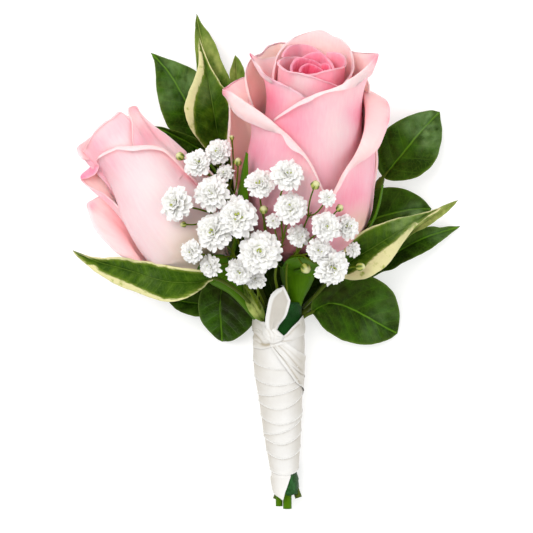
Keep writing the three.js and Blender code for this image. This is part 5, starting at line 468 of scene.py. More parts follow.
def thick_grid(G, th, attrs=None, uv=None, N=None, edge_round=True, close_u=False):
    """A closed shell round the grid G (nv, nu, 3). Returns verts, faces, uv and
    attributes; attribute side is 0 on the outer face (+normal) and 1 inside."""
    nv, nu = G.shape[:2]
    N = grid_normals(G) if N is None else N
    th = np.broadcast_to(np.asarray(th, float), (nv, nu))[..., None]
    top, bot = G + N * th / 2, G - N * th / 2
    n = nv * nu
    ids = np.arange(n).reshape(nv, nu)
    a, b, c, d = ids[:-1, :-1], ids[:-1, 1:], ids[1:, 1:], ids[1:, :-1]
    quads = np.stack([a, b, c, d], -1).reshape(-1, 4)
    faces = [quads, quads[:, ::-1] + n]
    ring = np.concatenate([ids[0, :-1], ids[:-1, -1], ids[-1, :0:-1], ids[:0:-1, 0]])
    rv, ru = np.unravel_index(ring, (nv, nu))
    # outward direction in the sheet at the border
    du, dv = np.zeros((nv, nu, 3)), np.zeros((nv, nu, 3))
    du[:, 0], du[:, -1] = G[:, 0] - G[:, 1], G[:, -1] - G[:, -2]
    dv[0], dv[-1] = G[0] - G[1], G[-1] - G[-2]
    out = unit(unit(du) * (np.abs(du).sum(-1, keepdims=True) > 0) + unit(dv) * (np.abs(dv).sum(-1, keepdims=True) > 0))
    mid = G[rv, ru] + out[rv, ru] * th[rv, ru] * 0.5
    m = len(ring)
    mi = 2 * n + np.arange(m)
    nxt, mn = np.roll(ring, -1), np.roll(mi, -1)
    faces.append(np.stack([ring, mi, mn, nxt], -1))
    faces.append(np.stack([mi, ring + n, nxt + n, mn], -1))
    V = np.concatenate([top.reshape(-1, 3), bot.reshape(-1, 3), mid])
    F = np.concatenate(faces)
    side = np.concatenate([np.zeros(n), np.ones(n), np.full(m, 0.5)])
    A = {"side": side}
    for k, val in (attrs or {}).items():
        if isinstance(val, tuple):      # different on the two faces
            A[k] = np.concatenate([val[0].ravel(), val[1].ravel(), 0.5 * (val[0] + val[1])[rv, ru]])
        else:
            A[k] = np.concatenate([val.ravel(), val.ravel(), val[rv, ru]])
    if uv is None:
        u = np.linspace(0, 1, nu)[None, :].repeat(nv, 0)
        v = np.linspace(0, 1, nv)[:, None].repeat(nu, 1)
        uv = np.stack([u, v], -1)
    UV = np.concatenate([uv.reshape(-1, 2), uv.reshape(-1, 2), uv[rv, ru]])
    return V, F, UV, A


def tube(pts, rad, sides=10, cap=True, start=None):
    """A closed tube along pts with radius rad (scalar or one each)."""
    pts = np.asarray(pts, float)
    n = len(pts)
    rad = np.broadcast_to(np.asarray(rad, float), (n,))
    T = unit(np.gradient(pts, axis=0))
    s = np.cross(T[0], [0, 0, 1.0] if abs(T[0][2]) < 0.9 else [1.0, 0, 0])
    s = s / np.linalg.norm(s)
    rings, ang = [], np.arange(sides) * 2 * np.pi / sides
    for i in range(n):
        s = s - T[i] * np.dot(s, T[i])
        s = s / np.linalg.norm(s)
        w = np.cross(T[i], s)
        rings.append(pts[i] + rad[i] * (np.cos(ang)[:, None] * s + np.sin(ang)[:, None] * w))
    V = np.concatenate(rings)
    ids = np.arange(n * sides).reshape(n, sides)
    a, b = ids[:-1], np.roll(ids, -1, 1)[:-1]
    c, d = np.roll(ids, -1, 1)[1:], ids[1:]
    F = np.stack([a, b, c, d], -1).reshape(-1, 4).tolist()
    if cap:
        V = np.concatenate([V, [pts[0], pts[-1]]])
        k = n * sides
        F += [[k, (j + 1) % sides, j] for j in range(sides)]
        F += [[k + 1, (n - 1) * sides + j, (n - 1) * sides + (j + 1) % sides] for j in range(sides)]
    d = np.concatenate([[0], np.cumsum(np.linalg.norm(np.diff(pts, axis=0), axis=1))])
    along = np.repeat(d, sides)
    around = np.tile(ang / (2 * np.pi), n)
    if cap:
        along, around = np.append(along, [d[0], d[-1]]), np.append(around, [0, 0])
    return V, F, np.stack([around, along * 0.1], -1), along


# ------------------------------------------------------------------ rose frames
class Bloom:
    def __init__(s, d):
        s.B = P(*d["base"])
        L, T = math.radians(d["lean"]), math.radians(d["tilt"])
        s.a = np.array([math.sin(L) * math.cos(T), math.cos(L) * math.cos(T), math.sin(T)])
        s.f = np.array([-math.sin(L) * math.sin(T), -math.cos(L) * math.sin(T), math.cos(T)])
        s.s = np.array([math.cos(L), -math.sin(L), 0.0])
        s.R = np.array(d["R"], float)

    def prof(s, h):
        return np.interp(h, s.R[:, 0], s.R[:, 1])

    def pos(s, phi, h, r):
        ph = np.radians(phi)[..., None] if np.ndim(phi) else math.radians(phi)
        h = np.asarray(h, float)[..., None] if np.ndim(h) else h
        r = np.asarray(r, float)[..., None] if np.ndim(r) else r
        return s.B + h * s.a + r * (np.cos(ph) * s.f + np.sin(ph) * s.s)

    def solve(s, px, py, mode, val):
        o = P(px, py, 0.0)
        d = np.array([-(px - PX) * S / D, (py - PY) * S / D, 1.0])
        w = o - s.B
        x0, y0, dx, dy = w @ s.s, w @ s.f, d @ s.s, d @ s.f
        if mode in ("r", "b"):
            A, Bq, C = dx * dx + dy * dy, 2 * (x0 * dx + y0 * dy), x0 * x0 + y0 * y0 - val * val
            q = Bq * Bq - 4 * A * C
            t = -Bq / (2 * A) if q < 0 else (-Bq + (1 if mode == "r" else -1) * math.sqrt(q)) / (2 * A)
        else:
            ph = math.radians(val)
            t = -(x0 * math.cos(ph) - y0 * math.sin(ph)) / (dx * math.cos(ph) - dy * math.sin(ph))
        p = w + t * d
        x, y = p @ s.s, p @ s.f
        ph = math.degrees(math.atan2(x, y))
        if mode == "f":
            while ph - val > 180:
                ph -= 360
            while ph - val < -180:
                ph += 360
        return ph, p @ s.a, math.hypot(x, y)


BLOOM = {k: Bloom(v) for k, v in ROSES.items()}
TS = [0, 0.10, 0.24, 0.42, 0.60, 0.78, 0.91]


def petal_control(pd):
    R, n = BLOOM[pd["rose"]], len(pd["rim"])
    rim = [R.solve(*q) for q in pd["rim"]]
    phs = [q[0] for q in rim]
    for i in range(1, n):
        while phs[i] - phs[i - 1] > 180:
            phs[i] -= 360
        while phs[i] - phs[i - 1] < -180:
            phs[i] += 360
    b0, b1, h0, r0 = pd["base"]
    mid, sgn = (phs[0] + phs[-1]) / 2, (1 if phs[-1] > phs[0] else -1)
    bc, bw = (b0 + b1) / 2, abs(b1 - b0) / 2
    while bc - mid > 180:
        bc -= 360
    while bc - mid < -180:
        bc += 360
    pts = np.array([R.pos(phs[i], rim[i][1], rim[i][2]) for i in range(n)])
    us = np.concatenate([[0], np.cumsum(np.linalg.norm(np.diff(pts, axis=0), axis=1))])
    us = us / us[-1]
    lip, cols = pd.get("lip"), []
    for i in range(n):
        ph, h, r = phs[i], rim[i][1], rim[i][2]
        pb, col = bc + sgn * (-bw + 2 * bw * us[i]), []
        for t in TS:
            hh, pp = h0 + (h - h0) * t, pb + (ph - pb) * math.sqrt(t)
            rb = pd["k"] * float(R.prof(hh))
            if h0 > 10:
                rb = r0 + (r - r0) * t
            else:
                if hh < 9:
                    g = float(sstep(hh / 9.0))
                    rb = r0 * (1 - g) + rb * g
                hug = pd.get("hug", 0.5)
                w = float(sstep((t - hug) / (1.02 - hug)))
                rb = rb * (1 - w) + r * w
            col.append(R.pos(pp, hh, rb))
        crest = R.pos(ph, h, r)
        rad = R.pos(ph, 0, 1) - R.B
        lp = R.pos(*R.solve(*lip[i])) if lip else crest + 0.55 * rad + 0.25 * R.a
        dd = np.linalg.norm(lp - crest)
        col += [crest, (crest + lp) / 2 + rad * 0.16 * dd + R.a * 0.12 * dd, lp]
        cols.append(col)
    C = np.array(cols)
    return C[::-1] if sgn < 0 else C


def petal_grid(pd, nu, n1, n2):
    """Rows from claw to lip: n1 rows up to just under the crest, n2 over it."""
    C = petal_control(pd)
    A = crs(C, arc_params(C[:, 7], nu))                      # nu, rows, 3
    mid = A[nu // 2]
    split = 6.45 / 9.0
    tv = np.concatenate([arc_params(mid, n1, hi=split)[:-1], np.linspace(split, 1, n2)])
    G = crs(A.transpose(1, 0, 2), tv)                        # nv, nu, 3
    return G


# ------------------------------------------------------------------- materials
EXPOSURE = 1.3      # the studio light on a surface that faces up, over pi


def hue(r, g, b, k=EXPOSURE):
    """Albedo that shows as this colour in the open light."""
    out = []
    for x in (r, g, b):
        c = x / 255.0
        c = c / 12.92 if c <= 0.04045 else ((c + 0.055) / 1.055) ** 2.4
        out.append(min(c / k, 0.92))
    if r >= 248 and r - b > 10:
        out[0] = 0.94
    return (out[0], out[1], out[2], 1.0)


class Mat:
    """One principled material and the nodes that feed it."""

    def __init__(s, name, **const):
        s.m = bpy.data.materials.new(name)
        s.m.use_nodes = True
        s.t = s.m.node_tree
        s.t.nodes.clear()
        out = s.t.nodes.new("ShaderNodeOutputMaterial")
        s.b = s.t.nodes.new("ShaderNodeBsdfPrincipled")
        s.t.links.new(s.b.outputs["BSDF"], out.inputs["Surface"])
        for k, v in const.items():
            s.b.inputs[k.replace("_", " ")].default_value = v

    def put(s, sock, v):
        if isinstance(v, bpy.types.NodeSocket):
            s.t.links.new(v, sock)
        else:
            sock.default_value = v

    def to(s, name, v):
        s.put(s.b.inputs[name], v)

    def attr(s, name):
        a = s.t.nodes.new("ShaderNodeAttribute")
        a.attribute_name = name
        return a.outputs["Fac"]

    def math(s, op, a, b=0.0, c=0.0, clamp=False):
        n = s.t.nodes.new("ShaderNodeMath")
        n.operation, n.use_clamp = op, clamp
        for i, v in enumerate((a, b, c)):
            s.put(n.inputs[i], v)
        return n.outputs[0]

    def mix(s, f, a, b, blend="MIX"):
        n = s.t.nodes.new("ShaderNodeMix")
        n.data_type, n.blend_type, n.clamp_factor = "RGBA", blend, True
        s.put(n.inputs[0], f)
        s.put(n.inputs[6], a)
        s.put(n.inputs[7], b)
        return n.outputs[2]

    def ramp(s, f, stops):
        n = s.t.nodes.new("ShaderNodeValToRGB")
        s.put(n.inputs[0], f)
        el = n.color_ramp.elements
        while len(el) < len(stops):
            el.new(0.5)
        for e, (p, c) in zip(el, stops):
            e.position, e.color = p, c
        return n.outputs[0]

    def step(s, v, a, b, lo=0.0, hi=1.0):
        n = s.t.nodes.new("ShaderNodeMapRange")
        n.interpolation_type = "SMOOTHSTEP"
        for i, x in enumerate((v, a, b, lo, hi)):
            s.put(n.inputs[i], x)
        return n.outputs[0]

    def place(s):
        return s.t.nodes.new("ShaderNodeTexCoord").outputs["Object"]

    def uv(s):
        n = s.t.nodes.new("ShaderNodeUVMap")
        n.uv_map = "surf"
        return n.outputs[0]

    def split(s, vec):
        n = s.t.nodes.new("ShaderNodeSeparateXYZ")
        s.put(n.inputs[0], vec)
        return n.outputs[0], n.outputs[1], n.outputs[2]

    def join(s, x, y, z=0.0):
        n = s.t.nodes.new("ShaderNodeCombineXYZ")
        for i, v in enumerate((x, y, z)):
            s.put(n.inputs[i], v)
        return n.outputs[0]

    def scale(s, vec, k):
        n = s.t.nodes.new("ShaderNodeVectorMath")
        n.operation = "MULTIPLY"
        s.put(n.inputs[0], vec)
        n.inputs[1].default_value = k
        return n.outputs[0]

    def noise(s, vec, scale, detail=3.0, rough=0.5, dist=0.0):
        n = s.t.nodes.new("ShaderNodeTexNoise")
        s.put(n.inputs["Vector"], vec)
        for k, v in (("Scale", scale), ("Detail", detail), ("Roughness", rough), ("Distortion", dist)):
            s.put(n.inputs[k], v)
        return n.outputs[0]

    def cells(s, vec, scale, feature="F1", rand=1.0):
        n = s.t.nodes.new("ShaderNodeTexVoronoi")
        n.feature = feature
        s.put(n.inputs["Vector"], vec)
        s.put(n.inputs["Scale"], scale)
        s.put(n.inputs["Randomness"], rand)
        return n.outputs["Distance"]

    def bump(s, height, distance, strength=1.0, normal=None):
        n = s.t.nodes.new("ShaderNodeBump")
        s.put(n.inputs["Strength"], strength)
        s.put(n.inputs["Distance"], distance)
        s.put(n.inputs["Height"], height)
        if normal is not None:
            s.put(n.inputs["Normal"], normal)
        return n.outputs[0]


def petal_material(name, blush, warm, cream, sss=0.5):
    """blush: colour stops from pale to deep; warm, cream: tints mixed in."""
    m = Mat(name, Roughness=0.52, Subsurface_Weight=sss, Subsurface_Radius=(1.0, 0.58, 0.52),
            Subsurface_Scale=0.002, Specular_IOR_Level=0.22)
    u, v, _ = m.split(m.uv())
    fine = m.noise(m.join(m.math("MULTIPLY", u, 95.0), m.math("MULTIPLY", v, 5.0)), 1.0, 3.0, 0.6, 0.25)
    broad = m.noise(m.join(m.math("MULTIPLY", u, 14.0), m.math("MULTIPLY", v, 2.2)), 1.0, 2.0, 0.5, 0.3)
    cloud = m.noise(m.place(), 190.0, 3.0, 0.55)
    k = m.attr("blush")
    k = m.math("ADD", k, m.math("MULTIPLY", m.math("SUBTRACT", fine, 0.5), 0.16))
    k = m.math("ADD", k, m.math("MULTIPLY", m.math("SUBTRACT", broad, 0.5), 0.20))
    k = m.math("ADD", k, m.math("MULTIPLY", m.math("SUBTRACT", cloud, 0.5), 0.16), clamp=True)
    c = m.ramp(k, blush)
    c = m.mix(m.attr("warm"), c, warm)
    c = m.mix(m.attr("cream"), c, cream)
    # painted shade: the petals turn brown-mauve where the blossoms and the calyx shade them
    c = m.mix(m.attr("dusk"), c, hue(118, 58, 44))
    m.to("Base Color", c)
    grain = m.noise(m.place(), 2600.0, 2.0, 0.5)
    b1 = m.bump(fine, 0.00012, 0.5)
    m.to("Normal", m.bump(grain, 0.00004, 0.35, b1))
    return m.m


def leaf_material(name, dark, light, vein, back, glow, cream=None, cream_spot=None, spacing=4.2, slant=0.85, gloss=0.30, spec=0.22, edge=None, rib_w=(0.008, 0.034)):
    """UV carries centimetres along the midrib and out from it."""
    m = Mat(name, Specular_IOR_Level=spec, Specular_Tint=(0.8, 1.0, 0.2, 1.0))
    x, y, _ = m.split(m.uv())                       # x along, y out, both cm
    ay = m.math("ABSOLUTE", y)
    place = m.place()
    warp = m.math("SUBTRACT", m.noise(place, 130.0, 3.0, 0.6), 0.5)
    q = m.math("SUBTRACT", x, m.math("MULTIPLY", ay, slant))
    q = m.math("ADD", q, m.math("MULTIPLY", m.math("SIGN", y), spacing * 0.022))
    q = m.math("ADD", q, m.math("MULTIPLY", warp, 0.16))
    q = m.math("MULTIPLY", q, 10.0 / spacing)
    tri = m.math("PINGPONG", q, 0.5)                # 0 on a vein, 0.5 between two
    fade = m.attr("fade")
    side = m.math("MULTIPLY", m.step(tri, 0.0, 0.085, 1.0, 0.0), m.math("MULTIPLY", fade, 0.40))
    rib = m.step(ay, rib_w[0], rib_w[1], 1.0, 0.0)
    net = m.cells(m.join(m.math("MULTIPLY", x, 1.0), y), 9.0, "DISTANCE_TO_EDGE")
    net = m.math("MULTIPLY", m.step(net, 0.0, 0.09, 1.0, 0.0), 0.26)
    veins = m.math("MAXIMUM", m.math("MAXIMUM", side, rib), net, clamp=True)
    mottle = m.noise(place, 210.0, 4.0, 0.62, 0.4)
    c = m.mix(m.step(mottle, 0.32, 0.72), dark, light)
    between = m.step(tri, 0.1, 0.5)
    c = m.mix(m.math("MULTIPLY", between, 0.30), c, dark)
    c = m.mix(m.math("MULTIPLY", m.math("MAXIMUM", side, net), 0.5), c, vein)
    c = m.mix(m.math("MULTIPLY", rib, 0.85), c, vein)
    if edge is not None:
        c = m.mix(m.attr("edge"), c, edge)
    if cream is not None:
        d = m.attr("creamd")                        # mm inside the cream part
        n1 = m.math("SUBTRACT", m.noise(m.join(m.math("MULTIPLY", x, 0.5), m.math("MULTIPLY", y, 2.2)), 9.0, 4.0, 0.65), 0.5)
        d = m.math("ADD", d, m.math("MULTIPLY", n1, 1.1))
        k = m.step(d, -0.25, 0.25)
        mid = m.math("MULTIPLY", m.step(d, -0.9, -0.1), 0.35)
        spot = m.noise(place, 420.0, 3.0, 0.6)
        cc = m.mix(m.step(spot, 0.56, 0.78), cream, cream_spot)
        c = m.mix(mid, c, cream_spot)
        c = m.mix(k, c, cc)
    # painted highlight, then painted shade, from the light and shade spots of each leaf
    c = m.mix(m.attr("glow"), c, glow)
    c = m.mix(m.attr("deep"), c, (dark[0] * 0.22, dark[1] * 0.30, dark[2] * 0.2, 1.0))
    c = m.mix(m.step(m.attr("side"), 0.4, 0.6), c, back)
    m.to("Base Color", c)
    rough = m.math("ADD", gloss, m.math("MULTIPLY", mottle, 0.16))
    rough = m.math("ADD", rough, m.math("MULTIPLY", m.step(m.attr("side"), 0.4, 0.6), 0.22), clamp=True)
    m.to("Roughness", rough)
    h = m.math("SUBTRACT", m.math("MULTIPLY", between, 0.6), m.math("MULTIPLY", veins, 0.9))
    b1 = m.bump(h, 0.00030, 0.6)
    m.to("Normal", m.bump(m.noise(place, 1500.0, 3.0, 0.6), 0.00006, 0.45, b1))
    return m.m


def stem_material(name, a, b, cut, streak=60.0, rough=0.45):
    """UV carries turns round and centimetres along."""
    m = Mat(name, Roughness=rough, Specular_IOR_Level=0.2, Specular_Tint=(0.8, 1.0, 0.2, 1.0))
    u, v, _ = m.split(m.uv())
    ring = m.math("MULTIPLY", u, 6.28318)
    vec = m.join(m.math("MULTIPLY", m.math("COSINE", ring), 4.0), m.math("MULTIPLY", m.math("SINE", ring), 4.0), m.math("MULTIPLY", v, 0.8))
    st = m.noise(vec, 1.6, 3.0, 0.6)
    cl = m.noise(m.place(), 260.0, 3.0, 0.6)
    c = m.mix(m.math("ADD", m.math("MULTIPLY", st, 0.6), m.math("MULTIPLY", cl, 0.5), clamp=True), a, b)
    c = m.mix(m.attr("cut"), c, cut)
    m.to("Base Color", c)
    m.to("Normal", m.bump(st, 0.0003, 0.5))
    return m.m


# ------------------------------------------------------------------ the studio
scene = bpy.context.scene
scene.view_settings.view_transform = "Standard"
world = bpy.data.worlds.new("studio")
scene.world = world
world.use_nodes = True
bg = world.node_tree.nodes["Background"]
bg.inputs["Color"].default_value = (1.0, 0.995, 0.985, 1.0)
bg.inputs["Strength"].default_value = 0.80

cam_data = bpy.data.cameras.new("camera")
cam = bpy.data.objects.new("camera", cam_data)
scene.collection.objects.link(cam)
cam.location = ((CX + OFFSET[0]) * 0.001, (CY + OFFSET[1]) * 0.001, D * 0.001)
cam_data.sensor_width = 36.0
cam_data.lens = 36.0 * D / (533 * S)
cam_data.clip_start, cam_data.clip_end = 0.02, 20.0
scene.camera = cam


def softbox(name, direction, dist, size, watts, color=(1, 1, 1)):
    ld = bpy.data.lights.new(name, "AREA")
    ld.shape, ld.size, ld.energy, ld.color = "DISK", size, watts, color
    lo = bpy.data.objects.new(name, ld)
    d = Vector(direction).normalized()
    lo.location = d * dist
    lo.rotation_euler = (-d).to_track_quat("-Z", "Y").to_euler()
    scene.collection.objects.link(lo)
    return lo


softbox("softbox_key", (-0.42, 0.40, 1.0), 1.5, 1.1, 15.0, (1.0, 0.99, 0.97))
softbox("softbox_fill", (0.75, -0.25, 0.85), 1.6, 1.3, 7.0, (0.98, 0.99, 1.0))

floor_mat = Mat("studio_floor", Roughness=0.9, Specular_IOR_Level=0.1, Emission_Strength=0.5)
speck = floor_mat.noise(floor_mat.place(), 40.0, 2.0, 0.5)
floor_mat.to("Base Color", floor_mat.mix(speck, (0.56, 0.56, 0.555, 1), (0.58, 0.58, 0.578, 1)))
floor_mat.b.inputs["Emission Color"].default_value = (1, 1, 1, 1)
bpy.ops.mesh.primitive_plane_add(size=8, location=(0, 0, -0.0002))
floor = bpy.context.object
floor.name = "studio_floor"
floor.data.materials.append(floor_mat.m)


# --------------------------------------------------------------------- petals
PINK = petal_material(
    "petal_pink",
    [(0.0, hue(254, 238, 237)), (0.25, hue(253, 216, 223)), (0.5, hue(252, 186, 204)),
     (0.75, hue(250, 150, 178)), (1.0, hue(246, 70, 116))],
    hue(255, 240, 228), hue(222, 208, 150))
BLUSH = petal_material(
    "petal_blush",
    [(0.0, hue(253, 243, 241)), (0.25, hue(253, 228, 232)), (0.5, hue(252, 204, 214)),
     (0.75, hue(250, 166, 192)), (1.0, hue(244, 116, 156))],
    hue(255, 238, 226), hue(216, 198, 152))

# petals that lie on the bloom up to here and only then flare out to the rim
HUG = {"rose_small_petal_02": 0.70, "rose_small_petal_05": 0.60, "rose_large_petal_09": 0.84, "rose_large_petal_10": 0.80, "rose_large_petal_13": 0.84,
       "rose_large_petal_14": 0.72, "rose_large_petal_08": 0.66, "rose_large_petal_11": 0.66}

# look of each petal: outer blush at the foot, middle and crest and what the
# sides add to it, inner blush at the foot and crest, warmth inside, cream at
# the foot
TONE = {
    "rose_large_petal_01": (0.95, 0.90, 0.86, 0.0, 1.0, 0.92, 0.00, 0),
    "rose_large_petal_02": (0.90, 0.80, 0.74, 0.0, 1.0, 0.86, 0.00, 0),
    "rose_large_petal_03": (0.90, 0.74, 0.66, 0.0, 0.98, 0.84, 0.00, 0),
    "rose_large_petal_04": (0.80, 0.66, 0.58, 0.0, 0.96, 0.72, 0.00, 0),
    "rose_large_petal_05": (0.72, 0.66, 0.62, 0.0, 0.92, 0.62, 0.02, 0),
    "rose_large_petal_06": (0.62, 0.50, 0.40, 0.1, 0.80, 0.50, 0.04, 0),
    "rose_large_petal_07": (0.52, 0.46, 0.34, 0.2, 0.80, 0.40, 0.08, 0),
    "rose_large_petal_08": (0.56, 0.40, 0.26, 0.2, 0.36, 0.10, 0.26, 0),
    "rose_large_petal_09": (0.56, 0.48, 0.40, 0.1, 0.30, 0.06, 0.30, 0),
    "rose_large_petal_10": (0.56, 0.34, 0.30, 0.3, 0.20, 0.05, 0.26, 0),
    "rose_large_petal_11": (0.50, 0.40, 0.30, 0.1, 0.05, 0.00, 0.80, 0),
    "rose_large_petal_12": (0.50, 0.36, 0.26, 0.1, 0.00, 0.00, 0.90, 0),
    "rose_large_petal_13": (0.62, 0.48, 0.38, 0.1, 0.20, 0.06, 0.30, 0.06),
    "rose_large_petal_14": (0.62, 0.48, 0.36, 0.1, 0.10, 0.22, 0.50, 0.06),
    "rose_large_petal_15": (0.60, 0.46, 0.30, 0.1, 0.00, 0.00, 1.00, 0.10),
    "rose_large_petal_16": (0.60, 0.46, 0.36, 0.1, 0.05, 0.05, 0.80, 0.10),
    "rose_large_petal_17": (0.56, 0.40, 0.30, 0.1, 0.10, 0.05, 0.80, 0.10),
    "rose_small_petal_01": (0.34, 0.38, 0.42, 0.1, 0.7, 0.40, 0.10, 0),
    "rose_small_petal_02": (0.24, 0.30, 0.40, 0.1, 0.5, 0.30, 0.20, 0.10),
    "rose_small_petal_03": (0.30, 0.40, 0.46, 0.1, 0.6, 0.40, 0.20, 0),
    "rose_small_petal_04": (0.30, 0.34, 0.40, 0.1, 0.22, 0.16, 0.34, 0),
    "rose_small_petal_05": (0.10, 0.18, 0.30, 0.24, 0.4, 0.10, 0.20, 0.42),
    "rose_small_petal_06": (0.20, 0.12, 0.16, 0.1, 0.16, 0.08, 0.50, 0.30),
    "rose_small_petal_07": (0.34, 0.36, 0.40, 0.1, 0.40, 0.30, 0.30, 0.10),
    "rose_small_petal_08": (0.20, 0.16, 0.18, 0.1, 0.16, 0.08, 0.50, 0.30),
    "rose_small_petal_09": (0.20, 0.18, 0.20, 0.1, 0.20, 0.10, 0.50, 0.30),
}

# soft flushes, partly the petals' own blush and partly painted shade in folds and painted light in dark pockets: place
# on the sheet, radius in mm, deeper (+) or paler (-)
BLUSH_AND_LIGHT_SPOTS = {
    "rose_large_petal_07": [(300, 83, 3.4, -0.20), (331, 88, 3.4, 0.22), (288, 78, 2.0, 0.15)],
    "rose_large_petal_08": [(281, 77, 3.6, 0.26), (347, 76, 3.6, 0.10)],
    "rose_large_petal_09": [(270, 100, 4.5, 0.30), (296, 100, 4.0, -0.15), (262, 73, 3.0, 0.25), (250.7, 54.6, 1.6, 0.7)],
    "rose_large_petal_10": [(345, 130, 7.0, -0.24), (336, 98, 4.0, -0.04), (372, 62, 3.0, 0.2), (296, 122, 6.0, 0.16), (359, 118, 4.5, 0.42),
                            (358, 150, 4.5, 0.30), (330, 190, 6.0, 0.26), (345, 170, 4.0, -0.12), (377, 57, 1.8, 0.65)],
    "rose_large_petal_11": [(263, 96, 2.4, 0.30), (256, 78, 3.0, 0.06), (252, 100, 3.0, -0.20)],
    "rose_large_petal_13": [(256, 150, 4.5, 0.20), (300, 180, 8.0, -0.20), (222.7, 92.6, 1.7, 0.75), (272, 170, 5.0, 0.10),
                            (236, 84, 3.5, 0.14), (244, 96, 3.0, -0.06), (292, 146, 3.5, 0.16)],
    "rose_large_petal_14": [(382, 120, 5.0, 0.22), (290, 143, 1.0, 0), (361, 112, 2.6, 0.20), (364, 130, 2.4, 0.16), (388.4, 102, 1.7, 0.65), (390.5, 121, 1.5, 0.6),
                            (350, 200, 4.5, 0.22), (372, 205, 4.5, 0.10), (372, 220, 4.0, -0.3)],
    "rose_large_petal_15": [(240, 150, 6.0, -0.20)], "rose_large_petal_12": [(362, 66, 6.0, -0.25)],
    "rose_small_petal_01": [(103, 150, 3.0, 0.10), (97, 140, 3.0, 0.08), (115, 132, 2.4, 0.10), (120, 150, 4.0, -0.2)],
    "rose_small_petal_02": [(146, 138, 4.0, 0.20), (134, 120, 2.0, -0.2), (136.4, 108, 1.2, 0.3), (176, 152, 4.0, -0.2)],
    "rose_small_petal_03": [(82, 150, 2.0, 0.25)],
    "rose_small_petal_04": [(92, 172, 3.0, 0.42), (82, 179, 1.4, 0.4), (108, 196, 3.0, 0.15)],
    "rose_small_petal_05": [(150, 190, 9.0, -0.14), (112, 165, 4.5, 0.20), (186, 178, 6.0, 0.20), (128, 200, 5.0, 0.1), (180, 245, 8.0, -0.1)],
    "rose_small_petal_07": [(120, 212, 6.5, 0.28), (136, 244, 6.0, 0.20), (92, 206, 1.4, 0.4)],
}


# a cream tint at one side of the foot
CREAM_SIDE = {"rose_large_petal_14": (362, 228, 5.5, 0.5), "rose_small_petal_05": (200, 258, 9.0, 0.75)}

# painted shade where the blossoms and the calyx shade the lower petals, darkest towards the calyx: place, radius in mm,
# amount
CALYX_SHADE_SPOTS = {
    "large": [(262, 206, 4.0, 0.35), (272, 226, 5.2, 0.80), (288, 246, 6.0, 0.85), (312, 262, 5.0, 0.70), (250, 205, 3.5, 0.40), (330, 266, 4.0, 0.45)],
    "small": [(214, 238, 4.5, 0.28), (216, 222, 4.0, 0.20), (211, 172, 3.5, 0.22)],
}


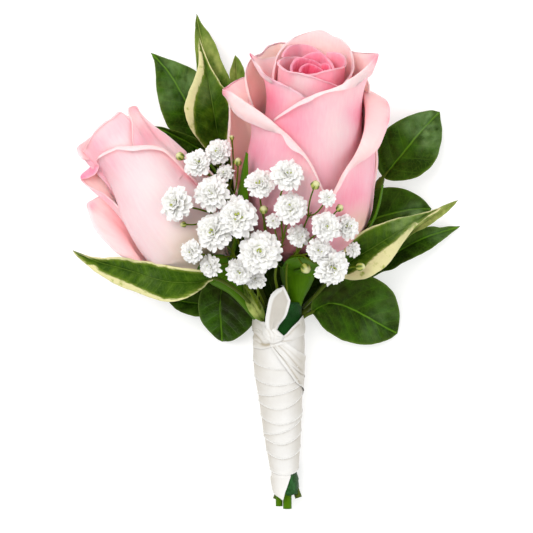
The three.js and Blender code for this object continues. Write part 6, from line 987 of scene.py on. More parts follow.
def petal(name, pd, index):
    big = pd["rose"] == "large"
    if name in HUG:
        pd = dict(pd, hug=HUG[name])
    inner = index < (5 if big else 3)
    nu, n1, n2 = (44, 34, 10) if inner else (74, 46, 14)
    G = petal_grid(pd, nu, n1, n2)
    nv = G.shape[0]
    seed = 100 + index * 7
    step = np.linalg.norm(np.diff(G, axis=0), axis=2)
    dist = np.concatenate([np.zeros((1, nu)), np.cumsum(step, 0)])
    to_rim = dist[-1] - dist                                # mm to the free edge
    across = np.concatenate([np.zeros((nv, 1)), np.cumsum(np.linalg.norm(np.diff(G, axis=1), axis=2), 1)], 1)
    wide = across[n1 - 1, -1]
    uu = np.linspace(0, 1, nu)[None, :] * wide
    dv = unit(np.gradient(G, axis=0))
    # free edge: small uneven bites and waves
    ragged = 0.42 * fbm(uu / 5.0, seed=seed) + 0.16 * fbm(uu / 1.3, seed=seed + 1)
    G = G + dv * (ragged * np.exp(-to_rim / 1.6))[..., None]
    N = grid_normals(G)
    wave = 0.34 * fbm(uu / 3.6, to_rim / 5.0, seed=seed + 2) * np.exp(-to_rim / 2.6)
    amp = 0.10 if inner else 0.26
    mid = sstep(dist / 6.0) * sstep(to_rim / 2.0)
    dent = amp * fbm(uu / 9.0, dist / 11.0, seed=seed + 3) * mid
    ridge = 0.035 * vnoise(uu / 0.9 + 0.3 * vnoise(dist / 6.0, seed=seed), dist / 16.0, seed=seed + 4) * mid
    G = G + N * (wave + dent + ridge)[..., None]
    th = 0.12 + 0.2 * sstep(to_rim / 3.0)
    foot, middle, crest, sides, in_foot, in_crest, warm, cream = TONE[name]
    t = np.clip(dist / np.maximum(dist[n1 - 1], 1e-6), 0, 1)
    out = np.interp(t.ravel(), [0, 0.55, 1.0], [foot, middle, crest]).reshape(t.shape)
    out = out + sides * np.abs(2 * uu / wide - 1) ** 1.6 + 0.05 * fbm(uu / 7.0, dist / 12.0, seed=seed + 5)
    inn = np.interp(t.ravel(), [0, 0.6, 1.0], [in_foot, in_foot * 0.75 + in_crest * 0.25, in_crest]).reshape(t.shape)
    rim = np.exp(-to_rim / 0.5)
    # flush spots: partly the petal's own blush, partly painted shade and painted light
    blush_and_light = np.zeros_like(t)
    px = unproject(G.reshape(-1, 3))
    for fx, fy, fr, f in BLUSH_AND_LIGHT_SPOTS.get(name, ()):
        d2 = ((px - (fx, fy)) ** 2).sum(1).reshape(t.shape) * (S / fr) ** 2
        blush_and_light = blush_and_light + f * np.exp(-d2)
    # painted shade near the calyx, from the spots listed above
    dusk = np.zeros_like(t)
    for fx, fy, fr, f in CALYX_SHADE_SPOTS[pd["rose"]]:
        d2 = ((px - (fx, fy)) ** 2).sum(1).reshape(t.shape) * (S / fr) ** 2
        dusk = np.maximum(dusk, f * np.exp(-d2))
    front = sstep(t, 0.5, 0.8)
    inn = inn + blush_and_light * front
    out = out + blush_and_light * front
    inn = inn * (1 - 0.3 * rim) + 0.10 * rim * fbm(uu / 2.2, seed=seed + 8) + 0.05 * fbm(uu / 5.0, dist / 8.0, seed=seed + 6)
    out = out * (1 - 0.25 * rim)
    fold = sstep(dist, dist[n1 - 1] - 0.4, dist[n1 - 1] + 0.9) * (0 if inner else 1)
    inn = inn + fold * 0.10
    warm_in = warm * (1 - 0.7 * rim) * np.ones_like(t)
    warm_out = 0.12 * warm * sstep(1 - t, 0.3, 1.0)
    cr = cream * sstep(1 - t / 0.42)
    if name in CREAM_SIDE:
        fx, fy, fr, f = CREAM_SIDE[name]
        cr = np.maximum(cr, f * np.exp(-((px - (fx, fy)) ** 2).sum(1).reshape(t.shape) * (S / fr) ** 2))
    zero = np.zeros_like(t)
    V, F, UV, A = thick_grid(G, th, {"blush": (out, inn), "warm": (warm_out, warm_in), "cream": (cr, zero), "dusk": (dusk, dusk)}, N=grid_normals(G))
    uvg = np.stack([np.broadcast_to(uu * 0.1, t.shape), dist * 0.1], -1)
    ring = len(V) - 2 * nv * nu
    ids = np.arange(nv * nu).reshape(nv, nu)
    border = np.concatenate([ids[0, :-1], ids[:-1, -1], ids[-1, :0:-1], ids[:0:-1, 0]])
    flat = uvg.reshape(-1, 2)
    UV = np.concatenate([flat, flat + [7.3, 0], flat[border]])
    A.pop("side")
    o = new_mesh(name + "_look", V, F, A, UV, True, PINK if big else BLUSH)
    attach(o, "root")
    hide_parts(name)
    return o


for i, (name, pd) in enumerate(PETALS.items()):
    petal(name, pd, i if pd["rose"] == "large" else i - 17)


# --------------------------------------------------------------------- hearts
def scroll(R, turns, r0, r1, h0, top, nu, nv, seed, flare=0.35, phi0=0.0, wobble=0.12):
    """A rolled petal: a sheet that winds outwards round the axis."""
    w = np.linspace(0, 1, nu)[None, :]
    t = np.linspace(0, 1, nv)[:, None]
    phi = phi0 + 360.0 * turns * w
    r = r0 + (r1 - r0) * w
    hh = top - 1.8 * w ** 2 + 0.5 * fbm(w * turns * 5, seed=seed) + 0.25 * fbm(w * turns * 17, seed=seed + 1)
    h = h0 + (hh - h0) * t
    rr = r * (0.8 + 0.2 * t) + flare * sstep(t, 0.86, 1.0) + wobble * fbm(phi / 50, h / 3, seed=seed + 2) * t
    return R.pos(phi + 0 * t, h, rr), w, t


def heart(name, R, sheets, core, mat):
    parts = Parts(("blush", "warm", "cream"))
    pts = np.array([R.pos(0, q[0], 0) for q in core])
    V, F, UV, _ = tube(pts, [q[1] for q in core], 20)
    parts.add(V, F, UV, blush=0.9, warm=0.1)
    for G, w, t, b0, b1 in sheets:
        nv, nu = G.shape[:2]
        rim = np.exp(-(1 - t) * 14)
        bl = (b0 + (b1 - b0) * t) * (1 - 0.55 * rim) + 0 * w
        V, F, UV, A = thick_grid(G, 0.2, {"blush": (bl, bl + 0.12)})
        parts.add(V, F, UV * 0.6, blush=A["blush"], warm=0.06)
    o = parts.make(name + "_look", mat)
    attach(o, "root")
    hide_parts(name)


RL, RS = BLOOM["large"], BLOOM["small"]
sheets = []
for G, w, t in (scroll(RL, 1.6, 0.35, 1.7, 38, 55.3, 90, 24, 900, 0.25, 40),
                scroll(RL, 0.8, 1.9, 2.5, 38, 54.9, 50, 22, 905, 0.4, 160),
                scroll(RL, 0.75, 2.2, 3.1, 36, 54.3, 50, 22, 910, 0.45, -30),
                scroll(RL, 0.6, 2.8, 3.6, 36, 53.5, 44, 22, 915, 0.5, 100)):
    sheets.append((G, w, t, 1.0, 0.94))
heart("rose_large_heart", RL, sheets, [[0.4, 0.9], [12, 1.1], [24, 1.6], [36, 1.5], [44, 0.7]], PINK)


def bud_sheet(R, phi0, phi1, prof, lift, top, seed, nu=46, nv=40):
    """A petal of a closed bud, lying on the profile prof."""
    w, t = np.linspace(0, 1, nu)[None, :], np.linspace(0, 1, nv)[:, None]
    edge = 1 - 0.25 * np.abs(2 * w - 1) ** 2.5
    h = 1.0 + (top * edge - 1.0) * t + 0.3 * fbm(w * 6, seed=seed) * t ** 4
    r = np.interp(h.ravel(), prof[:, 0], prof[:, 1]).reshape(h.shape) + lift * (0.3 + 0.7 * w)
    r = r + 0.35 * np.exp(-(1 - t) * 12) + 0.1 * fbm(w * 3, t * 3, seed=seed + 1)
    return R.pos(phi0 + (phi1 - phi0) * w + 0 * t, h, np.maximum(r, 0.25)), w, t


prof = np.array([[0, 0.8], [4, 1.6], [9, 3.4], [16, 5.4], [26, 6.1], [35, 5.6], [41, 4.0], [45, 1.9], [47, 0.6]])
sheets = []
for i, (a, b, lift, top) in enumerate([(-60, 130, -0.7, 46.2), (60, 260, -0.35, 45.8), (180, 370, 0.0, 45.2), (-80, 90, 0.3, 44.2)]):
    G, w, t = bud_sheet(RS, a, b, prof, lift, top, 940 + 5 * i)
    sheets.append((G, w, t, 0.6, 0.72))
heart("rose_small_heart", RS, sheets, [[0.4, 0.8], [9, 1.4], [26, 2.2], [38, 1.6]], BLUSH)


# ---------------------------------------------------------------- green pieces
DARK = leaf_material("leaf_green", hue(10, 40, 0), hue(46, 90, 6), hue(96, 144, 30), hue(84, 118, 58), hue(116, 150, 92),
                     edge=hue(96, 122, 44), rib_w=(0.018, 0.052))
LIGHT_LEAF = leaf_material("leaf_green_light", hue(44, 84, 10), hue(98, 134, 32), hue(140, 160, 74), hue(104, 136, 70), hue(176, 186, 104),
                           edge=hue(120, 140, 60))
# painted shade: a darker copy of the leaf material for the leaves that lie in shade behind the bunch
SHADE_LEAF = leaf_material("leaf_green_shade", hue(6, 24, 0), hue(34, 62, 4), hue(60, 90, 20), hue(40, 70, 20), hue(60, 90, 20),
                           edge=hue(50, 80, 20))
VARIEGATED = leaf_material("leaf_variegated", hue(30, 66, 2), hue(72, 106, 16), hue(106, 138, 48), hue(120, 140, 84), hue(130, 156, 88),
                           cream=hue(232, 226, 170), cream_spot=hue(150, 168, 60), spacing=3.2)
STALK = stem_material("stem_green", hue(38, 80, 0), hue(88, 136, 6), hue(150, 124, 56))
STALK_DARK = stem_material("stem_green_dark", hue(44, 72, 14), hue(92, 104, 34), hue(150, 96, 44))
SPRAY_STALK = stem_material("stem_green_pale", hue(54, 78, 4), hue(116, 134, 22), hue(150, 160, 90))

# cream part of the variegated leaves: boundary on the sheet, and on which side
# of the midrib it lies; rim is the width of the thin cream rim elsewhere, mm
CREAM = {
    "leaf_variegated_right": {"line": [[414.9, 222.5], [403.4, 234], [391.9, 244.3], [382.7, 250], [371.2, 260.4], [364.3, 267.3], [350, 274]], "side": 1, "rim": 0.9},
    "leaf_variegated_left": {"line": [[95.8, 265.8], [99, 270.7], [117.5, 278.8], [130.5, 284.2], [144.6, 290.7], [154.3, 295], [164.1, 298.8], [177, 299.4], [192, 295]], "side": -1, "rim": 0.8},
    "leaf_variegated_upper": {"line": [[202, 52.9], [203.5, 68], [202, 77.9], [198.6, 86.8], [195, 97.5], [193.2, 110], [193.7, 124.3], [196, 138]], "side": -1, "rim": 0.8},
}


# painted highlights (+) and painted shade (-) on the leaves: place on the sheet, radius in mm, amount
LEAF_LIGHT_AND_SHADE = {
    "leaf_upper_left": [(172, 65, 3.5, 0.45), (191, 82, 4.0, 0.50), (165, 97, 4.0, 0.32), (186, 128, 6.0, -0.5), (204, 112, 3.0, 0.3), (176, 108, 3.0, 0.2)],
    "leaf_variegated_upper": [(205, 92, 3.0, 0.40), (213, 75, 3.0, 0.2), (222, 124, 6.0, -0.55), (204, 128, 4.0, -0.3), (206, 108, 3.0, 0.25)],
    "leaf_upper_back": [(210, 46, 5.0, 0.45), (219, 72, 4.0, 0.40), (226, 104, 6.0, -0.4), (200, 45, 1.6, 0.6), (216, 60, 2.5, 0.3)],
    "leaf_bud_top": [(232, 72, 3.0, 0.5)],
    "leaf_dark_left": [(196, 147, 6.0, -0.55), (172, 131, 4.0, -0.1)],
    "leaf_upper_right": [(421, 119, 5.0, 0.50), (433, 138, 4.5, 0.50), (390, 150, 5.0, -0.35), (405, 128, 4.0, 0.1)],
    "leaf_middle_right": [(376, 203, 5.0, -0.6), (404, 222, 4.0, 0.6), (417, 214, 3.0, 0.6), (396, 199, 4.0, -0.15)],
    "leaf_variegated_right": [(362, 243, 4.0, -0.5), (402, 222, 5.0, 0.50), (412, 217, 3.0, 0.3), (384, 232, 3.0, -0.1)],
    "leaf_right_behind": [(440, 210, 6.0, 0.7), (398, 236, 4.0, 0.6), (421, 222, 4.0, 0.6)],
    "leaf_right_lower": [(408, 252, 5.0, -0.6), (386, 265, 4.0, -0.3), (436, 231, 4.0, 0.35)],
    "leaf_lower_right": [(328, 292, 6.0, -0.7), (352, 290, 5.0, -0.35), (342, 326, 5.0, -0.2), (384, 305, 5.0, 0.22), (370, 330, 4.0, 0.2)],
    "leaf_left_under": [(216, 296, 5.0, -0.6), (185, 307, 3.0, -0.5)],
    "leaf_lower_left": [(240, 300, 6.5, -1.0), (212, 290, 4.0, -0.45), (234, 314, 4.0, -0.4), (210, 316, 4.0, 0.15)],
    "leaf_variegated_left": [(199, 288, 3.0, -0.35), (132, 268, 4.0, -0.2), (148, 280, 3.0, 0.2)],
    "leaf_small_centre": [(252, 306, 2.2, 1.0), (256, 313, 1.5, 0.8)],
}


def leaf_grid(ld, nu, nv):
    M = np.array([P(*q) for q in ld["M"]])
    Mp = crs(M, arc_params(M, nv))

    def edge(key):
        E = np.array(ld[key], float)
        q = crs(E, arc_params(E, nv, dims=2))
        return np.array([P(q[j, 0], q[j, 1], Mp[j, 2] + q[j, 2]) for j in range(nv)])

    L, R = edge("L"), edge("R")
    w = np.linspace(-1, 1, nu)
    w = np.sign(w) * np.abs(w) ** 1.12
    G = np.zeros((nv, nu, 3))
    for i, x in enumerate(w):
        E, a = (L if x < 0 else R), abs(x)
        G[:, i] = Mp + (E - Mp) * a
        G[:, i, 2] += ld["camber"] * 2.2 * a * (1 - a) * np.minimum(1, np.linalg.norm(E - Mp, axis=1) / 6.0)
    half = np.where(w[None, :] < 0, np.linalg.norm(L - Mp, axis=1)[:, None], np.linalg.norm(R - Mp, axis=1)[:, None])
    along = np.concatenate([[0], np.cumsum(np.linalg.norm(np.diff(Mp, axis=0), axis=1))])
    return G, w, half, along


def polyline_distance(pts, q):
    """Distance of points q (n, 2) from a polyline, and which side they lie on."""
    best = np.full(len(q), 1e9)
    side = np.zeros(len(q))
    for a, b in zip(pts[:-1], pts[1:]):
        d = b - a
        t = np.clip(((q - a) @ d) / (d @ d), 0, 1)
        near = a + t[:, None] * d
        r = np.linalg.norm(q - near, axis=1)
        s = d[0] * (q[:, 1] - a[1]) - d[1] * (q[:, 0] - a[0])
        upd = r < best
        best[upd], side[upd] = r[upd], np.sign(s[upd])
    return best, side


def leaf(name, ld, index):
    varie = name in CREAM
    nu, nv = (53, 91) if varie else (37, 61)
    G, w, half, along = leaf_grid(ld, nu, nv)
    seed = 300 + 11 * index
    length = along[-1]
    S_ = along[:, None] + 0 * w[None, :]
    out = np.abs(w)[None, :] * half                          # mm from the midrib
    sgn = np.sign(w)[None, :]
    spacing, slant = (3.2 if varie else 4.2), 0.85
    warp = 0.5 * fbm(S_ / 7, out / 5, seed=seed)
    q = (S_ - slant * out + sgn * spacing * 0.22 + warp) / spacing
    tri = np.abs(q - np.round(q))
    env = sstep(out / 1.2) * sstep((half - out) / 1.6) * sstep(S_ / 3.0) * sstep((length - S_) / 4.0)
    N = grid_normals(G)
    quilt = (0.20 if not varie else 0.10) * (sstep(tri / 0.3) - 0.7) * env
    groove = -0.26 * np.exp(-(out / 0.55) ** 2) * sstep((length - S_) / 3.0)
    a = np.abs(w)[None, :]
    wave = 0.42 * fbm(S_ / 10, sgn * 3.0, seed=seed + 2) * a ** 2 + 0.16 * fbm(S_ / 3.6, sgn * 5.0, seed=seed + 3) * a ** 4
    G = G + N * (quilt + groove + wave * sstep((length - S_) / 3.0))[..., None]
    # margin: small unevenness in the plane of the leaf
    outward = unit(np.gradient(G, axis=1)) * sgn[..., None]
    rag = 0.16 * fbm(S_ / 1.7, sgn * 2.0, seed=seed + 5) * a ** 10
    G = G + outward * rag[..., None]
    G[..., 2] = np.maximum(G[..., 2], 0.16)
    th = (0.16 + 0.14 * sstep((half - out) / 1.2)) + 0.34 * np.exp(-(out / 0.6) ** 2) * sstep((length - S_) / (0.4 * length))
    edge = np.exp(-(half - out) / 0.22)
    # painted highlights (+) and painted shade (-) from the spots of each leaf, mottled
    tone = np.zeros_like(out)
    px = unproject(G.reshape(-1, 3))
    for fx, fy, fr, f in LEAF_LIGHT_AND_SHADE.get(name, ()):
        tone = tone + f * np.exp(-((px - (fx, fy)) ** 2).sum(1).reshape(out.shape) * (S / fr) ** 2)
    tone = tone * np.clip(0.85 + 1.1 * fbm(S_ / 1.9, out / 1.5, sgn, seed=seed + 9), 0, 2)
    attrs = {"fade": env * (0.55 + 0.45 * sstep((half - out) / 3.0)), "edge": edge * 0.8,
             "glow": np.clip(tone, 0, 1), "deep": np.clip(-tone, 0, 1)}
    if varie:
        c = CREAM[name]
        px = unproject(G.reshape(-1, 3))
        d, s = polyline_distance(np.array(c["line"], float), px)
        # the cream lies between the line and the margin on its side
        line = np.array(c["line"], float)
        t = np.linspace(0, 1, 60)
        lp = crs(line, t)
        dd = np.linalg.norm(px[:, None, :] - lp[None], axis=2)
        near = lp[dd.argmin(1)]
        Mp = unproject(G[:, nu // 2])
        j = np.repeat(np.arange(nv), nu)
        mid = Mp[j]
        inside = np.linalg.norm(px - mid, axis=1) > np.linalg.norm(near - mid, axis=1)
        sd = np.where(inside, d, -d).reshape(nv, nu) * S
        onside = (sgn == c["side"])
        rim = c["rim"] * (0.7 + 0.5 * fbm(S_ / 6, sgn, seed=seed + 7)) - (half - out)
        creamd = np.where(onside, np.maximum(sd, rim * 0.6 - 0.2), rim - 0.15)
        attrs["creamd"] = np.clip(creamd, -4, 4)
    V, F, UV, A = thick_grid(G, th, attrs, N=grid_normals(G))
    flat = np.stack([S_ * 0.1 + 3.1 * index, (sgn * out) * 0.1], -1)
    ids = np.arange(nv * nu).reshape(nv, nu)
    border = np.concatenate([ids[0, :-1], ids[:-1, -1], ids[-1, :0:-1], ids[:0:-1, 0]])
    flat2 = flat.reshape(-1, 2)
    UV = np.concatenate([flat2, flat2, flat2[border]])
    keys = ["side", "fade", "edge", "cut", "glow", "deep"] + (["creamd"] if varie else [])
    parts = Parts(keys)
    parts.add(V, F, UV, 0, **{k: A[k] for k in A if k in keys})
    pet = PETIOLES[name]
    pts = np.array([P(*q[0]) for q in pet])
    into = [P(*q) for q in ld["M"]]
    more = np.array([into[1] * 0.35 + into[0] * 0.65])
    rad = np.array([q[1] for q in pet]) * 0.86
    pts = np.concatenate([more, pts])
    rad = np.concatenate([[0.3], rad])
    n = 8 * len(pts)
    t = np.linspace(0, 1, n)
    tp, tr = crs(pts, t), np.interp(t, np.linspace(0, 1, len(rad)), rad)
    tp[:, 2] = np.maximum(tp[:, 2], tr + 0.02)
    V, F, UV, _ = tube(tp, tr, 10)
    parts.add(V, F, UV, 1)
    mat = VARIEGATED if varie else LIGHT_LEAF if name in ("leaf_small_centre", "leaf_bud_top", "leaf_upper_back", "leaf_right_behind") else SHADE_LEAF if "back_" in name else DARK
    o = parts.make(name + "_look", [mat, STALK_DARK])
    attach(o, "root")
    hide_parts(name)


for i, (name, ld) in enumerate(LEAVES.items()):
    leaf(name, ld, i)


# ---------------------------------------------------------------- rose stems
def sepal(R, rows, seed, nu=9, nv=34):
    rows = np.array(rows, float)
    t = np.linspace(0, 1, nv)
    q = crs(rows, t)
    pts = np.array([R.pos(r[0], r[1], r[2]) for r in q])
    tan = unit(np.gradient(pts, axis=0))
    out = np.array([R.pos(r[0], 0, 1) - R.B for r in q])
    side = unit(np.cross(tan, out))
    w = np.linspace(-1, 1, nu)
    half = np.maximum(q[:, 3], 0.12) * (1 + (0.10 if nu < 12 else 0.02) * np.sin(t * 40 + seed) * sstep(t, 0.3, 0.9))
    G = pts[:, None] - side[:, None] * (w[None, :, None] * half[:, None, None])
    nrm = unit(np.cross(tan, side)) * -1
    G = G - out[:, None] * (0.16 * half[:, None, None] * (w ** 2)[None, :, None]) + out[:, None] * (0.14 * np.exp(-(w * 3) ** 2))[None, :, None]
    return G, w, t


# the cup of each calyx at the front: rows like the sepals
CUP = {"large": [[4, -2.6, 4.9, 3.6], [4, -0.4, 5.5, 4.6], [4, 1.2, 7.2, 4.9], [4, 3.0, 10.0, 4.9], [4, 5.2, 12.9, 4.9], [4, 7.4, 14.9, 4.4], [4, 8.8, 15.8, 3.0], [4, 9.4, 16.2, 1.4]],
       "small": [[-6, -2.4, 4.2, 2.8], [-6, -0.6, 4.9, 4.0], [-6, 1.0, 6.9, 4.6], [-6, 2.4, 9.0, 4.6], [-6, 3.6, 10.7, 3.8], [-6, 4.4, 11.6, 2.6], [-6, 4.9, 12.2, 1.2]]}


def stem(name, mat, sides, sepals=None, R=None, seed=0):
    rows = STEMS[name]
    ctrl = np.array([P(*q[0]) for q in rows])
    rad = np.array([q[1] for q in rows])
    n = 10 * len(rows)
    t = np.linspace(0, 1, n)
    pts, r = crs(ctrl, t), np.interp(t, np.linspace(0, 1, len(rad)), rad)
    r = np.convolve(np.pad(r, 3, "edge"), np.ones(7) / 7, "valid")
    s = np.concatenate([[0], np.cumsum(np.linalg.norm(np.diff(pts, axis=0), axis=1))])
    if sepals is None:
        r = r * (1 + 0.28 * np.exp(-((s % 17) - 8) ** 2 / 1.2))          # nodes
    end = unit(pts[-1] - pts[-2])
    pts = np.concatenate([pts, [pts[-1] + end * 0.001, pts[-1] + end * 0.002]])
    r = np.concatenate([r, [r[-1] * 0.93, r[-1] * 0.55]])
    V, F, UV, along = tube(pts, r, sides)
    wob = 1 + 0.03 * fbm(V[:, 0] / 1.5, V[:, 1] / 4.0, V[:, 2] / 1.5, seed=seed)
    cut = (along > s[-1] + 0.0005).astype(float)
    parts = Parts(("cut",))
    parts.add(V, F, UV, cut=cut)
    if sepals:
        sepals = list(sepals) + [CUP["large" if R is RL else "small"]]
    for i, rows in enumerate(sepals or []):
        cup = i == len(sepals) - 1
        G, w, tt = sepal(R, rows, seed + i, 21 if cup else 9)
        V, F, UV, A = thick_grid(G, 0.3)
        parts.add(V, F, UV * [0.3, 1.2])
    o = parts.make(name + "_look", mat)
    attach(o, "root")
    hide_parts(name)


stem("rose_large_stem", STALK, 24, SEPALS["large"], RL, 500)
stem("rose_small_stem", STALK, 24, SEPALS["small"], RS, 520)
stem("foliage_stem_right", STALK_DARK, 12, seed=540)
stem("foliage_stem_left", STALK_DARK, 12, seed=560)


# ------------------------------------------------------------ blossom sprays
def white_material():
    m = Mat("blossom_white", Roughness=0.6, Subsurface_Weight=0.3, Subsurface_Scale=0.0012,
            Subsurface_Radius=(1.0, 1.0, 0.8), Specular_IOR_Level=0.3)
    k = m.attr("green")
    n = m.noise(m.place(), 900.0, 3.0, 0.6)
    c = m.mix(m.step(n, 0.3, 0.75), (0.89, 0.89, 0.88, 1.0), (0.85, 0.85, 0.82, 1.0))
    # painted shade: grey-cream towards each petal's base and along its side edges, where the petals shade one another
    c = m.mix(m.attr("grey"), c, hue(206, 202, 176))
    c = m.mix(k, c, hue(166, 178, 40))
    m.to("Base Color", c)
    u, v, _ = m.split(m.uv())
    f = m.noise(m.join(m.math("MULTIPLY", u, 7.0), m.math("MULTIPLY", v, 1.2)), 2.0, 2.0, 0.5)
    m.to("Normal", m.bump(f, 0.00008, 0.6))
    return m.m


def bud_material():
    m = Mat("bud_green", Roughness=0.5, Specular_IOR_Level=0.3)
    u, v, _ = m.split(m.uv())
    stripe = m.math("PINGPONG", m.math("MULTIPLY", u, 5.0), 0.5)
    n = m.math("MULTIPLY", m.math("SUBTRACT", m.noise(m.place(), 900.0, 2.0), 0.5), 0.2)
    k = m.step(m.math("ADD", stripe, n), 0.12, 0.34)
    c = m.mix(k, hue(86, 112, 14), hue(186, 192, 96))
    c = m.mix(m.attr("green"), c, hue(226, 226, 170))
    m.to("Base Color", c)
    return m.m


WHITE, BUD = white_material(), bud_material()


def frame_of(axis, spin=0.0):
    axis = unit(np.asarray(axis, float))
    s = np.cross(axis, [0.0, 1.0, 0.0] if abs(axis[1]) < 0.9 else [1.0, 0, 0])
    s = s / np.linalg.norm(s)
    w = np.cross(axis, s)
    c, d = math.cos(spin), math.sin(spin)
    return s * c + w * d, w * c - s * d, axis


NOTCH = np.array([0.76, 0.93, 1.0, 0.96, 1.0, 0.93, 0.76])
HALF = np.array([-1, -0.66, -0.33, 0, 0.33, 0.66, 1.0])


def floret_petal(c, e, side, axis, L, W, b0, b1, cup, curl, rng):
    """One small notched petal from c, out along e, rising from angle b0 to b1."""
    nt = 6
    t = np.linspace(0, 1, nt)
    beta = np.radians(b0 + (b1 - b0) * t ** 0.85)
    ds = L / (nt - 1)
    r = np.concatenate([[0], np.cumsum(np.cos(beta[:-1]) * ds)])
    z = np.concatenate([[0], np.cumsum(np.sin(beta[:-1]) * ds)])
    wid = W * np.array([0.20, 0.46, 0.84, 1.06, 1.08, 0.86]) * 0.5
    notch = NOTCH + rng.uniform(-0.04, 0.04, 7)
    G = np.zeros((nt, 7, 3))
    for j in range(nt):
        f = 1.0 if j < 3 else 1 + (notch - 1) * ((j - 2) / (nt - 3.0))
        rr = r[2] + (r[j] - r[2]) * f if j > 2 else r[j] + 0 * HALF
        zz = z[2] + (z[j] - z[2]) * f if j > 2 else z[j] + 0 * HALF
        lift = cup * wid[j] * HALF ** 2 + curl * (j / (nt - 1.0)) ** 3 * L * np.sin(HALF * 2.6 + rng.uniform(0, 6)) * 0.07
        nx, nz = -math.sin(beta[j]), math.cos(beta[j])
        G[j] = c + e[None] * (rr + nx * lift)[:, None] + axis[None] * (zz + nz * lift)[:, None] + side[None] * (wid[j] * HALF)[:, None]
    return G


def blossom(parts, c, r, axis, seed):
    rng = np.random.RandomState(seed)
    big = r > 3.2
    whorls = [  # number, length, width, first and last rise, base height
        (17 if big else 12, 1.14, 0.42, 34, -20, -0.26),
        (14 if big else 10, 1.00, 0.42, 46, -2, -0.16),
        (11 if big else 7, 0.80, 0.40, 56, 20, -0.08),
        (7 if big else 5, 0.56, 0.36, 66, 36, 0.0),
        (4 if big else 3, 0.34, 0.28, 80, 60, 0.02)]
    s, w, a = frame_of(axis, rng.uniform(0, 6.28))
    for k, (n, L, W, b0, b1, hb) in enumerate(whorls):
        ph0 = rng.uniform(0, 6.28)
        for i in range(n):
            if k > 2 and rng.uniform() < 0.12:
                continue
            ph = ph0 + 6.2832 * (i + rng.uniform(-0.2, 0.2)) / n
            e = s * math.cos(ph) + w * math.sin(ph)
            tw = rng.uniform(-0.3, 0.3)
            sd = -s * math.sin(ph) + w * math.cos(ph)
            side = sd * math.cos(tw) + a * math.sin(tw)
            ln = r * L * rng.uniform(0.88, 1.05)
            G = floret_petal(c + a * r * hb, e, side, a, ln, r * W * rng.uniform(0.85, 1.2),
                             b0 + rng.uniform(-8, 8), b1 + rng.uniform(-13, 13), rng.uniform(0.45, 0.95) * (1 if rng.uniform() < 0.86 else -0.5),
                             rng.uniform(0.5, 1.3), rng)
            nv = G.shape[0]
            t = np.linspace(0, 1, nv)[:, None] + 0 * HALF[None]
            green = (0.75 if k > 1 else 0.5) * np.clip(1.1 - t / (0.36 if k > 1 else 0.30), 0, 1)
            # painted shade towards the base and along the side edges of each petal
            grey = np.clip(0.9 - t / 0.75, 0, 1) * 0.55 + 0.35 * np.abs(HALF[None]) ** 5 * (t < 0.99)
            V, F, UV, A = thick_grid(G, 0.085, {"green": green, "grey": np.clip(grey, 0, 0.8)})
            parts.add(V, F, UV, 0, green=A["green"], grey=A["grey"])
    # green heart: a few pistils, off the middle
    for i in range(5 if big else 3):
        ph, d = rng.uniform(0, 6.28), r * rng.uniform(0.04, 0.30)
        foot = c + (s * math.cos(ph) + w * math.sin(ph)) * d
        top = foot + a * r * rng.uniform(0.30, 0.42) + s * r * rng.uniform(-0.05, 0.05)
        q = np.linspace(0, 1, 6)
        V, F, UV, _ = tube(foot + (top - foot) * q[:, None], r * np.array([0.03, 0.035, 0.04, 0.055, 0.07, 0.045]), 7)
        parts.add(V, F, UV, 0, green=0.95)
    # cup under the blossom
    prof = [(-0.62, 0.05), (-0.56, 0.16), (-0.42, 0.27), (-0.24, 0.31), (-0.10, 0.30), (-0.04, 0.2), (-0.08, 0.05)]
    n = 10
    ang = np.arange(n) * 2 * np.pi / n
    rings = [c + a * (h * r) + (np.cos(ang)[:, None] * s + np.sin(ang)[:, None] * w) * (q * r) for h, q in prof]
    V = np.concatenate(rings + [[c + a * (-0.64 * r)], [c + a * (-0.06 * r)]])
    ids = np.arange(len(prof) * n).reshape(-1, n)
    F = np.stack([ids[:-1], np.roll(ids, -1, 1)[:-1], np.roll(ids, -1, 1)[1:], ids[1:]], -1).reshape(-1, 4).tolist()
    k = len(prof) * n
    F += [[k, (j + 1) % n, j] for j in range(n)] + [[k + 1, k - n + j, k - n + (j + 1) % n] for j in range(n)]
    parts.add(V, F, None, 1)


def bud(parts, c, r, axis, seed):
    rng = np.random.RandomState(seed)
    s, w, a = frame_of(axis, rng.uniform(0, 6))
    n, m = 15, 10
    ang = np.arange(n) * 2 * np.pi / n
    V, UV, green = [], [], []
    for j in range(m + 1):
        q = j / m
        h = -1.08 + 2.16 * q
        rad = math.sqrt(max(0, 1 - (h / 1.1) ** 2)) * (1 - 0.12 * q)
        rib = 1 + 0.07 * np.cos(ang * 5)
        V.append(c + a * (h * r) + (np.cos(ang)[:, None] * s + np.sin(ang)[:, None] * w) * (max(rad, 0.03) * r * rib)[:, None])
        UV.append(np.stack([ang / 6.28318, np.full(n, q)], -1))
        green.append(np.full(n, float(sstep(q, 0.72, 0.98))))
    V = np.concatenate(V + [[c - a * r * 1.09], [c + a * r * 1.09]])
    ids = np.arange((m + 1) * n).reshape(-1, n)
    F = np.stack([ids[:-1], np.roll(ids, -1, 1)[:-1], np.roll(ids, -1, 1)[1:], ids[1:]], -1).reshape(-1, 4).tolist()
    k = (m + 1) * n
    F += [[k, (j + 1) % n, j] for j in range(n)] + [[k + 1, k - n + j, k - n + (j + 1) % n] for j in range(n)]
    parts.add(V, F, np.concatenate(UV + [[[0, 0]], [[0, 1]]]), 2, green=np.concatenate(green + [[0], [1]]))


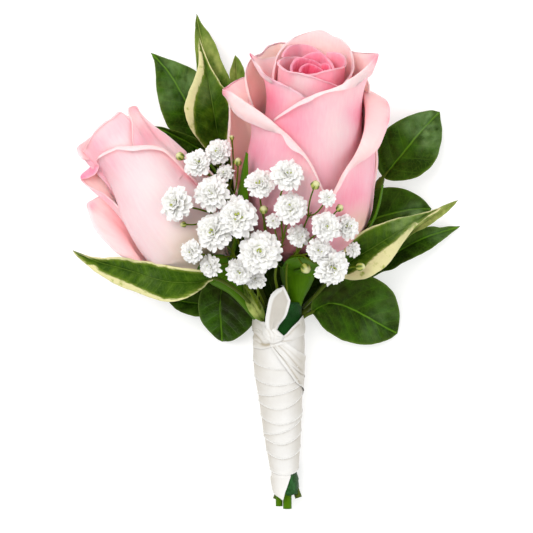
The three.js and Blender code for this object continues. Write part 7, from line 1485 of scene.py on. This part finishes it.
def spray(name, sp, index):
    parts = Parts(("green", "grey", "cut"))
    ends = []
    for k, (rows, r0, r1) in enumerate(sp["stems"]):
        ctrl = np.array([P(*q) for q in rows])
        n = 9 * len(rows)
        pts = crs(ctrl, arc_params(ctrl, n))
        s = np.linspace(0, 1, n)
        rng = np.random.RandomState(700 + 40 * index + k)
        jit = np.stack([vnoise(s * 3.1 + 9 * k, seed=rng.randint(999)) for _ in range(3)], -1) * 0.16
        pts = pts + jit * (np.sin(np.pi * s) ** 0.7)[:, None]
        pts[:, 2] -= np.maximum(0, unproject(pts)[:, 1] - 303.0) * 0.22     # in under the binding
        rad = (r0 + (r1 - r0) * s) * 0.68
        rad = rad * (1 + 0.55 * np.exp(-(s / 0.04) ** 2) * (k > 0) + 0.5 * np.exp(-((1 - s) / 0.05) ** 2))
        V, F, UV, _ = tube(pts, rad, 8)
        parts.add(V, F, UV, 1)
        ends.append((pts[-1], unit(pts[-1] - pts[-4])))
        if k > 0:                                             # a pair of bracts at the fork
            d = unit(pts[2] - pts[0])
            for sg in (-1, 1):
                side = unit(np.cross(d, [0, 0, 1.0])) * sg
                L, W = 1.5, 0.5
                tt = np.linspace(0, 1, 6)
                ctr = pts[0] + d[None] * (tt * L * 0.8)[:, None] + side[None] * (0.3 + tt * 0.55)[:, None]
                wd = W * 0.5 * np.array([0.9, 1.0, 0.85, 0.6, 0.35, 0.05])
                ax = unit(np.cross(side, d))
                G = ctr[:, None] + ax[None, None] * (np.linspace(-1, 1, 3)[None, :, None] * wd[:, None, None])
                V, F, UV, _ = thick_grid(G, 0.1)
                parts.add(V, F, UV, 1)
    tips = np.array([e[0] for e in ends])
    for i, key in enumerate(sp["heads"]):
        u, v, z, r = GYP["heads"][key]
        c, k = P(u, v, z), S * (D - z) / D
        j = np.linalg.norm(tips - c, axis=1).argmin()
        rng = np.random.RandomState(50 + 13 * index + i)
        axis = unit(np.array([(u - 268) * 0.0055, -(v - 235) * 0.0045, 1.0]) + 0.18 * ends[j][1] + rng.uniform(-0.14, 0.14, 3))
        blossom(parts, c, r * k, axis, 60 + 17 * index + 5 * i)
    for i, key in enumerate(sp["buds"]):
        u, v, z, r = GYP["buds"][key]
        c, k = P(u, v, z), S * (D - z) / D
        j = np.linalg.norm(tips - c, axis=1).argmin()
        axis = unit(ends[j][1] * 0.8 + np.array([0, 0, 0.5]))
        bud(parts, c, r * k, axis, 90 + 7 * i)
    o = parts.make(name + "_look", [WHITE, SPRAY_STALK, BUD])
    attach(o, "root")
    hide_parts(name)


for i, (name, sp) in enumerate(SPRAYS.items()):
    spray(name, sp, i)


# ------------------------------------------------------------- tape and ribbon
AV = np.array([q[1] for q in HANDLE["axis"]], float)
AU = np.array([q[0] for q in HANDLE["axis"]], float)
AR = np.array(HANDLE["rad"], float)


def handle_radius(v):
    return np.interp(v, AV, AR)


def handle_axis(v):
    v = np.asarray(v, float)
    r = handle_radius(v)
    k = S * (D - r) / D
    return np.stack([CX + (np.interp(v, AV, AU) - PX) * k, CY - (v - PY) * k, r], -1)


def handle_point(v, theta, r):
    """Point at sheet height v, theta round the handle (0 front, + right)."""
    v, theta, r = np.broadcast_arrays(np.asarray(v, float), theta, r)
    t = unit(handle_axis(v + 2.5) - handle_axis(v - 2.5))
    side = unit(np.stack([-t[..., 1], t[..., 0], 0 * v], -1))
    up = np.cross(t, side)
    return handle_axis(v) + up * (r * np.cos(theta))[..., None] + side * (r * np.sin(theta))[..., None]


def thick_tube(G, wall, **attrs):
    """A closed wall whose outer face is G (nv, nu, 3), closed along u."""
    nv, nu = G.shape[:2]
    du = np.roll(G, -1, 1) - np.roll(G, 1, 1)
    N = unit(np.cross(du, np.gradient(G, axis=0)))
    c = G.mean(axis=1, keepdims=True)
    if ((G - c) * N).sum() < 0:
        N = -N
    I = G - N * wall
    ids = np.arange(nv * nu).reshape(nv, nu)
    q = np.stack([ids[:-1], np.roll(ids, -1, 1)[:-1], np.roll(ids, -1, 1)[1:], ids[1:]], -1).reshape(-1, 4)
    fn = np.cross(G[0, 1] - G[0, 0], G[1, 0] - G[0, 0])
    if np.dot(fn, N[0, 0]) < 0:
        q = q[:, ::-1]
    n = nv * nu
    e0, e1 = ids[0], ids[-1]
    r0, r1 = np.roll(e0, -1), np.roll(e1, -1)
    rim = np.concatenate([np.stack([e0, e0 + n, r0 + n, r0], -1), np.stack([e1, r1, r1 + n, e1 + n], -1)])
    if np.dot(fn, N[0, 0]) < 0:
        rim = rim[:, ::-1]
    return np.concatenate([G.reshape(-1, 3), I.reshape(-1, 3)]), np.concatenate([q, q[:, ::-1] + n, rim])


def tape_material():
    m = Mat("tape_green", Specular_IOR_Level=0.3, Specular_Tint=(0.7, 1.0, 0.6, 1.0))
    u, v, _ = m.split(m.uv())
    crepe = m.noise(m.join(m.math("MULTIPLY", u, 3.0), m.math("MULTIPLY", v, 16.0)), 6.0, 4.0, 0.65, 0.6)
    cl = m.noise(m.place(), 320.0, 4.0, 0.6)
    c = m.mix(m.step(crepe, 0.3, 0.7), hue(4, 50, 10), hue(30, 98, 28))
    # lighter patches: painted highlights on the crinkles of the tape
    c = m.mix(m.math("MULTIPLY", m.step(cl, 0.5, 0.75), 0.5), c, hue(72, 142, 76))
    m.to("Base Color", c)
    m.to("Roughness", m.math("ADD", 0.22, m.math("MULTIPLY", cl, 0.3)))
    m.to("Normal", m.bump(crepe, 0.0007, 0.8))
    return m.m


def ribbon_material(name="ribbon_satin"):
    """UV: x across the ribbon, y along, both cm."""
    m = Mat(name, Roughness=0.34, Specular_IOR_Level=0.42, Sheen_Weight=0.2, Sheen_Roughness=0.4,
            Subsurface_Weight=0.06, Subsurface_Scale=0.0008, Subsurface_Radius=(1.0, 0.95, 0.85))
    u, v, _ = m.split(m.uv())
    warp = m.noise(m.join(m.math("MULTIPLY", u, 60.0), m.math("MULTIPLY", v, 2.0)), 3.0, 3.0, 0.6)
    weft = m.noise(m.join(m.math("MULTIPLY", u, 3.0), m.math("MULTIPLY", v, 70.0)), 2.0, 2.0, 0.5)
    soft = m.noise(m.place(), 150.0, 3.0, 0.55)
    c = m.mix(m.step(soft, 0.25, 0.75), hue(247, 246, 244), hue(239, 237, 233))
    c = m.mix(m.math("MULTIPLY", m.step(warp, 0.45, 0.8), 0.35), c, hue(226, 220, 210))
    # painted shade: sides of the handle, under the edges of the turns, along folds and creases, in the dish of the free
    # end
    c = m.mix(m.attr("shade"), c, hue(186, 174, 152))
    # paler hems: partly the ribbon's own selvage, partly painted highlight on the turned-up hems, folds, knot and picot
    # beads
    c = m.mix(m.attr("hem"), c, hue(252, 251, 248))
    m.to("Base Color", c)
    h = m.math("ADD", m.math("MULTIPLY", warp, 0.8), m.math("MULTIPLY", weft, 0.4))
    m.to("Normal", m.bump(h, 0.00009, 0.5))
    return m.m


TAPE, SATIN = tape_material(), ribbon_material()

# florist's tape: a stretched strip wound down the stems
nv, nu = 120, 60
th = np.linspace(0, 2 * np.pi, nu, endpoint=False)[None, :]
tt = np.linspace(0, 1, nv)[:, None]
low = HANDLE_EDGES["tape_low"] + HANDLE_EDGES["tape_tongue"] * np.clip(2.2 * np.sin(th) + 0.9, 0, 1) + 1.6 * fbm(th * 2.6, seed=41)
top = HANDLE_EDGES["tape_top"] - HANDLE_EDGES["tape_collar"] * np.clip(3 * np.sin(th) - 0.2, 0, 1) + 0.3 * fbm(th * 1.2, seed=42)
vv = top + (low - top) * tt
turn = (vv / 17.0 + th / (2 * np.pi)) % 1.0                  # overlapping turns
r = handle_radius(vv) - 0.86 + 0.42 * sstep(vv, 471, 480) + 0.16 * turn - 0.16 * sstep(turn, 0.94, 1.0)
r = r + 0.10 * fbm(th * 2.0 / np.pi * 3, vv / 3.5, seed=43) * np.cos(th * 0) + 0.05 * vnoise(np.sin(th) * 9, vv / 1.1, seed=44)
V, F = thick_tube(handle_point(vv, th, r), 0.3)
parts = Parts(())
uvt = np.stack([th / 6.2832 * 4.0 + 0 * vv, vv * 0.028 + 0 * th], -1).reshape(-1, 2)
parts.add(V, F, np.concatenate([uvt, uvt]))
o = parts.make("floral_tape_look", TAPE)
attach(o, "root")
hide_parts("floral_tape")

# wound ribbon: lower edge of each turn on the sheet at the left, the front, the
# right, from the bottom turn up; the slack is taken up behind
TURNS = [(468, 474, 468), (449, 456, 447), (434.5, 442, 431), (431, 430, 416.5), (413.2, 422, 412),
         (399, 406.6, 393), (391.5, 391, 381.5), (374.4, 382.3, 374), (360, 367, 361)]
WIDE = 10.0 / S                                              # ribbon width on the sheet
knots_t, knots_v = [-180.0], [474.0]
for k, (a, b, c) in enumerate(TURNS):
    back = (c + (TURNS[k + 1][0] if k + 1 < len(TURNS) else c - 15)) / 2 - 4.0
    knots_t += [-90 + 360 * k, 0 + 360 * k, 90 + 360 * k, 180 + 360 * k]
    knots_v += [a, b, c, back]
knots_t, knots_v = np.array(knots_t), np.array(knots_v)


def low_edge(deg):
    x = (np.asarray(deg, float) - knots_t[0]) / 90.0
    return crs(knots_v, x / (len(knots_v) - 1))


PER = 96                                                    # steps to a turn
total = int(PER * (len(TURNS) + 0.2))
deg = -180 + 360.0 * np.arange(total) / PER
NC = 19
cc = np.linspace(0, 1, NC)                                  # 0 upper edge, 1 lower edge
Vlow = low_edge(deg)
v_grid = np.arange(270.0, 480.0, 0.5)
H = np.zeros((PER, len(v_grid)))
off = np.zeros((total, NC))
LAYER = 0.12
SLACK = 0.30                                                # outer face of the binding to the bottom layer


def wrap_top(th):
    """Upper edge of the binding round the handle, with its V at the front."""
    x, x0 = np.sin(th), HANDLE_EDGES["neck_side"]
    d = np.where(x < x0, (x0 - x) / (1 + x0), (x - x0) / (1 - x0))
    v = HANDLE_EDGES["neck"] + (HANDLE_EDGES["back"] - HANDLE_EDGES["neck"]) * np.minimum(1, d)
    return np.where(np.cos(th) <= 0, HANDLE_EDGES["back"], v)


Vup = np.maximum(Vlow - WIDE, wrap_top(np.radians(deg)) + 4.0)
Vst = Vup[:, None] + (Vlow - Vup)[:, None] * cc[None, :]
for i in range(total):
    k = i % PER
    col = H[k]
    under = np.maximum.reduce([np.roll(col, s) for s in (-1, 0, 1)])
    under = np.convolve(np.pad(under, 3, "edge"), np.ones(7) / 7, "valid")
    under = np.maximum(under, col)
    off[i] = np.interp(Vst[i], v_grid, under)
    m = (v_grid >= Vst[i, 0]) & (v_grid <= Vst[i, -1])
    H[k, m] = np.interp(v_grid[m], Vst[i], off[i]) + LAYER
ker = np.ones(7) / 7
for j in range(NC):
    off[:, j] = np.convolve(np.pad(off[:, j], 3, "edge"), ker, "valid")
TH = np.radians(deg)[:, None]
rr = handle_radius(Vst) - SLACK + off
pull = 0.10 * fbm(TH * 1.4 + 3, cc[None] * 2.2, seed=51) + 0.05 * fbm(TH * 6.0 + cc[None] * 5, cc[None] * 3, seed=52)
rr = rr + pull * 0.8
G = handle_point(Vst, TH, rr)
s_along = np.concatenate([[0], np.cumsum(np.linalg.norm(np.diff(G[:, NC // 2], axis=0), axis=1))])
print("ribbon length mm", s_along[-1])
hem = np.exp(-((1 - cc) * 10.0 / 0.35))[None, :] + np.exp(-(cc * 10.0 / 0.35))[None, :] + 0 * rr
parts = Parts(("shade", "hem"))
below = Vst - np.concatenate([Vlow[PER:], np.full(PER, -1e3)])[:, None]     # sheet units under the next turn's edge
# painted shade where the satin turns away at the sides, and a painted shadow just under the edge of the turn above;
# plus a little uneven tone
shade = 0.62 * np.abs(np.sin(TH)) ** 2.4 + np.where(below > 0, 0.30 * np.exp(-np.maximum(below, 0) / 1.0) + 0.12 * np.exp(-np.maximum(below, 0) / 4.5), 0)
shade = shade + 0.10 * np.maximum(0, fbm(TH * 2.0 + 5, cc[None] * 2 + TH, seed=54))
Nn = grid_normals(G)
V, F, UV, A = thick_grid(G, LAYER * 0.8, {"hem": hem * 0.8, "shade": shade}, N=Nn)
uvg = np.stack([np.broadcast_to(cc[None] * 1.0, rr.shape), np.broadcast_to(s_along[:, None] * 0.1, rr.shape)], -1)
nvv, nuu = rr.shape
ids = np.arange(nvv * nuu).reshape(nvv, nuu)
border = np.concatenate([ids[0, :-1], ids[:-1, -1], ids[-1, :0:-1], ids[:0:-1, 0]])
flat = uvg.reshape(-1, 2)
parts.add(V, F, np.concatenate([flat, flat, flat[border]]), shade=A["shade"], hem=A["hem"])
# beaded selvage on the lower edge
outn = Nn * np.sign((Nn * (G - handle_axis(Vst))).sum(-1, keepdims=True))
edge_pts = G[:, -1] + outn[:, -1] * 0.09
m = int(s_along[-1] / 0.11)
q = np.linspace(0, s_along[-1], m)
ep = np.stack([np.interp(q, s_along, edge_pts[:, a]) for a in range(3)], -1)
bead = 0.075 + 0.125 * (0.5 + 0.5 * np.cos(2 * np.pi * q / 0.66)) ** 1.3 * (0.75 + 0.25 * vnoise(q / 1.7, seed=53))
V, F, UV, _ = tube(ep, bead, 6)
parts.add(V, F, UV, hem=1.0)
o = parts.make("ribbon_wrap_look", SATIN)
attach(o, "root")
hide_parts("ribbon_wrap")
wrap_piece = o

Hs = H.copy()
for _ in range(3):
    Hs = (np.roll(Hs, 1, 0) + Hs + np.roll(Hs, -1, 0)) / 3
    Hs[:, 1:-1] = (Hs[:, :-2] + Hs[:, 1:-1] + Hs[:, 2:]) / 3


def wound(th, v):
    """Height of the wound ribbon over its bottom layer."""
    a = (np.degrees(th) + 180.0) / 360.0 * PER
    i = np.floor(a).astype(int)
    f = a - i
    j = np.clip((v - v_grid[0]) / 0.5, 0, len(v_grid) - 2)
    jj = j.astype(int)
    g = j - jj
    h = lambda p, q: Hs[p % PER, q]
    return ((h(i, jj) * (1 - g) + h(i, jj + 1) * g) * (1 - f) + (h(i + 1, jj) * (1 - g) + h(i + 1, jj + 1) * g) * f)


def on_handle(rows):
    """Rows (degrees, v), or ("x", sheet x, v) on the front, as angles and v."""
    out = []
    for q in rows:
        if q[0] == "x":
            r = float(handle_radius(q[2]))
            k = (q[1] - float(np.interp(q[2], AV, AU))) * S * (D - r) / D / r
            out.append((math.degrees(math.asin(max(-0.99, min(0.99, k)))), q[2]))
        else:
            out.append(q)
    return np.array(out, float)


def band_grid(upper, lower, lift, ns, nc, base=None):
    """Strip between two edges laid on the wound handle; lift(s, c) in mm."""
    A, B = on_handle(upper), on_handle(lower)
    sc = np.array([0.12, 1.0])                               # degrees against sheet units
    ta, tb = arc_params(A * sc, ns), arc_params(B * sc, ns)
    A, B = crs(A, ta), crs(B, tb)
    c = np.linspace(0, 1, nc)[None, :]
    s = np.linspace(0, 1, ns)[:, None]
    th = np.radians(A[:, :1] * (1 - c) + B[:, :1] * c)
    v = A[:, 1:] * (1 - c) + B[:, 1:] * c
    h = wound(th, v) if base is None else base
    return handle_point(v, th, handle_radius(v) - SLACK + h + lift(s, c)), s, c


def side_shade(G):
    """Painted shade on the satin where it turns away at the sides of the handle."""
    q = unproject(G.reshape(-1, 3))
    x = np.abs(q[:, 0] - np.interp(q[:, 1], AV, AU)) / (handle_radius(q[:, 1]) / S)
    return (0.62 * np.minimum(1, x) ** 2.4).reshape(G.shape[:2])


def creased(G, lines):
    """Folds: lines on the sheet, depth and width in mm; gives painted shade along each fold too."""
    q = unproject(G.reshape(-1, 3))
    out = unit(G - handle_axis(q[:, 1].reshape(G.shape[:2])))
    drop, tone = np.zeros(G.shape[:2]), np.zeros(G.shape[:2])
    for pts, depth, width, dark in lines:
        line = crs(np.array(pts, float), np.linspace(0, 1, 24))
        d = polyline_distance(line, q)[0].reshape(G.shape[:2]) * S
        drop = np.maximum(drop, depth * np.exp(-(d / width) ** 2))
        tone = np.maximum(tone, dark * np.exp(-(d / (0.6 * width)) ** 2))
    return G - out * drop[..., None], tone


def satin_piece(name, grids, replaces_node, th=0.1, threads=()):
    """A folded length of the 10 mm ribbon."""
    parts = Parts(("shade", "hem"))
    for G, hem, shade in grids:
        nv_, nu_ = G.shape[:2]
        shade = shade + side_shade(G)
        V, F, UV, A = thick_grid(G, th, {"hem": hem + np.zeros((nv_, nu_)), "shade": shade + np.zeros((nv_, nu_))})
        sl = np.concatenate([[0], np.cumsum(np.linalg.norm(np.diff(G[:, nu_ // 2], axis=0), axis=1))])
        cl = np.concatenate([[0], np.cumsum(np.linalg.norm(np.diff(G[nv_ // 2], axis=0), axis=1))])
        uvg = np.stack([np.broadcast_to(cl[None] * 0.1, (nv_, nu_)), np.broadcast_to(sl[:, None] * 0.1, (nv_, nu_))], -1)
        ids = np.arange(nv_ * nu_).reshape(nv_, nu_)
        border = np.concatenate([ids[0, :-1], ids[:-1, -1], ids[-1, :0:-1], ids[:0:-1, 0]])
        flat_uv = uvg.reshape(-1, 2)
        parts.add(V, F, np.concatenate([flat_uv, flat_uv, flat_uv[border]]), shade=A["shade"], hem=A["hem"])
    for pts, r in threads:
        V, F, UV, _ = tube(pts, r, 5)
        parts.add(V, F, UV, hem=0.6)
    o = parts.make(name, SATIN)
    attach(o, "root")
    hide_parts(replaces_node)
    return o


def picot(G, side=-1, r=0.075):
    """Beaded selvage along one edge column of a strip."""
    e = G[:, side]
    s = np.concatenate([[0], np.cumsum(np.linalg.norm(np.diff(e, axis=0), axis=1))])
    q = np.linspace(0, s[-1], max(8, int(s[-1] / 0.13)))
    ep = np.stack([np.interp(q, s, e[:, a]) for a in range(3)], -1)
    return ep, r * (0.8 + 1.1 * (0.5 + 0.5 * np.cos(2 * np.pi * q / 0.66)) ** 1.3)


# the two bands that cross at the neck, the right one below
def lift_right(s, c):
    gather = sstep(s, 0.55, 0.9)
    return (0.16 + 0.10 * np.sin(np.pi * c) + gather * 0.34 * np.sin(np.pi * c) ** 0.7 + gather * 0.10 * np.cos(c * 17 + s * 3)
            + 0.05 * fbm(s * 9, c * 3, seed=61))


Gr, s_, c_ = band_grid(
    [(200, 316), (150, 316), (110, 315.6), (86, 315.4), (70, 317), ("x", 297.5, 323.4), ("x", 290.5, 329.6), ("x", 284.3, 335), ("x", 277, 337.5), ("x", 269, 337), ("x", 261, 331), ("x", 254.6, 326)],
    [(200, 333), (150, 333), (110, 333), (86, 332), (70, 334), ("x", 297.5, 337), ("x", 291, 340.6), ("x", 284, 343), ("x", 277, 344.6), ("x", 269.5, 346), ("x", 262, 347.5), ("x", 254.6, 347)],
    lift_right, 110, 24)
Gr, tone_r = creased(Gr, [([(299.6, 324.6), (293, 330.4), (288, 335.3), (279, 339.6)], 0.22, 0.42, 0.45),
                          ([(304.6, 335.7), (298, 337.8), (293.8, 340.3), (286, 341), (278, 341)], 0.20, 0.40, 0.5),
                          ([(254.9, 334.5), (259.8, 339.5), (262.3, 343.2)], 0.24, 0.42, 0.45),
                          ([(261.2, 344), (265, 345), (268.6, 344.4)], 0.40, 0.55, 1.0),
                          ([(256, 341), (262, 345.6)], 0.12, 0.4, 0.3)])
# painted shade in the gather where the band is pinched under the knot
pinch_shade = np.exp(-((s_ - 0.86) / 0.05) ** 2) * sstep(c_, 0.55, 0.95)
edge_hem_highlight = np.exp(-c_ * 14) * 0.8 + np.exp(-(1 - c_) * 14) * 0.6
right_band = satin_piece("ribbon_neck_right", [(Gr, edge_hem_highlight, 0.4 * pinch_shade + tone_r)], "ribbon_wrap", threads=[picot(Gr, 0, 0.055)])


def lift_left(s, c):
    gather = sstep(s, 0.5, 0.85)
    end = sstep(s, 0.94, 1.0)
    puff = np.sin(np.pi * np.clip(c, 0, 1)) ** 0.6
    return (0.34 + 0.12 * puff + gather * (0.62 * puff + 0.09 * np.cos(c * 15 - 2 * s)) * (1 - end) - 0.25 * end
            + 0.05 * fbm(s * 8, c * 3, seed=62))


Gl, s_, c_ = band_grid(
    [(-200, 316), (-150, 316), (-110, 316.2), (-86, 316.6), ("x", 255.5, 318.2), ("x", 260, 320.2), ("x", 265.9, 322.9), ("x", 271, 326), ("x", 276.8, 329.8), ("x", 281, 333), ("x", 284.6, 336)],
    [(-200, 333), (-150, 333), (-110, 332), (-86, 329.5), ("x", 255.5, 330.5), ("x", 260, 333.6), ("x", 264.5, 338), ("x", 268.5, 341.6), ("x", 273.5, 343.2), ("x", 279, 341.6), ("x", 284.2, 338)],
    lift_left, 110, 26)
Gl, tone_l = creased(Gl, [([(254, 328.7), (258.2, 330.4), (262.3, 333.7), (266.5, 337.8), (270.6, 342)], 0.34, 0.45, 0.5),
                          ([(257, 322), (264, 327.4), (269, 333), (271.6, 341)], 0.14, 0.40, 0.22),
                          ([(262, 325.4), (269, 330), (274, 335.6), (273.6, 341.4)], 0.12, 0.36, 0.2),
                          ([(258, 336), (264, 340.2), (269.6, 342.6)], 0.16, 0.36, 0.3)])
# painted shade along the lower edge of the gathered part
fold_shade = 0.35 * np.exp(-((1 - c_) / 0.10) ** 2) * sstep(s_, 0.6, 0.8)
left_band = satin_piece("ribbon_neck_left", [(Gl, np.exp(-c_ * 14) * 0.8, fold_shade + tone_l)], "ribbon_wrap")


# the fan of folds from the knot down to the right
def lift_fan(s, c):
    roll = np.exp(-((1 - c) / 0.10) ** 2) * 0.22
    return (0.27 + roll + 0.14 * np.cos(c * 9.0 + 0.4) * np.exp(-s * 2.2) + 0.04 * fbm(s * 6, c * 4, seed=63)) * (1 - 0.35 * sstep(s, 0.6, 0.85))


Ga, s_, c_ = band_grid(
    [("x", 273.4, 342.4), ("x", 280, 350), ("x", 287.9, 358.4), ("x", 294.8, 365.2), ("x", 300.5, 370.6), (92, 374), (120, 380), (165, 388)],
    [("x", 270.6, 343.6), ("x", 276, 352), ("x", 283, 362.6), ("x", 290, 373), ("x", 296, 382), (84, 391), (120, 400), (165, 408)],
    lambda s, c: lift_fan(s, c) + 0.12 * (1 - sstep(s, 0.34, 0.55)), 90, 20)
Gb, s2, c2 = band_grid(
    [("x", 273.6, 341.8), ("x", 280, 341.4), ("x", 286, 342.2), ("x", 293, 346.2), ("x", 299, 350.6), (86, 355.4), (120, 359), (165, 362)],
    [("x", 272.6, 343.4), ("x", 280.6, 352.6), ("x", 288.6, 361.2), ("x", 295.6, 368.6), ("x", 300.4, 373.4), (90, 378), (120, 384), (165, 392)],
    lift_fan, 90, 20)
Ga, tone_a = creased(Ga, [([(271.2, 344.4), (277.6, 351.4), (284.6, 360.4), (291.4, 369.6), (297.6, 378.6), (300.4, 383.4)], 0.30, 0.34, 0.62),
                          ([(273, 344.2), (280, 351), (288, 360), (296, 368.4), (301, 374)], 0.16, 0.34, 0.30)])
Gb, tone_b = creased(Gb, [([(275.6, 343.4), (284, 350.4), (293, 360.4), (301, 369.6)], 0.26, 0.36, 0.55),
                          ([(277.6, 342.8), (288, 349.4), (301.6, 361.6)], 0.10, 0.34, 0.2)])
# painted shade where the fan comes out from under the knot, and along its folds
fan = satin_piece("ribbon_fan", [(Ga, np.exp(-(1 - c_) * 12) * 0.8, 0.4 * np.exp(-s_ * 30) + tone_a), (Gb, np.exp(-c2 * 12) * 0.6, 0.5 * np.exp(-s2 * 24) + tone_b)],
                  "ribbon_wrap", threads=[picot(Ga, -1, 0.06), picot(Gb, 0, 0.055)])


# the knot: a tight pleated turn over the crossing
def lift_knot(s, c):
    bow = np.sin(np.pi * s) ** 0.5 * np.sin(np.pi * c) ** 0.55
    return 0.50 + 0.72 * bow + 0.07 * np.cos(c * 21 + s * 2) * bow


Gk, s_, c_ = band_grid(
    [("x", 262.6, 324.6), ("x", 267.5, 325.4), ("x", 272.5, 328.2), ("x", 277.5, 332), ("x", 281, 335.6)],
    [("x", 263.4, 334.6), ("x", 266.4, 339.2), ("x", 270.2, 342.6), ("x", 275, 343), ("x", 279.4, 340.6)],
    lift_knot, 36, 24)
Gk, tone_k = creased(Gk, [([(265, 326.4), (269.4, 333), (271.2, 341)], 0.16, 0.36, 0.3),
                          ([(271, 328.6), (274, 334.6), (273.4, 341.6)], 0.16, 0.36, 0.3),
                          ([(276.6, 332.4), (277.8, 337), (276, 341.4)], 0.14, 0.34, 0.3)])
# painted shade along the lower edge of the knot and in its pleats
knot = satin_piece("ribbon_knot_look", [(Gk, 0.15, 0.35 * np.exp(-((1 - c_) / 0.08) ** 2) + tone_k)], "ribbon_knot")


def free_end(ld, ns, nc, shape):
    G, w, half, along = leaf_grid(ld, nc, ns)
    return shape(G, w, half, along), w, half, along


def upper_shape(G, w, half, along):
    a = np.abs(w)[None, :]
    s = (along / along[-1])[:, None]
    dish = -1.2 * (1 - a ** 2.6) * sstep(s, 0.05, 0.5) * (1 - 0.5 * s) - 2.3 * (1 - sstep(s, 0.1, 0.55))
    wide_hem = np.where(w < 0, 1.15, 0.6)[None, :]
    hem_d = np.abs(half - a * half - wide_hem)
    ridge = 0.16 * np.exp(-(hem_d / 0.25) ** 2) * (1 - s) ** 0.3
    pleat = 0.22 * np.cos(w[None, :] * 9) * (1 - s) ** 2.5
    G = G.copy()
    G[..., 2] += dish + ridge + pleat + 0.5 + 0.12 * fbm(w[None, :] * 3, s * 4, seed=71)
    return G


Gu, w_, half_, along_ = free_end(RIBBONS["ribbon_end_upper"], 60, 33, upper_shape)
a_ = np.abs(w_)[None, :]
band_w = sstep((half_ - a_ * half_) / np.where(w_ < 0, 1.4, 0.75)[None, :], 0.55, 1.0)
hem_highlight_upper = (1 - band_w) * 1.0
tip = Gu[-1, 16]
threads = []
for i, (dx, dy, dz, L) in enumerate([(-0.6, -0.1, 0.1, 2.4), (-1.0, -0.3, -0.1, 3.2), (-0.3, 0.5, 0.2, 1.0), (-0.8, 0.2, 0.3, 1.6), (0.1, 0.6, 0.1, 0.7)]):
    st = Gu[-1 - (4 if i in (1, 3) else 1), 8 if i in (1, 3) else 14]
    t = np.linspace(0, 1, 8)[:, None]
    d = unit(np.array([dx, dy, dz]))
    threads.append((st + d * t * L + np.array([0, -0.25, 0.1]) * t ** 2 * L + 0.08 * np.sin(t * 9 + i), 0.045))
# painted shade in the dish between the turned-up hems
end_upper = satin_piece("ribbon_end_upper_look", [(Gu, hem_highlight_upper, 0.52 * band_w * (0.75 + 0.25 * np.exp(-((along_ / along_[-1])[:, None] - 0.5) ** 2 / 0.12)))],
                        "ribbon_end_upper", th=0.12, threads=threads)

# lower tail: comes out below the last turn and lies on the tape
Gt, s_, c_ = band_grid(
    [(-93, 463), (-91, 470), ("x", 271.2, 484.2), ("x", 272.3, 489.1), ("x", 274.6, 493.2), ("x", 278.5, 496.2), ("x", 282.3, 499.2)],
    [("x", 293, 463), ("x", 290.9, 474.5), ("x", 289.4, 479), ("x", 288, 483.1), ("x", 286.2, 488), ("x", 284.7, 491.8), ("x", 283.0, 499.0)],
    lambda s, c: 0.14 + 0.10 * np.sin(np.pi * c) + 0.05 * fbm(s * 6, c * 5, seed=72) + 0.12 * sstep(s, 0.5, 0.9) - 0.46 * (1 - sstep(s, 0.25, 0.37)), 72, 26, base=0.0)
tail = satin_piece("ribbon_tail_look", [(Gt, np.exp(-(1 - c_) * 12) * 0.7, 0.0 * c_)], "ribbon_tail", threads=[picot(Gt, -1, 0.05)])
